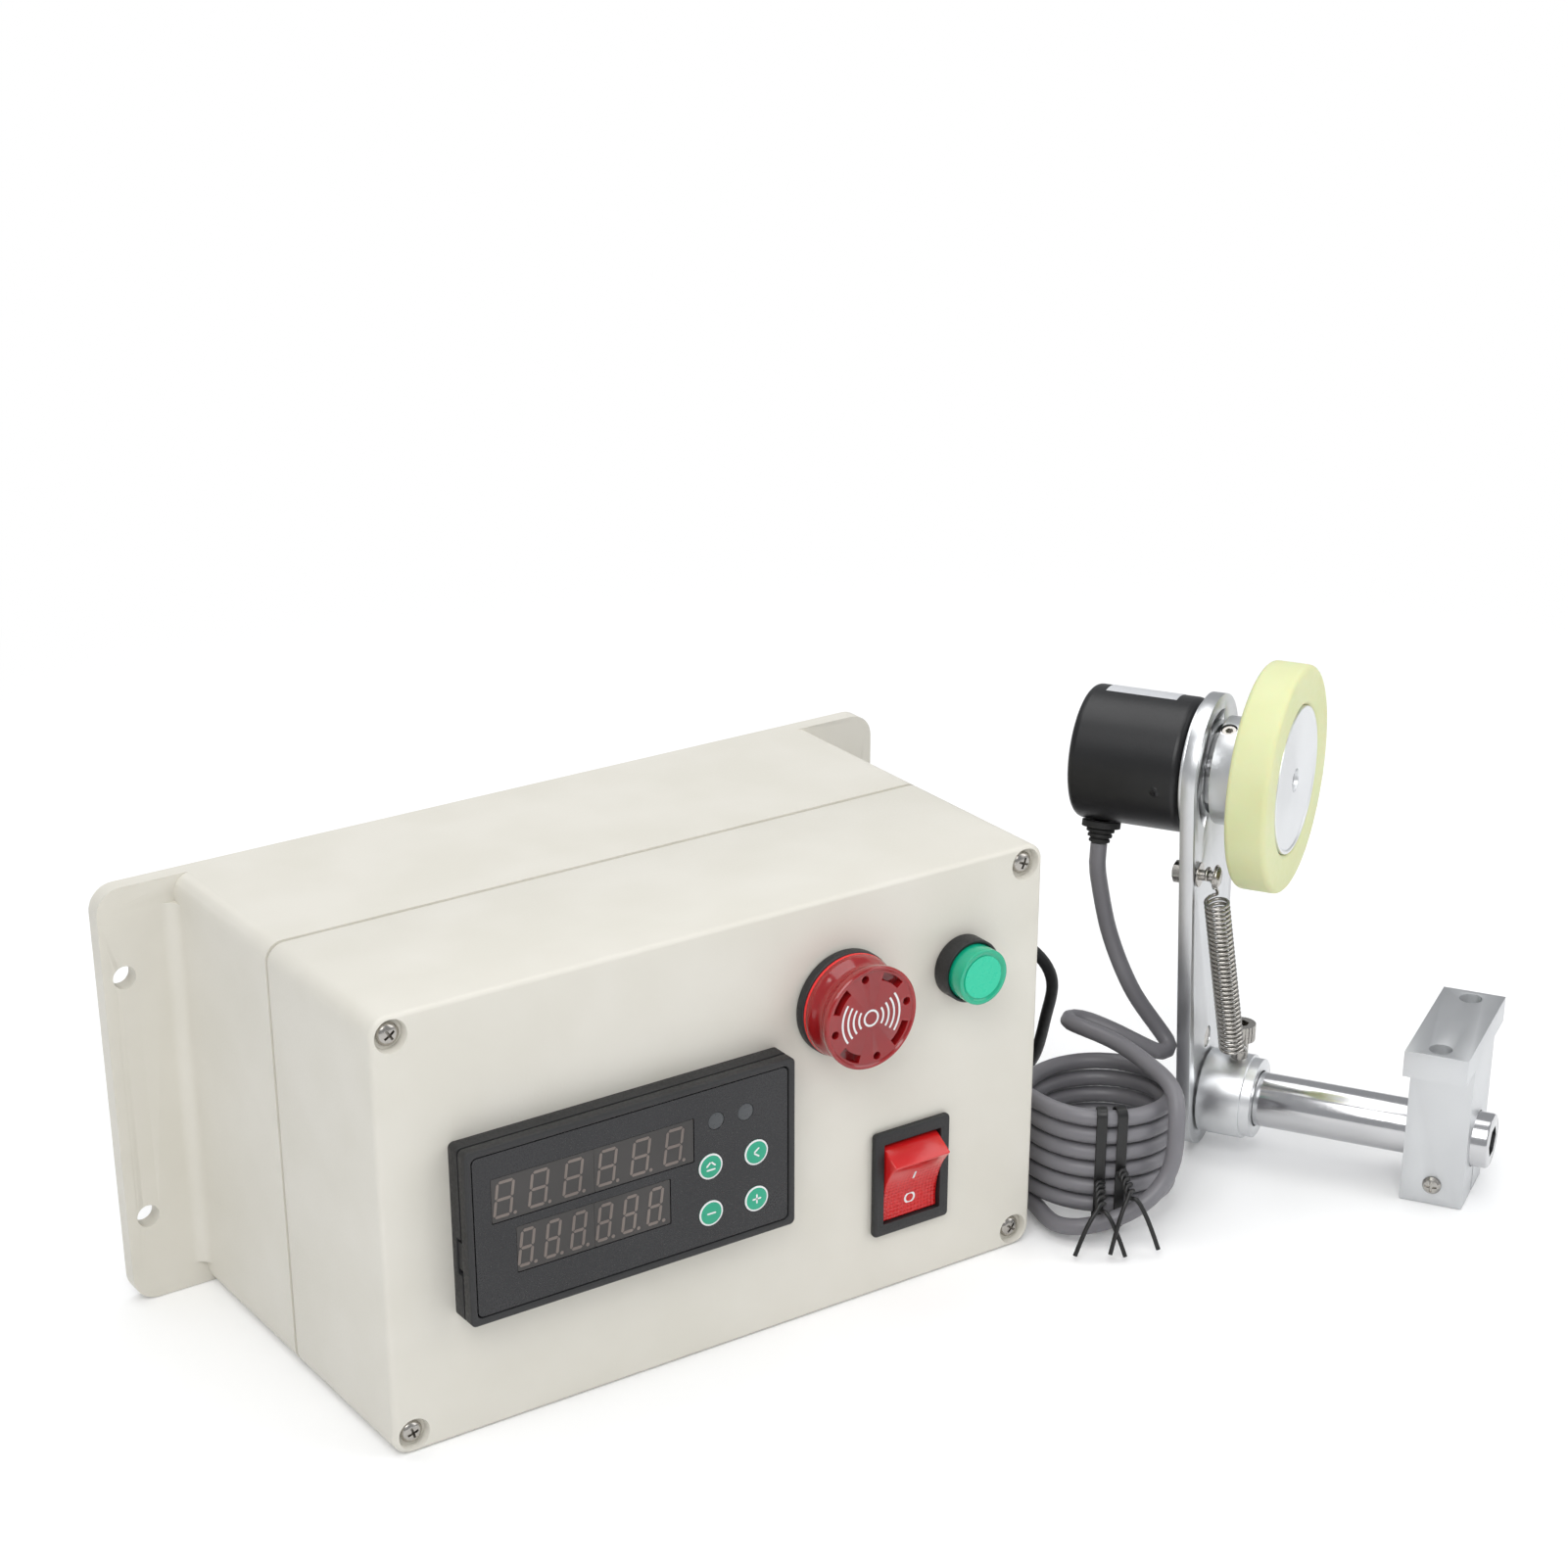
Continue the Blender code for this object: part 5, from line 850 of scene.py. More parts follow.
def grommet():
    """A ribbed sleeve that tapers to the cable."""
    top = GROMMET_SEAT + GROMMET_LENGTH
    low_rib = GROMMET_SEAT + GROMMET_FLANGE_THICK
    pitch = (top - low_rib) / GROMMET_RIBS
    bore = CABLE / 2
    profile = [(bore, GROMMET_SEAT), (GROMMET_FLANGE, GROMMET_SEAT), (GROMMET_FLANGE, low_rib)]
    for number in range(GROMMET_RIBS):
        foot = low_rib + number * pitch
        wide = GROMMET_NECK - number * GROMMET_RIB
        rise, full, fall = (foot + share * pitch for share in RIB_SHARES)
        profile += [
            (wide - GROMMET_RIB, rise), (wide, full), (wide, fall), (wide - GROMMET_RIB, foot + pitch),
        ]
    profile.append((bore, top))
    sleeve = soften(spun("grommet_ribbed", profile, SMALL_STEPS), FINE_EDGE / 2)
    way = Matrix.Rotation(GROMMET_TURN, 4, "Z") @ Matrix.Rotation(math.pi / 2, 4, "Y")
    fitted(moved(sleeve, at(UPRIGHT_WHEEL, z=GROMMET_PLACE) @ way), RUBBER, "arm", "cable_grommet")


ARM_HEAD = 0.021
ARM_FOOT = 0.0165
ARM_BUSH = 0.0105
ARM_HUB_HOLE = 0.0125
ARM_SLOT_RING = 0.0152
ARM_SLOT_WIDTH = 0.0032
ARM_SLOT_SPREAD = 24.0
ARM_SCREW_DISTANCE = 0.0178
ARM_SCREW = 0.0032
POST_DISTANCE = 0.0786
POST_OFFSET = 0.0150
POST_RADIUS = 0.0015


def swing_arm():
    lift = math.degrees(math.asin((ARM_FOOT - ARM_HEAD) / ARM_LENGTH))
    corners = arc(ARM_HEAD, lift, 180.0 - lift, SMALL_STEPS, 0.0, ARM_LENGTH)
    corners += arc(ARM_FOOT, 180.0 - lift, 360.0 + lift, HOLE_STEPS)
    plate = slab("arm_plate", corners, ARM_FRONT - ARM_REAR)
    holes = [
        ring(ARM_HUB_HOLE, BORE_STEPS, 0.0, ARM_LENGTH), ring(ARM_BUSH + GAP, BORE_STEPS),
        ring(ARM_SCREW, PIN_STEPS, 0.0, ARM_SCREW_DISTANCE),
        ring(POST_RADIUS + GAP, DRILL_STEPS, -POST_OFFSET, POST_DISTANCE),
    ]
    for number in range(3):
        middle = 90.0 + 120.0 * number
        first, last = middle - ARM_SLOT_SPREAD, middle + ARM_SLOT_SPREAD
        half = ARM_SLOT_WIDTH / 2
        holes.append(arc(ARM_SLOT_RING + half, first, last, DOT_STEPS, 0.0, ARM_LENGTH)
                     + arc(ARM_SLOT_RING - half, last, first, DOT_STEPS, 0.0, ARM_LENGTH))
    thick = ARM_FRONT - ARM_REAR
    for hole in holes:
        cut(plate, lifted(slab("hole", hole, 3 * thick), -thick))
    soften(plate, FINE_EDGE)
    fitted(moved(plate, at(ARM, z=ARM_REAR)), BRUSHED, "arm", "swing_arm")


SHAFT_RADIUS = 0.008
SHAFT_END = 0.0137
SHAFT_REAR = -0.0772
SHAFT_CHAMFER = 0.0008
SOCKET_FLATS = 0.008
SOCKET_DEPTH = 0.007
COLLAR_RADIUS = 0.0125
COLLAR_STEP = 0.0008
COLLAR_FRONT = -0.055
COLLAR_STEP_LENGTH = 0.003
COLLAR_LENGTH = 0.0158


def shaft_and_collar():
    shaft = spun("shaft_round", [
        (0.0, SHAFT_END), (SHAFT_RADIUS, SHAFT_END), (SHAFT_RADIUS, SHAFT_REAR), (0.0, SHAFT_REAR),
    ])
    soften(shaft, SHAFT_CHAMFER, 2)
    socket = slab("socket", hexagon(SOCKET_FLATS), 2 * SOCKET_DEPTH)
    cut(shaft, lifted(socket, SHAFT_END - SOCKET_DEPTH))
    fitted(soften(moved(shaft, SHAFT), 0.0), POLISHED, "stand", "support_shaft")
    bore = SHAFT_RADIUS + GAP
    step = COLLAR_FRONT - COLLAR_STEP_LENGTH
    rear = COLLAR_FRONT - COLLAR_LENGTH
    collar = spun("collar_round", [
        (bore, COLLAR_FRONT), (COLLAR_RADIUS - COLLAR_STEP, COLLAR_FRONT),
        (COLLAR_RADIUS - COLLAR_STEP, step), (COLLAR_RADIUS, step), (COLLAR_RADIUS, rear), (bore, rear),
    ])
    fitted(moved(soften(collar, FINE_EDGE), SHAFT), TURNED, "stand", "spring_collar")
    bush = spun("bush_round", [
        (bore, ARM_FRONT), (ARM_BUSH, ARM_FRONT), (ARM_BUSH, ARM_REAR), (bore, ARM_REAR),
    ])
    fitted(moved(soften(bush, FINE_EDGE), SHAFT), TURNED, "arm", "arm_bush")


COLLAR_SCREW_PLACE = -0.062
COLLAR_SCREW = 0.0025
COLLAR_SCREW_HEAD = 0.0043
COLLAR_SCREW_TALL = 0.005
COLLAR_SCREW_NECK = 0.0056
COLLAR_SCREW_SOCKET = 0.004
SOCKET_SHARE = 0.6
KNURLS = 64
KNURL_DEPTH_SHARE = 0.03


def collar_screw():
    """A socket cap screw with a knurled head, standing up from the collar."""
    seat = COLLAR_RADIUS + COLLAR_SCREW_NECK
    top = seat + COLLAR_SCREW_TALL
    end = COLLAR_RADIUS - COLLAR_SCREW + GAP
    screw = spun("cap_screw", [
        (0.0, top), (COLLAR_SCREW_HEAD, top), (COLLAR_SCREW_HEAD, seat), (COLLAR_SCREW, seat),
        (COLLAR_SCREW, end), (0.0, end),
    ], KNURLS)
    for place in screw.data.vertices:
        reach = math.hypot(place.co.x, place.co.y)
        turn = math.atan2(place.co.y, place.co.x)
        if reach > COLLAR_SCREW_HEAD * 0.99:
            shrink = 1.0 - KNURL_DEPTH_SHARE * (round(turn / (2 * math.pi) * KNURLS) % 2)
            place.co.x *= shrink
            place.co.y *= shrink
    socket = slab("socket", hexagon(COLLAR_SCREW_SOCKET), 2 * COLLAR_SCREW_TALL)
    cut(screw, lifted(socket, top - SOCKET_SHARE * COLLAR_SCREW_TALL))
    upright = at(SHAFT, z=COLLAR_SCREW_PLACE) @ Matrix.Rotation(-math.pi / 2, 4, "X")
    fitted(moved(soften(screw, 0.0), upright), SCREW_STEEL, "stand", "collar_screw")


POST_LENGTH = 0.006
POST_WASHER = 0.0035
POST_WASHER_THICK = 0.0005
POST_HEAD = 0.0030
POST_CROWN_SHARE = 0.7
POST_NUT_FLATS = 0.0055
POST_NUT_THICK = 0.0024


def spring_post():
    thin = POST_WASHER_THICK
    front = ARM_FRONT + GAP
    outer = ARM_FRONT + POST_LENGTH - 2 * thin
    back = ARM_REAR - GAP - POST_NUT_THICK
    post = spun("post_screw", [
        (0.0, outer + 3 * thin), (POST_CROWN_SHARE * POST_HEAD, outer + 3 * thin),
        (POST_HEAD, outer + 2 * thin), (POST_HEAD, outer + thin), (POST_WASHER, outer + thin),
        (POST_WASHER, outer), (POST_RADIUS, outer), (POST_RADIUS, front + thin), (POST_WASHER, front + thin),
        (POST_WASHER, front), (POST_RADIUS, front), (POST_RADIUS, back - thin), (0.0, back - thin),
    ], SMALL_STEPS)
    nut = slab("nut", hexagon(POST_NUT_FLATS), POST_NUT_THICK)
    boolean(post, lifted(nut, back), "UNION")
    post = soften(post, FINE_EDGE / 3, 1)
    fitted(moved(post, at(ARM, -POST_OFFSET, POST_DISTANCE)), SCREW_STEEL, "arm", "spring_post")


measuring_wheel()
encoder()
grommet()
swing_arm()
shaft_and_collar()
collar_screw()
spring_post()


# Spring, ties and the stand's block

SPRING_RADIUS = 0.0033
SPRING_WIRE = 0.001
SPRING_CURLS = 34
SPRING_PITCH = 0.00153
CURL_POINTS = 14
HOOK_STEP = 20
FOOT_HOOK_TURNS = (120, 361)
TOP_HOOK_TURNS = (-60, 181)


def extension_spring():
    """A close-wound spring whose hooks hold the arm's post and the collar's screw."""
    post = at(ARM, -POST_OFFSET, POST_DISTANCE)
    top = post @ Vector((0.0, 0.0, ARM_FRONT + POST_LENGTH / 2))
    foot_height = COLLAR_RADIUS + COLLAR_SCREW_NECK / 2
    foot = SHAFT @ Vector((0.0, foot_height, COLLAR_SCREW_PLACE))
    aside = COLLAR_SCREW_HEAD + SPRING_RADIUS + SPRING_WIRE / 2 + 2 * GAP
    start = SHAFT @ Vector((-aside, foot_height + SPRING_RADIUS, COLLAR_SCREW_PLACE))
    top_axis = post @ Vector((0.0, 0.0, ARM_FRONT + SPRING_RADIUS + SPRING_WIRE / 2 + 3 * GAP))
    along = (top_axis - start).normalized()
    out = Vector(SHAFT.col[2][:3])
    side = along.cross(out).normalized()
    front = side.cross(along).normalized()
    level = Vector(STAND.col[0][:3])
    hook = POST_RADIUS + SPRING_WIRE / 2 + GAP / 2
    foot_hook = COLLAR_SCREW + SPRING_WIRE / 2 + GAP / 2
    points = []
    for turn in range(*FOOT_HOOK_TURNS, HOOK_STEP):
        angle = math.radians(turn)
        points.insert(0, foot + foot_hook * (math.cos(angle) * level + math.sin(angle) * out))
    for i in range(2, SPRING_CURLS * CURL_POINTS + 1):
        angle = 2 * math.pi * i / CURL_POINTS
        ring_place = SPRING_RADIUS * (math.cos(angle) * side + math.sin(angle) * front)
        points.append(start + along * (SPRING_PITCH * i / CURL_POINTS) + ring_place)
    for turn in range(*TOP_HOOK_TURNS, HOOK_STEP):
        angle = math.radians(turn)
        points.append(top + hook * (math.cos(angle) * side + math.sin(angle) * along))
    spring = as_mesh(wire("spring_wound", points, SPRING_WIRE, SCREW_STEEL, 2, 3))
    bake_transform(spring)
    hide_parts("extension_spring")


TIE_WIDTH = 0.0030
TIE_THICK = 0.0007
TWIST_TURNS = 2.5
TWIST_RADIUS = 0.0011
TWIST_LENGTH = 0.010
TWIST_STRAND = 0.0013
TAIL_LENGTH = 0.013
BAND_ROUND_SHARE = 0.9
BAND_INNER_SHARE = 0.8
BAND_STEPS = 5
TWIST_STEPS = 20
TWIST_SAG = 0.35
TAIL_STEPS = 6
TAIL_DROP = 1.1
TAIL_FALL = 1.4
TAIL_OUT = 0.35
TAIL_ASIDE = 0.45
TIE_PLACES = ((-126.0, 0.0165), (-112.0, 0.0200))
POWER_TIE_TURN = 94.0


def band_points(inner, outer, low, high):
    """The round of a tie over its bundle, as places across and up."""
    across = outer - inner + TIE_THICK
    tall = high - low + TIE_THICK
    corner = min(across, tall) / 2 * BAND_ROUND_SHARE
    return rounded(across, tall, corner, (inner + outer) / 2, (low + high) / 2, BAND_STEPS)


def tie(name, place, angle, inner, outer, low, high, knot):
    """A flat tie round the bundle, twisted shut outside it, with two loose tails."""
    turn = math.radians(angle)
    way = Vector((math.cos(turn), math.sin(turn), 0.0))
    sideways = Vector((-math.sin(turn), math.cos(turn), 0.0))
    middle = Vector((place[0], place[1], 0.0))

    def spot(across, up, along=0.0):
        return middle + way * across + Vector((0.0, 0.0, up)) + sideways * along

    corners = band_points(inner, outer, low, high)
    slit = slab(name, corners, TIE_WIDTH)
    hole_corners = rounded(outer - inner - TIE_THICK / 2, high - low - TIE_THICK / 2,
                           (outer - inner) / 2 * BAND_INNER_SHARE, (inner + outer) / 2,
                           (low + high) / 2, BAND_STEPS)
    cut(slit, lifted(slab("inside", hole_corners, 3 * TIE_WIDTH), -TIE_WIDTH))
    soften(slit, TIE_THICK / 4, 1)
    base = facing(spot(0.0, 0.0, TIE_WIDTH / 2), tuple(way), UP)
    band = moved(slit, base)
    strands = []
    for phase in (0.0, math.pi):
        points = []
        for i in range(TWIST_STEPS + 1):
            share = i / TWIST_STEPS
            spin = phase + 2 * math.pi * TWIST_TURNS * share
            reach = outer + TIE_THICK + TWIST_LENGTH * share
            points.append(spot(
                reach, knot + TWIST_RADIUS * math.sin(spin) - TWIST_SAG * TWIST_LENGTH * share * share,
                TWIST_RADIUS * math.cos(spin),
            ))
        lean = 1.0 if phase else -1.0
        last = points[-1]
        for i in range(1, TAIL_STEPS + 1):
            share = i / TAIL_STEPS
            drop = min(last.z - TWIST_STRAND, TAIL_DROP * TAIL_LENGTH) * share ** TAIL_FALL
            outward = way * (TAIL_OUT * TAIL_LENGTH * share)
            aside = sideways * (lean * TAIL_ASIDE * TAIL_LENGTH * share)
            points.append(last + outward + aside - Vector((0.0, 0.0, drop)))
        strands.append(as_mesh(wire(f"{name}_strand", points, TWIST_STRAND, TIE_BLACK, 2, 2)))
    bpy.ops.object.select_all(action="DESELECT")
    for strand in strands:
        strand.select_set(True)
    band.select_set(True)
    bpy.context.view_layer.objects.active = band
    bpy.ops.object.join()
    return band


def cable_ties():
    low = COIL_LIFT
    high = COIL_LIFT + CABLE + COIL_PITCH * COIL_TURNS
    inner = COIL_RADIUS - CABLE / 2
    outer = COIL_RADIUS + CABLE / 2
    made = []
    for number, (angle, knot) in enumerate(TIE_PLACES, 1):
        made.append(tie(f"twist_tie_{number}", COIL_AT, angle, inner, outer, low, high, knot))
        fitted(made[-1], TIE_BLACK, "stand", f"cable_tie_{number}")
    top = COIL_LIFT + POWER_CABLE + POWER_COIL_STEP * (POWER_COIL_LAYERS - 1)
    inside = POWER_COIL_OUTER - POWER_COIL_STEP * POWER_COIL_TURNS - POWER_CABLE / 2
    outside = POWER_COIL_OUTER + POWER_CABLE / 2
    made.append(tie("twist_tie_3", POWER_COIL_AT, POWER_TIE_TURN, inside, outside, COIL_LIFT, top, 0.5 * top))
    fitted(made[-1], TIE_BLACK, "stand", "power_cord_tie")
    return made


BLOCK_WIDTH = 0.0245
BLOCK_HEIGHT = 0.0441
BLOCK_THICK = 0.018
BLOCK_SLIT = 0.0015
BLOCK_EDGE = 0.0005
PLATE_WIDTH = 0.0473
PLATE_HOLE = 0.0065
PLATE_HOLE_PITCH = 0.037
CLAMP_HEIGHT = 0.006
CLAMP_RADIUS = 0.0020
CLAMP_HEAD = 0.0027
CLAMP_DOME = 0.0012
CLAMP_SHARES = ((0.0, 1.0), (0.4, 0.95), (0.75, 0.7))
CLAMP_CROSS = (1.3, 0.28, 0.05)
CLAMP_CROSS_FLOOR = 0.35


def mount_block():
    plate_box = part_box("mount_block")
    top = plate_box[1].z
    wide = PLATE_WIDTH / 2
    half = BLOCK_WIDTH / 2
    block = slab("block_machined", [
        (half, 0.0), (half, BLOCK_HEIGHT), (wide, BLOCK_HEIGHT), (wide, top), (-wide, top),
        (-wide, BLOCK_HEIGHT), (-half, BLOCK_HEIGHT), (-half, 0.0),
    ], BLOCK_THICK)
    lifted(block, -BLOCK_THICK / 2)
    through = Matrix.Translation((0.0, 0.0, -BLOCK_THICK))
    bore = slab("bore", ring(SHAFT_RADIUS + GAP, BORE_STEPS, 0.0, SHAFT_HEIGHT), 2 * BLOCK_THICK)
    cut(block, moved(bore, through))
    slot = rounded(BLOCK_SLIT, 2 * SHAFT_HEIGHT, BLOCK_SLIT / 8)
    cut(block, moved(slab("slit", slot, 2 * BLOCK_THICK), through))
    upright = Matrix.Rotation(-math.pi / 2, 4, "X")
    for side in (-1, 1):
        hole = slab("plate_hole", ring(PLATE_HOLE / 2, HOLE_STEPS), BLOCK_HEIGHT)
        foot = at(upright, side * PLATE_HOLE_PITCH / 2, 0.0, BLOCK_HEIGHT - BLOCK_HEIGHT / 4)
        cut(block, moved(hole, foot))
    clamp = moved(slab("clamp_hole", ring(CLAMP_RADIUS + GAP, PIN_STEPS), 2 * BLOCK_WIDTH),
                  at(Matrix.Rotation(math.pi / 2, 4, "Y"), 0.0, CLAMP_HEIGHT, -BLOCK_WIDTH))
    cut(block, clamp)
    soften(block, BLOCK_EDGE)
    fitted(moved(block, STAND), SATIN, "stand", "mount_block")
    face = half + GAP / 2
    screw = spun("clamp_screw_head", [
        *((out * CLAMP_HEAD, face + rise * CLAMP_DOME) for out, rise in CLAMP_SHARES), (CLAMP_HEAD, face),
        (CLAMP_RADIUS, face), (CLAMP_RADIUS, -half), (0.0, -half),
    ], SMALL_STEPS)
    for turn in (0.0, 90.0):
        arm_of_cross = slab("cross", rounded(*(share * CLAMP_HEAD for share in CLAMP_CROSS)), CLAMP_DOME)
        floor = face + CLAMP_CROSS_FLOOR * CLAMP_DOME
        cut(screw, moved(arm_of_cross, at(Matrix.Rotation(math.radians(turn), 4, "Z"), z=floor)))
    back = STAND @ Matrix.Rotation(math.pi / 2, 4, "Y") @ Matrix.Translation((0.0, CLAMP_HEIGHT, 0.0))
    fitted(
        moved(soften(screw, 0.0), back @ Matrix.Rotation(math.pi, 4, "X")), SCREW_STEEL, "stand",
        "block_clamp_screw",
    )


extension_spring()
ties = cable_ties()
encoder_cable()
power_cord()
mount_block()


# Box

MID_HEIGHT = BOX[2] / 2
WALL = 0.003
EDGE_ROUND = 0.005
FRONT_ROUND = 0.0013
SEAM_ROUND = 0.0004
EAR_SPAN = 0.243
EAR_THICK = 0.005
EAR_CORNER = 0.007
EAR_FILLET = 0.004
EAR_HOLES = (0.1155, 0.035)
EAR_HOLE = 0.0032
SCREW_SPREAD = (0.09425, 0.0548)
SCREW_PLACES = [(x * SCREW_SPREAD[0], MID_HEIGHT + z * SCREW_SPREAD[1]) for x in (-1, 1) for z in (-1, 1)]
SCREW_RECESS = 0.00425
RECESS_DEPTH = 0.0024
SCREW_HEAD = 0.0030
SCREW_RISE = 0.0015
CORNER_STEPS = 10
POST_WALL_SHARE = 0.4
POST_PULL = (0.985, 0.97)
POST_SINK_SHARE = 1.5
FILLET_STEPS = 8
SQUARE_HOLES = ((0.0921, 0.0451, METER_AT), (0.0218, 0.0276, ROCKER_AT))
ROUND_HOLES = ((0.0111, BUZZER_AT), (0.0081, RESET_AT))


def box_body(name, depth, wall_side):
    """A tray with round corners, open at wall_side."""
    body = slab(name, rounded(BOX[0], BOX[2], EDGE_ROUND, 0.0, MID_HEIGHT, CORNER_STEPS), depth)
    inside = rounded(BOX[0] - 2 * WALL, BOX[2] - 2 * WALL, EDGE_ROUND - WALL, 0.0, MID_HEIGHT)
    return cut(body, lifted(slab("inside", inside, depth), wall_side * WALL))


def box_cover():
    depth = COVER_DEPTH - GAP / 2
    cover = box_body("cover_moulded", depth, -1)
    bevelled(cover, FRONT_ROUND, 5, 60.0)
    lifted(cover, -depth)
    for x, z in SCREW_PLACES:
        pulled = (x * POST_PULL[0], MID_HEIGHT + (z - MID_HEIGHT) * POST_PULL[1])
        post = slab("post", ring(SCREW_RECESS + POST_WALL_SHARE * WALL, HOLE_STEPS, *pulled), WALL)
        boolean(cover, lifted(post, -POST_SINK_SHARE * WALL), "UNION")
        recess = spun("recess", [
            (0.0, 4 * GAP), (SCREW_RECESS + GAP, 4 * GAP), (SCREW_RECESS + GAP / 2, 0.0),
            (SCREW_RECESS, -GAP), (SCREW_RECESS - GAP, -RECESS_DEPTH), (0.0, -RECESS_DEPTH),
        ], BORE_STEPS)
        cut(cover, moved(recess, Matrix.Translation((x, z, 0.0))))
    for wide, tall, place in SQUARE_HOLES:
        hole = slab("hole", rounded(wide, tall, GAP, *place, 2), 4 * WALL)
        cut(cover, lifted(hole, -2 * WALL))
    for radius, place in ROUND_HOLES:
        hole = slab("hole", ring(radius, SMALL_STEPS, *place), 4 * WALL)
        cut(cover, lifted(hole, -2 * WALL))
    fitted(moved(soften(cover, 0.0), PANEL), BOX_PLASTIC, "stand", "enclosure_cover")


def box_base():
    depth = BOX[1] - COVER_DEPTH - GAP / 2
    base = box_body("base_moulded", depth, 1)
    ears = slab("ears", rounded(EAR_SPAN, BOX[2], EAR_CORNER, 0.0, MID_HEIGHT, CORNER_STEPS), EAR_THICK)
    boolean(base, ears, "UNION")
    inside = rounded(BOX[0] - 2 * WALL, BOX[2] - 2 * WALL, EDGE_ROUND - WALL, 0.0, MID_HEIGHT)
    cut(base, lifted(slab("inside", inside, depth), WALL))
    for side in (-1, 1):
        curve = [(-WALL / 2, -GAP), (EAR_FILLET, -GAP)]
        for i in range(FILLET_STEPS + 1):
            t = i * math.pi / (2 * FILLET_STEPS)
            curve.append((EAR_FILLET - EAR_FILLET * math.sin(t), EAR_FILLET - EAR_FILLET * math.cos(t)))
        curve.append((-WALL / 2, EAR_FILLET))
        tall = BOX[2] - 2 * EAR_CORNER
        fillet = slab("fillet", curve, tall)
        lay = Matrix((
            (side, 0, 0, side * BOX[0] / 2), (0, 0, 1, EAR_CORNER), (0, 1, 0, EAR_THICK), (0, 0, 0, 1),
        ))
        moved(fillet, lay)
        pick(fillet)
        bpy.ops.object.mode_set(mode="EDIT")
        face_outward()
        boolean(base, fillet, "UNION")
        for z in (-1, 1):
            place = (side * EAR_HOLES[0], MID_HEIGHT + z * EAR_HOLES[1])
            hole = slab("hole", ring(EAR_HOLE, HOLE_STEPS, *place), 4 * EAR_THICK)
            cut(base, lifted(hole, -EAR_THICK))
    lifted(base, -BOX[1])
    moved(base, PANEL)
    for y, z in (SIGNAL_AT, POWER_AT):
        hole = slab("hole", ring(GLAND_THREAD + GAP, PIN_STEPS, y, z), 4 * WALL)
        cut(base, moved(hole, at(RIGHT_WALL, z=-2 * WALL)))
    bevelled(base, SEAM_ROUND, 3, 50.0)
    fitted(soften(base, 0.0), BOX_PLASTIC, "stand", "enclosure_base")


HEAD_SHARES = ((0.0, 1.0), (0.35, 0.96), (0.65, 0.84), (0.88, 0.58), (1.0, 0.25))
CROSS_WING = 0.60
CROSS_ROOT = 0.20
CROSS_FLOOR = 0.9
CROSS_TOP = 1.3
CROSS_HALF = 0.11
SHANK_SHARE = 0.6
SCREW_TURN_STEP = 17.0


def cross_head(name, head, rise, shank, length, coat, body, base, node_name, turn):
    """A pan-head screw with a tapered cross recess."""
    screw = spun(name, [
        *((out * head, up * rise) for out, up in HEAD_SHARES), (head, 0.0), (shank, 0.0), (shank, -length),
        (0.0, -length),
    ], SMALL_STEPS)
    for angle in (0.0, 90.0):
        arm = outline("cross", [(0.0, 0.0, 0.0)] * 4, "NGON")
        wing, root, low, high = CROSS_WING * head, CROSS_ROOT * head, -CROSS_FLOOR * rise, rise * CROSS_TOP
        places = ((wing, high), (-wing, high), (-root, low), (root, low))
        for corner, (x, z) in zip(arm.data.vertices, places):
            corner.co = (x, -CROSS_HALF * head, z)
        bpy.ops.object.mode_set(mode="EDIT")
        bpy.ops.mesh.select_all(action="SELECT")
        bpy.ops.mesh.extrude_region_move(TRANSFORM_OT_translate={"value": (0.0, 2 * CROSS_HALF * head, 0.0)})
        face_outward()
        cut(screw, moved(arm, Matrix.Rotation(math.radians(angle + turn), 4, "Z")))
    instead = (node_name,) if node_name else ()
    return fitted(moved(soften(screw, 0.0), base), coat, body, *instead)


def cover_screws():
    for number, (x, z) in enumerate(SCREW_PLACES, 1):
        base = at(PANEL, x, z, -RECESS_DEPTH + GAP)
        cross_head(
            f"pan_screw_{number}", SCREW_HEAD, SCREW_RISE, SHANK_SHARE * SCREW_HEAD, COVER_DEPTH / 2,
            SCREW_STEEL, "stand", base, f"cover_screw_{number}", SCREW_TURN_STEP * number,
        )


GLAND_FLATS = 0.015
GLAND_NUT = 0.005
GLAND_DOME = 0.0058
GLAND_TIP = 0.012
GLAND_THREAD = 0.0055
GLAND_INSIDE = 0.010
GLAND_SHOULDER = (0.82, 0.0012)
GLAND_SWELL = (0.97, 0.0035)


def glands():
    for name, (y, z), thick in (("signal_gland", SIGNAL_AT, CABLE), ("power_gland", POWER_AT, POWER_CABLE)):
        bore = thick / 2 + GAP / 3
        dome = spun(f"{name}_dome", [
            (bore, GLAND_TIP), (bore + 2 * GAP, GLAND_TIP),
            (GLAND_SHOULDER[0] * GLAND_DOME, GLAND_TIP - GLAND_SHOULDER[1]),
            (GLAND_SWELL[0] * GLAND_DOME, GLAND_TIP - GLAND_SWELL[1]), (GLAND_DOME, GLAND_NUT),
            (GLAND_THREAD, GLAND_NUT / 2), (GLAND_THREAD, -GLAND_INSIDE), (bore, -GLAND_INSIDE),
        ], BORE_STEPS)
        nut = lifted(slab("nut", hexagon(GLAND_FLATS), GLAND_NUT - GAP), GAP / 3)
        boolean(dome, soften(nut, FINE_EDGE * 2), "UNION")
        cut(dome, lifted(slab("bore", ring(bore, SMALL_STEPS), 4 * GLAND_TIP), -2 * GLAND_TIP))
        fitted(moved(soften(dome, 0.0), at(RIGHT_WALL, y, z)), BLACK_PLASTIC, "stand", name)


box_cover()
box_base()
cover_screws()
glands()


# Panel meter

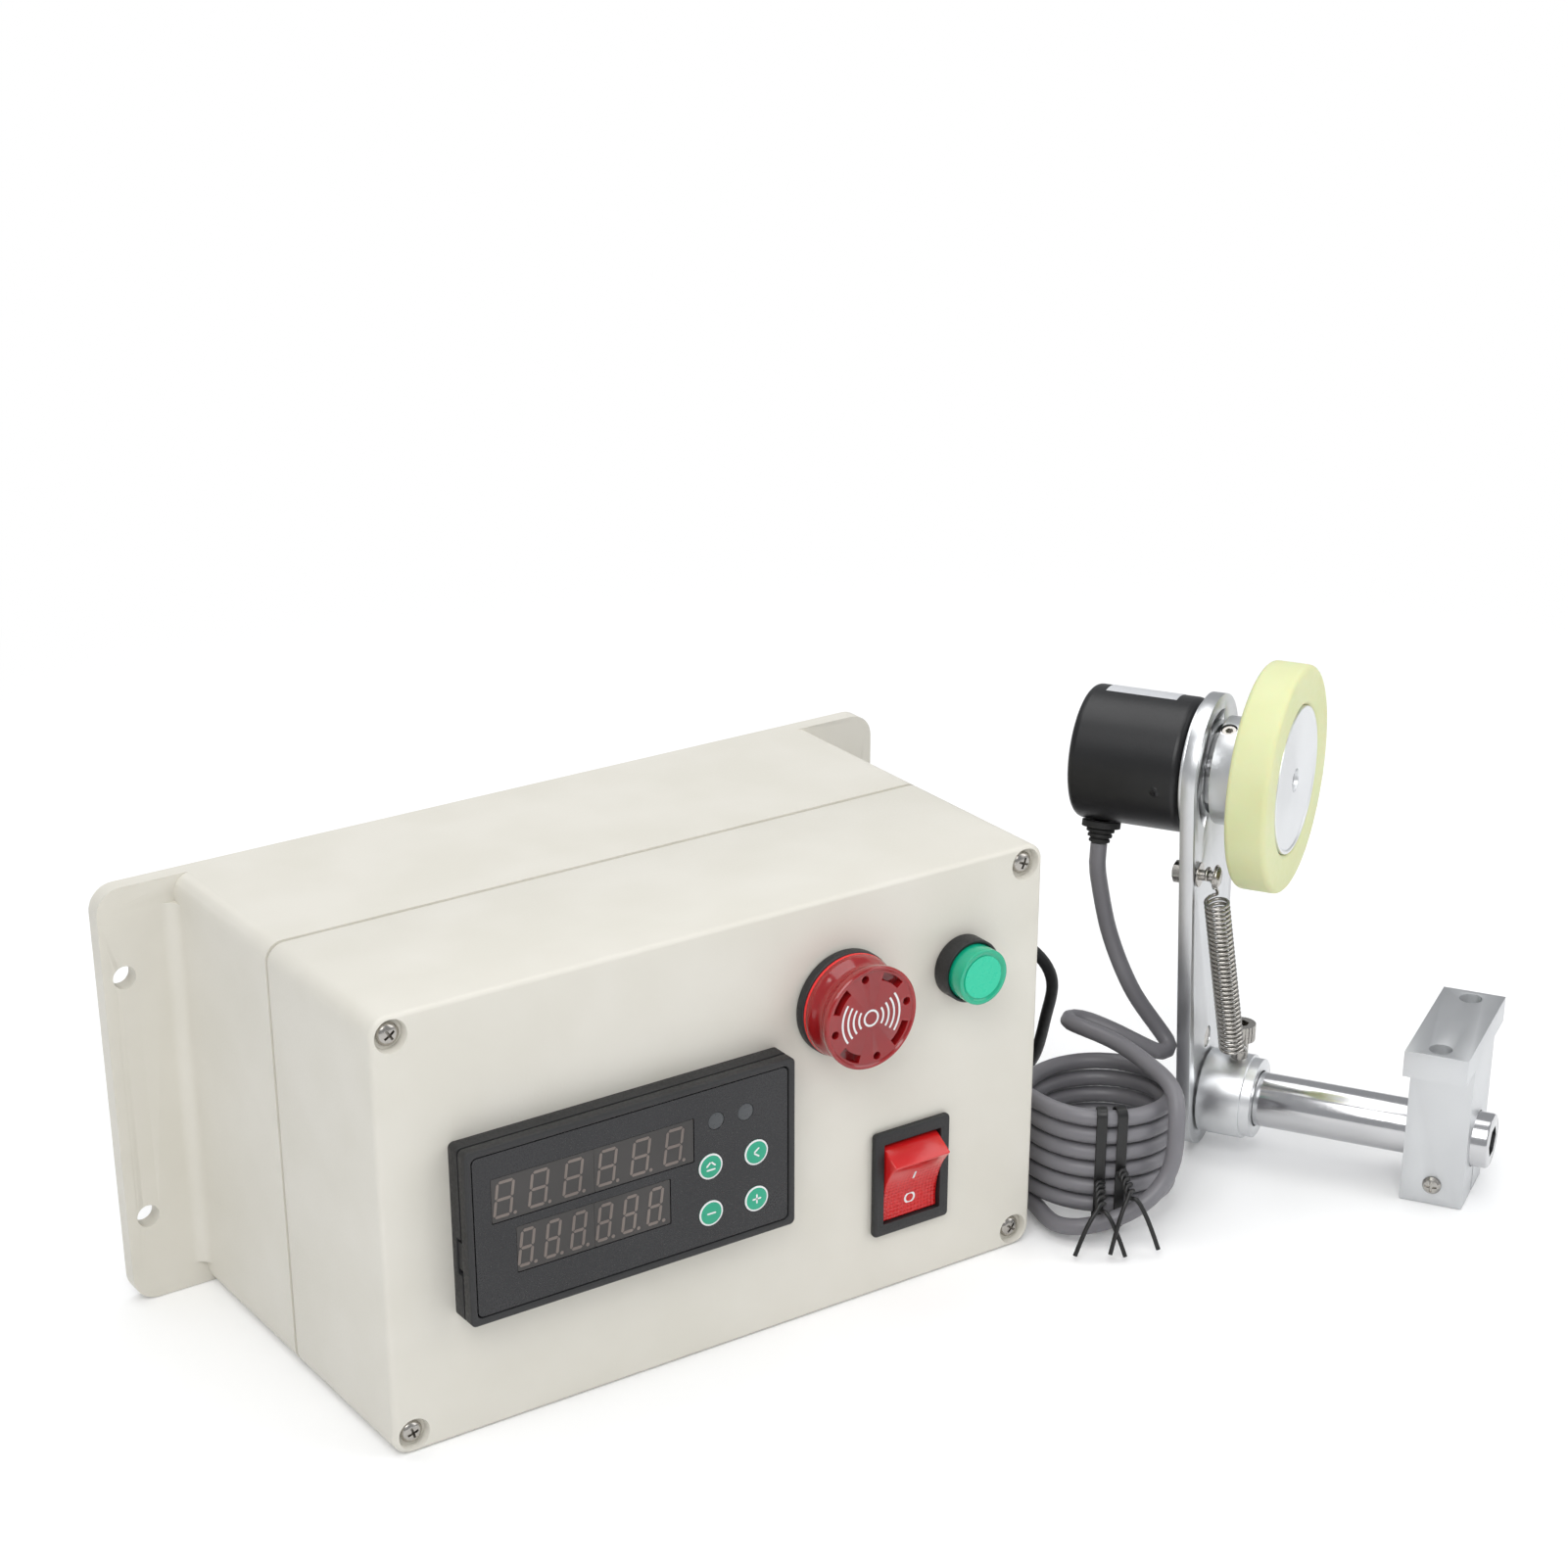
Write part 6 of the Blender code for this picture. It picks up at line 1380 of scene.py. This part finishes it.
METER_SIZE = (0.096, 0.048)
METER_REAR = 0.0043
METER_GAP = 0.0005
METER_FRAME_BACK = 0.0048
METER_RIM = 0.0019
METER_CORNER = 0.0015
METER_GROOVE = 0.0009
METER_FRAME_WALL = 0.0030
WINDOW_CORNER = 0.0004
UPPER_WINDOW = ((-0.01175, 0.0089), (0.0585, 0.0124))
LOWER_WINDOW = ((-0.01205, -0.00625), (0.0447, 0.0129))
LED_PLACES = ((0.0241, 0.0125), (0.0330, 0.0125))
LED_RADIUS = 0.0023
KEY_PLACES = ((0.0222, 0.0002), (0.0361, 0.0002), (0.0222, -0.0132), (0.0361, -0.0132))
KEY_RADIUS = 0.00355
KEY_RING = 0.00045
KEY_DOME = 0.0003
PRINT = 0.00005
DIGIT_LEAN = math.tan(math.radians(8.0))
SEGMENT_SHARE = 0.085
SEGMENT_GAP_SHARE = 0.2
POINT_SHARE = 0.62
POINT_ASIDE = 1.7
NOTCH_TALL = 0.010
NOTCH_PLACE = -0.006
TAB_TALL = 0.0078
SHEET_THICK = 0.0006
WINDOW_THICK = 0.004
WINDOW_SUNK = 1.6 * GAP
SEAM_FOOT = 0.0039
LAMP_DEPTH = 0.003
LAMP_SUNK = 1.3 * GAP
FIGURES = 6
FIGURE_START = -2.62
FIGURE_WIDE = 0.46
FIGURE_TALL = 0.74
DOME_SHARES = ((0.0, 1.0), (0.5, 0.95), (0.85, 0.7), (1.0, 0.2))
RING_RISES = (0.45, 0.7, 0.2)
KEY_MARK_REACH = 0.42


def joined(pieces, name):
    bpy.ops.object.select_all(action="DESELECT")
    for piece in pieces:
        piece.select_set(True)
    bpy.context.view_layer.objects.active = pieces[0]
    bpy.ops.object.join()
    made = bpy.context.active_object
    made.name = name
    return made


def meter_frames():
    """The case's two bands, with the dark gap between them and the snap's notch on the left."""
    outer = rounded(*METER_SIZE, METER_CORNER)
    rear = slab("meter_rear_band", outer, METER_REAR)
    inside = rounded(
        METER_SIZE[0] - 2 * METER_FRAME_WALL, METER_SIZE[1] - 2 * METER_FRAME_WALL, METER_CORNER / 2,
    )
    cut(rear, lifted(slab("inside", inside, 3 * METER_REAR), -METER_REAR))
    notch = slab(
        "notch", rounded(4 * METER_GROOVE, NOTCH_TALL, METER_GROOVE / 4, -METER_SIZE[0] / 2, NOTCH_PLACE),
        METER_REAR,
    )
    cut(rear, lifted(notch, METER_REAR / 2))
    soften(rear, FINE_EDGE)
    fitted(moved(rear, METER), BLACK_PLASTIC, "stand", "meter_bezel")
    rim = slab("meter_front_band", outer, METER_FRONT - METER_FRAME_BACK)
    hollow = rounded(METER_SIZE[0] - 2 * METER_RIM, METER_SIZE[1] - 2 * METER_RIM, METER_CORNER)
    cut(rim, lifted(slab("inside", hollow, 3 * METER_REAR), -METER_REAR))
    soften(rim, FINE_EDGE * 1.4, 3)
    tab_place = (-METER_SIZE[0] / 2 + METER_GROOVE, NOTCH_PLACE)
    tab_shape = rounded(METER_GROOVE, TAB_TALL, METER_GROOVE / 4, *tab_place)
    tab = slab("snap_tab", tab_shape, METER_FRAME_BACK - METER_GAP)
    tab = soften(lifted(tab, METER_GAP), FINE_EDGE / 2, 1)
    bands = joined([lifted(rim, METER_FRAME_BACK), tab], "meter_front_band")
    fitted(moved(bands, METER), BLACK_PLASTIC, "stand", "meter_front_frame")


def meter_sheet():
    """The printed sheet, with its windows and its holes for the lamps and keys, its edges finely rounded."""
    wide = METER_SIZE[0] - 2 * METER_RIM - 2 * GAP
    tall = METER_SIZE[1] - 2 * METER_RIM - 2 * GAP
    thick = SHEET_THICK
    sheet = slab("sheet", rounded(wide, tall, METER_CORNER), thick)
    for (x, z), size in (UPPER_WINDOW, LOWER_WINDOW):
        cut(sheet, lifted(slab("window", rounded(*size, WINDOW_CORNER, x, z), 3 * thick), -thick))
    for places, radius, steps in (
        (LED_PLACES, LED_RADIUS, HOLE_STEPS), (KEY_PLACES, KEY_RADIUS, SMALL_STEPS),
    ):
        for place in places:
            cut(sheet, lifted(slab("window", ring(radius + GAP / 3, steps, *place), 3 * thick), -thick))
    soften(sheet, PRINT * 1.5, 1)
    fitted(moved(lifted(sheet, METER_FRONT - GAP - thick), METER), SHEET_BLACK, "stand", "meter_overlay")


def bar(x0, y0, x1, y1, thick):
    """One segment: a strip with pointed ends."""
    along = Vector((x1 - x0, y1 - y0)).normalized()
    side = Vector((-along.y, along.x)) * thick / 2
    a = Vector((x0, y0)) + along * thick * SEGMENT_GAP_SHARE
    b = Vector((x1, y1)) - along * thick * SEGMENT_GAP_SHARE
    inset = along * thick / 2
    return [tuple(p) for p in (a, a + inset + side, b - inset + side, b, b - inset - side, a + inset - side)]


def digit(x, y, wide, tall):
    """An unlit figure of seven segments and its point, leaning a little."""
    thick = SEGMENT_SHARE * tall
    left, right, low, mid, high = -wide / 2, wide / 2, -tall / 2, 0.0, tall / 2
    strokes = [
        (left, high, right, high), (left, mid, right, mid), (left, low, right, low), (left, mid, left, high),
        (right, mid, right, high), (left, low, left, mid), (right, low, right, mid),
    ]
    made = []
    for stroke in strokes:
        corners = [(x + px + py * DIGIT_LEAN, y + py) for px, py in bar(*stroke, thick)]
        made.append(slab("segment", corners, PRINT))
    dot = ring(POINT_SHARE * thick, DOT_STEPS, x + right + POINT_ASIDE * thick + low * DIGIT_LEAN, y + low)
    made.append(slab("point", dot, PRINT))
    return made


def displays():
    for name, ((x, z), (wide, tall)) in (("display_upper", UPPER_WINDOW), ("display_lower", LOWER_WINDOW)):
        window = slab(f"{name}_window", rounded(wide - GAP, tall - GAP, WINDOW_CORNER, x, z), WINDOW_THICK)
        seam = slab("seam", rounded(GAP / 2, tall, GAP / 8, x, z, 2), WINDOW_THICK)
        cut(window, lifted(seam, SEAM_FOOT))
        window = lifted(soften(window, PRINT, 1), METER_FRONT - WINDOW_SUNK - WINDOW_THICK)
        fitted(moved(window, METER), SMOKED, "stand", name)
        figures = []
        pitch = wide / FIGURES
        for number in range(FIGURES):
            figures += digit(x + pitch * (number + FIGURE_START), z, FIGURE_WIDE * pitch, FIGURE_TALL * tall)
        figures = soften(lifted(joined(figures, f"{name}_figures"), METER_FRONT - WINDOW_SUNK), 0.0)
        fitted(moved(figures, METER), DIGIT_GREY, "stand", slot="display_window")


def alarm_lamps():
    for number, (x, z) in enumerate(LED_PLACES, 1):
        lamp = spun(f"alarm_lamp_{number}", [
            (0.0, 0.0), (LED_RADIUS, 0.0), (LED_RADIUS, -LAMP_DEPTH), (0.0, -LAMP_DEPTH),
        ], SMALL_STEPS)
        fitted(moved(soften(lamp, PRINT, 2), at(METER, x, z, METER_FRONT - LAMP_SUNK)), LED_GREY, "stand",
               f"alarm_led_{number}")


KEY_MARK_SHARES = (
    ((-1.0, 0.0, 0.0, 0.9), (0.0, 0.9, 1.0, 0.0), (-1.0, -0.6, 1.0, -0.6)),
    ((0.6, 0.9, -0.6, 0.0), (-0.6, 0.0, 0.6, -0.9)),
    ((-1.0, 0.0, 1.0, 0.0),),
    ((-1.0, 0.0, 1.0, 0.0), (0.0, -1.0, 0.0, 1.0)),
)


def keys():
    """Domed green keys, each with a white ring and a plain mark."""
    for number, (x, z) in enumerate(KEY_PLACES, 1):
        key = spun(f"key_dome_{number}", [
            *((out * KEY_RADIUS, rise * KEY_DOME) for out, rise in DOME_SHARES), (KEY_RADIUS, -LAMP_DEPTH),
            (0.0, -LAMP_DEPTH),
        ], BORE_STEPS)
        base = at(METER, x, z, METER_FRONT - GAP)
        fitted(moved(soften(key, 0.0), base), KEY_GREEN, f"key_{number}", f"key_{number}")
        inner = KEY_RADIUS - KEY_RING
        foot, rise, edge = (share * KEY_DOME for share in RING_RISES)
        band = spun(f"key_ring_{number}", [
            (inner, foot), (inner, rise + PRINT), (KEY_RADIUS, edge + 2 * PRINT), (KEY_RADIUS, 0.0),
        ], BORE_STEPS)
        fitted(moved(soften(band, 0.0), base), PRINT_WHITE, f"key_{number}", slot="green_keys")
        reach = KEY_MARK_REACH * KEY_RADIUS
        marks = [slab("stroke", bar(*[reach * share for share in line], KEY_RING), PRINT)
                 for line in KEY_MARK_SHARES[number - 1]]
        mark = lifted(joined(marks, f"key_mark_{number}"), KEY_DOME)
        fitted(moved(mark, base), PRINT_WHITE, f"key_{number}", slot="green_keys")


meter_frames()
meter_sheet()
displays()
alarm_lamps()
keys()


# Buzzer, reset button and rocker

BUZZER_COLLAR = 0.0145
BUZZER_COLLAR_LENGTH = 0.0030
BUZZER_RING = 0.0142
BUZZER_RING_LENGTH = 0.0009
BUZZER_WAIST = 0.0126
BUZZER_FRONT = 0.0141
BUZZER_LENGTH = 0.0135
BUZZER_THREAD = 0.0108
BUZZER_TAIL = 0.034
BUZZER_LIP = 0.0012
BUZZER_DISH = 0.0005
SOUND_RING = 0.0113
SOUND_HOLE = 0.0011
SOUND_DEPTH = 0.0030
SOUND_TURN = 10.0
SOUND_SPREAD = 17.0
MARK_RING = 0.0021
MARK_STEP = 0.0017
MARK_STROKE = 0.00055
MARK_SPREAD = 36.0
MARK_ARCS = 4
SHADE_STEPS = 12
SHADE_FOOT_SHARE = 0.95
SHADE_LIMIT = 50.0
QUARTER = 90.0


def crescent(radius, stroke, middle, spread, steps=20):
    """An arc-shaped strip with square ends."""
    return (arc(radius + stroke / 2, middle - spread, middle + spread, steps)
            + arc(radius - stroke / 2, middle + spread, middle - spread, steps))


def buzzer():
    base = at(PANEL, *BUZZER_AT)
    collar = spun("buzzer_collar", [
        (0.0, BUZZER_COLLAR_LENGTH), (BUZZER_COLLAR, BUZZER_COLLAR_LENGTH), (BUZZER_COLLAR, GAP / 3),
        (BUZZER_THREAD, GAP / 3), (BUZZER_THREAD, -BUZZER_TAIL), (0.0, -BUZZER_TAIL),
    ])
    soften(collar, FINE_EDGE * 2, 3)
    fitted(moved(collar, base), BLACK_PLASTIC, "stand", "buzzer_body")
    back = BUZZER_COLLAR_LENGTH + GAP / 3
    ring_front = back + BUZZER_RING_LENGTH
    band = spun("buzzer_red_ring", [
        (BUZZER_WAIST, ring_front), (BUZZER_RING, ring_front), (BUZZER_RING, back), (BUZZER_WAIST, back),
    ])
    fitted(moved(soften(band, FINE_EDGE), base), RED_RING, "stand", slot="red_lens")
    front = BUZZER_LENGTH
    face = BUZZER_FRONT - BUZZER_LIP
    depth = front - ring_front
    profile = [(0.0, front - BUZZER_DISH), (face, front - BUZZER_DISH), (face + BUZZER_LIP / 3, front),
               (BUZZER_FRONT - BUZZER_LIP / 4, front), (BUZZER_FRONT, front - BUZZER_LIP / 3)]
    for number in range(SHADE_STEPS + 1):
        share = number / SHADE_STEPS
        swell = math.cos(2 * math.pi * min(share / SHADE_FOOT_SHARE, 1.0)) * 0.5 + 0.5
        radius = BUZZER_WAIST + (BUZZER_FRONT - BUZZER_WAIST) * swell
        profile.append((radius, front - BUZZER_LIP - (depth - BUZZER_LIP) * share))
    profile += [(0.0, ring_front)]
    lens = spun("buzzer_shade", profile)
    for number in range(4):
        turn = math.radians(SOUND_TURN + QUARTER * number)
        place = (SOUND_RING * math.cos(turn), SOUND_RING * math.sin(turn))
        hole = slab("hole", ring(SOUND_HOLE, DRILL_STEPS, *place), BUZZER_LENGTH)
        cut(lens, lifted(hole, front - SOUND_DEPTH))
        middle = SOUND_TURN + QUARTER / 2 + QUARTER * number
        slot = slab("slot", crescent(SOUND_RING, 2 * SOUND_HOLE, middle, SOUND_SPREAD), BUZZER_LENGTH)
        cut(lens, lifted(slot, front - SOUND_DEPTH))
    fitted(moved(soften(lens, FINE_EDGE / 2, 2, SHADE_LIMIT), base), RED_LENS, "stand", "buzzer_lens")
    marks = [slab("mark", ring(MARK_RING + MARK_STROKE / 2, HOLE_STEPS), PRINT)]
    cut(marks[0], lifted(slab("middle", ring(MARK_RING - MARK_STROKE / 2, HOLE_STEPS), 4 * PRINT), -PRINT))
    for number in range(1, MARK_ARCS + 1):
        for side in (0.0, 2 * QUARTER):
            strip = crescent(MARK_RING + number * MARK_STEP, MARK_STROKE, side, MARK_SPREAD)
            marks.append(slab("mark", strip, PRINT))
    print_marks = lifted(joined(marks, "buzzer_marks"), front - BUZZER_DISH)
    fitted(moved(print_marks, base), PRINT_WHITE, "stand", slot="red_lens")


RESET_COLLAR = 0.0087
RESET_COLLAR_LENGTH = 0.0055
RESET_CAP = 0.0077
RESET_FRONT = 0.0101
RESET_THREAD = 0.0078
RESET_TAIL = 0.026
RESET_FLOOR = 0.0015
RESET_BACK = 0.0048
RESET_INNER = 0.0062
RESET_DISH = 0.0004


def reset_button():
    base = at(PANEL, *RESET_AT)
    bore = RESET_CAP + GAP * 0.7
    collar = spun("reset_collar", [
        (0.0, RESET_FLOOR), (bore, RESET_FLOOR), (bore, RESET_COLLAR_LENGTH),
        (RESET_COLLAR, RESET_COLLAR_LENGTH), (RESET_COLLAR, GAP / 3), (RESET_THREAD, GAP / 3),
        (RESET_THREAD, -RESET_TAIL), (0.0, -RESET_TAIL),
    ])
    fitted(moved(soften(collar, FINE_EDGE, 3), base), BLACK_PLASTIC, "stand", "reset_body")
    cap = spun("reset_shade", [
        (0.0, RESET_FRONT - RESET_DISH), (RESET_INNER, RESET_FRONT - RESET_DISH),
        (RESET_INNER + RESET_DISH, RESET_FRONT), (RESET_CAP, RESET_FRONT), (RESET_CAP, RESET_BACK),
        (0.0, RESET_BACK),
    ])
    fitted(moved(soften(cap, FINE_EDGE * 1.4, 3), base), GREEN_CAP, "reset_cap", "reset_cap")
    disc = spun("reset_disc", [
        (0.0, 0.0), (RESET_INNER - GAP, 0.0), (RESET_INNER - GAP, -RESET_DISH / 2), (0.0, -RESET_DISH / 2),
    ])
    disc = soften(lifted(disc, RESET_FRONT - RESET_DISH / 2), PRINT, 1)
    fitted(moved(disc, base), GREEN_FACE, "reset_cap", slot="green_cap")


BEZEL = (0.0248, 0.0310)
BEZEL_THICK = 0.0020
BEZEL_CORNER = 0.0012
BEZEL_SLOPE = 0.0010
OPENING = (0.0187, 0.0240)
ROCKER_BODY = (0.0212, 0.0270)
ROCKER_DEPTH = 0.024
ROCKER_PIVOT = 0.0035
ROCKER_RIDGE = 0.0126
ROCKER_RIDGE_ANGLE = 51.0
ROCKER_END = 0.0117
ROCKER_END_ANGLE = 88.0
ROCKER_BACK = 0.006
ROCKER_DISH = 0.0022
ROCKER_TILT = 18.0
ROCKER_STEPS = 24
ROCKER_MARKS = ((0.30, "line"), (-0.52, "loop"))
ROCKER_STROKE = 0.0006
ROCKER_LINE = 0.0034
ROCKER_LOOP = 0.0018


def rocker_switch():
    base = at(PANEL, *ROCKER_AT)
    bezel = slab("rocker_frame", rounded(*BEZEL, BEZEL_CORNER, 0.0, 0.0, 4), BEZEL_THICK)
    soften(bezel, BEZEL_SLOPE * 0.6, 2, 60.0)
    lifted(bezel, GAP / 3)
    boolean(
        bezel,
        lifted(slab("body", rounded(*ROCKER_BODY, GAP), ROCKER_DEPTH), -ROCKER_DEPTH + BEZEL_THICK / 2),
        "UNION",
    )
    opening = slab("opening", rounded(*OPENING, GAP), ROCKER_DEPTH)
    cut(bezel, lifted(opening, BEZEL_THICK + GAP - ROCKER_DEPTH / 2))
    fitted(moved(soften(bezel, PRINT * 2, 1), base), BLACK_PLASTIC, "stand", "switch_frame")
    side = facing((ROCKER_AT[0], FRONT + ROCKER_PIVOT, ROCKER_AT[1]), (0.0, -1.0, 0.0), UP)
    side = side @ Matrix.Rotation(math.radians(-ROCKER_TILT), 4, "Z")
    tip = math.radians(ROCKER_RIDGE_ANGLE)
    ridge = Vector((ROCKER_RIDGE * math.cos(tip), ROCKER_RIDGE * math.sin(tip)))
    end_turn = math.radians(ROCKER_END_ANGLE)
    end = Vector((ROCKER_END * math.cos(end_turn), ROCKER_END * math.sin(end_turn)))
    corners = [(end.x, -end.y), (ridge.x, -ridge.y)]
    for i in range(1, ROCKER_STEPS):
        share = -1.0 + 2.0 * i / ROCKER_STEPS
        corners.append((ridge.x - ROCKER_DISH * (1.0 - share * share), ridge.y * share))
    corners += [(ridge.x, ridge.y), (end.x, end.y), (-ROCKER_BACK, ROCKER_BACK), (-ROCKER_BACK, -ROCKER_BACK)]
    wide = OPENING[0] - 2 * GAP
    key = lifted(slab("rocker_key", corners, wide), -wide / 2)
    fitted(moved(soften(key, FINE_EDGE * 1.6, 3), side), ROCKER_RED, "rocker", "rocker")
    marks = []
    stroke = ROCKER_STROKE
    face = ridge.x - ROCKER_DISH
    for height, shape in ROCKER_MARKS:
        middle = ridge.y * height
        slope = 2 * ROCKER_DISH * height / ridge.y
        lay = facing((face + ROCKER_DISH * height * height + PRINT, middle, 0.0), (0.0, 0.0, 1.0),
                     tuple(Vector((slope, 1.0, 0.0)).normalized()))
        if shape == "line":
            mark = slab("mark", rounded(stroke, ROCKER_LINE, stroke / 3), PRINT)
        else:
            mark = slab("mark", ring(ROCKER_LOOP, HOLE_STEPS), PRINT)
            cut(mark, lifted(slab("middle", ring(ROCKER_LOOP - stroke, HOLE_STEPS), 4 * PRINT), -PRINT))
        marks.append(moved(mark, lay))
    made = joined(marks, "rocker_marks")
    fitted(moved(made, side), PRINT_WHITE, "rocker", slot="red_lens")


buzzer()
reset_button()
rocker_switch()


# Encoder's label and its small screw

LABEL_TURN = 118.0
LABEL_SPREAD = 28.0
LABEL_LENGTH = 0.0205
LABEL_BACK = -0.1040
LABEL_THICK = 0.00008
SIDE_SCREW_TURN = 187.0
SIDE_SCREW_PLACE = -0.0835
SIDE_SCREW = 0.0015
SIDE_SCREW_RISE = 2.2 * GAP
SIDE_SCREW_CROSS = 30.0


def spun_part(name, profile, spread, first, steps=32):
    """Part of a turned body, closed at both ends."""
    piece = outline(name, [(radius, 0.0, height) for radius, height in profile], "NGON")
    moved(piece, Matrix.Rotation(math.radians(first), 4, "Z"))
    bpy.ops.object.mode_set(mode="EDIT")
    bpy.ops.mesh.select_all(action="SELECT")
    bpy.ops.mesh.spin(steps=steps, angle=math.radians(spread), center=(0.0, 0.0, 0.0), axis=(0.0, 0.0, 1.0))
    face_outward()
    return piece


def encoder_label():
    """A bare label, bent round the can's top."""
    strip = spun_part("encoder_label", [
        (ENCODER_RADIUS + LABEL_THICK, LABEL_BACK), (ENCODER_RADIUS + LABEL_THICK, LABEL_BACK + LABEL_LENGTH),
        (ENCODER_RADIUS, LABEL_BACK + LABEL_LENGTH), (ENCODER_RADIUS, LABEL_BACK),
    ], 2 * LABEL_SPREAD, LABEL_TURN - LABEL_SPREAD)
    fitted(moved(soften(strip, 0.0), WHEEL), LABEL, "arm", slot="satin_aluminium")


def encoder_screw():
    way = Matrix.Rotation(math.radians(SIDE_SCREW_TURN), 4, "Z") @ Matrix.Rotation(math.pi / 2, 4, "Y")
    base = at(UPRIGHT_WHEEL, z=SIDE_SCREW_PLACE) @ way @ Matrix.Translation((0.0, 0.0, ENCODER_RADIUS - GAP))
    cross_head(
        "encoder_side_screw", SIDE_SCREW, SIDE_SCREW_RISE, SHANK_SHARE * SIDE_SCREW, GAP, ENCODER_BLACK,
        "arm", base, None, SIDE_SCREW_CROSS,
    )


encoder_label()
encoder_screw()
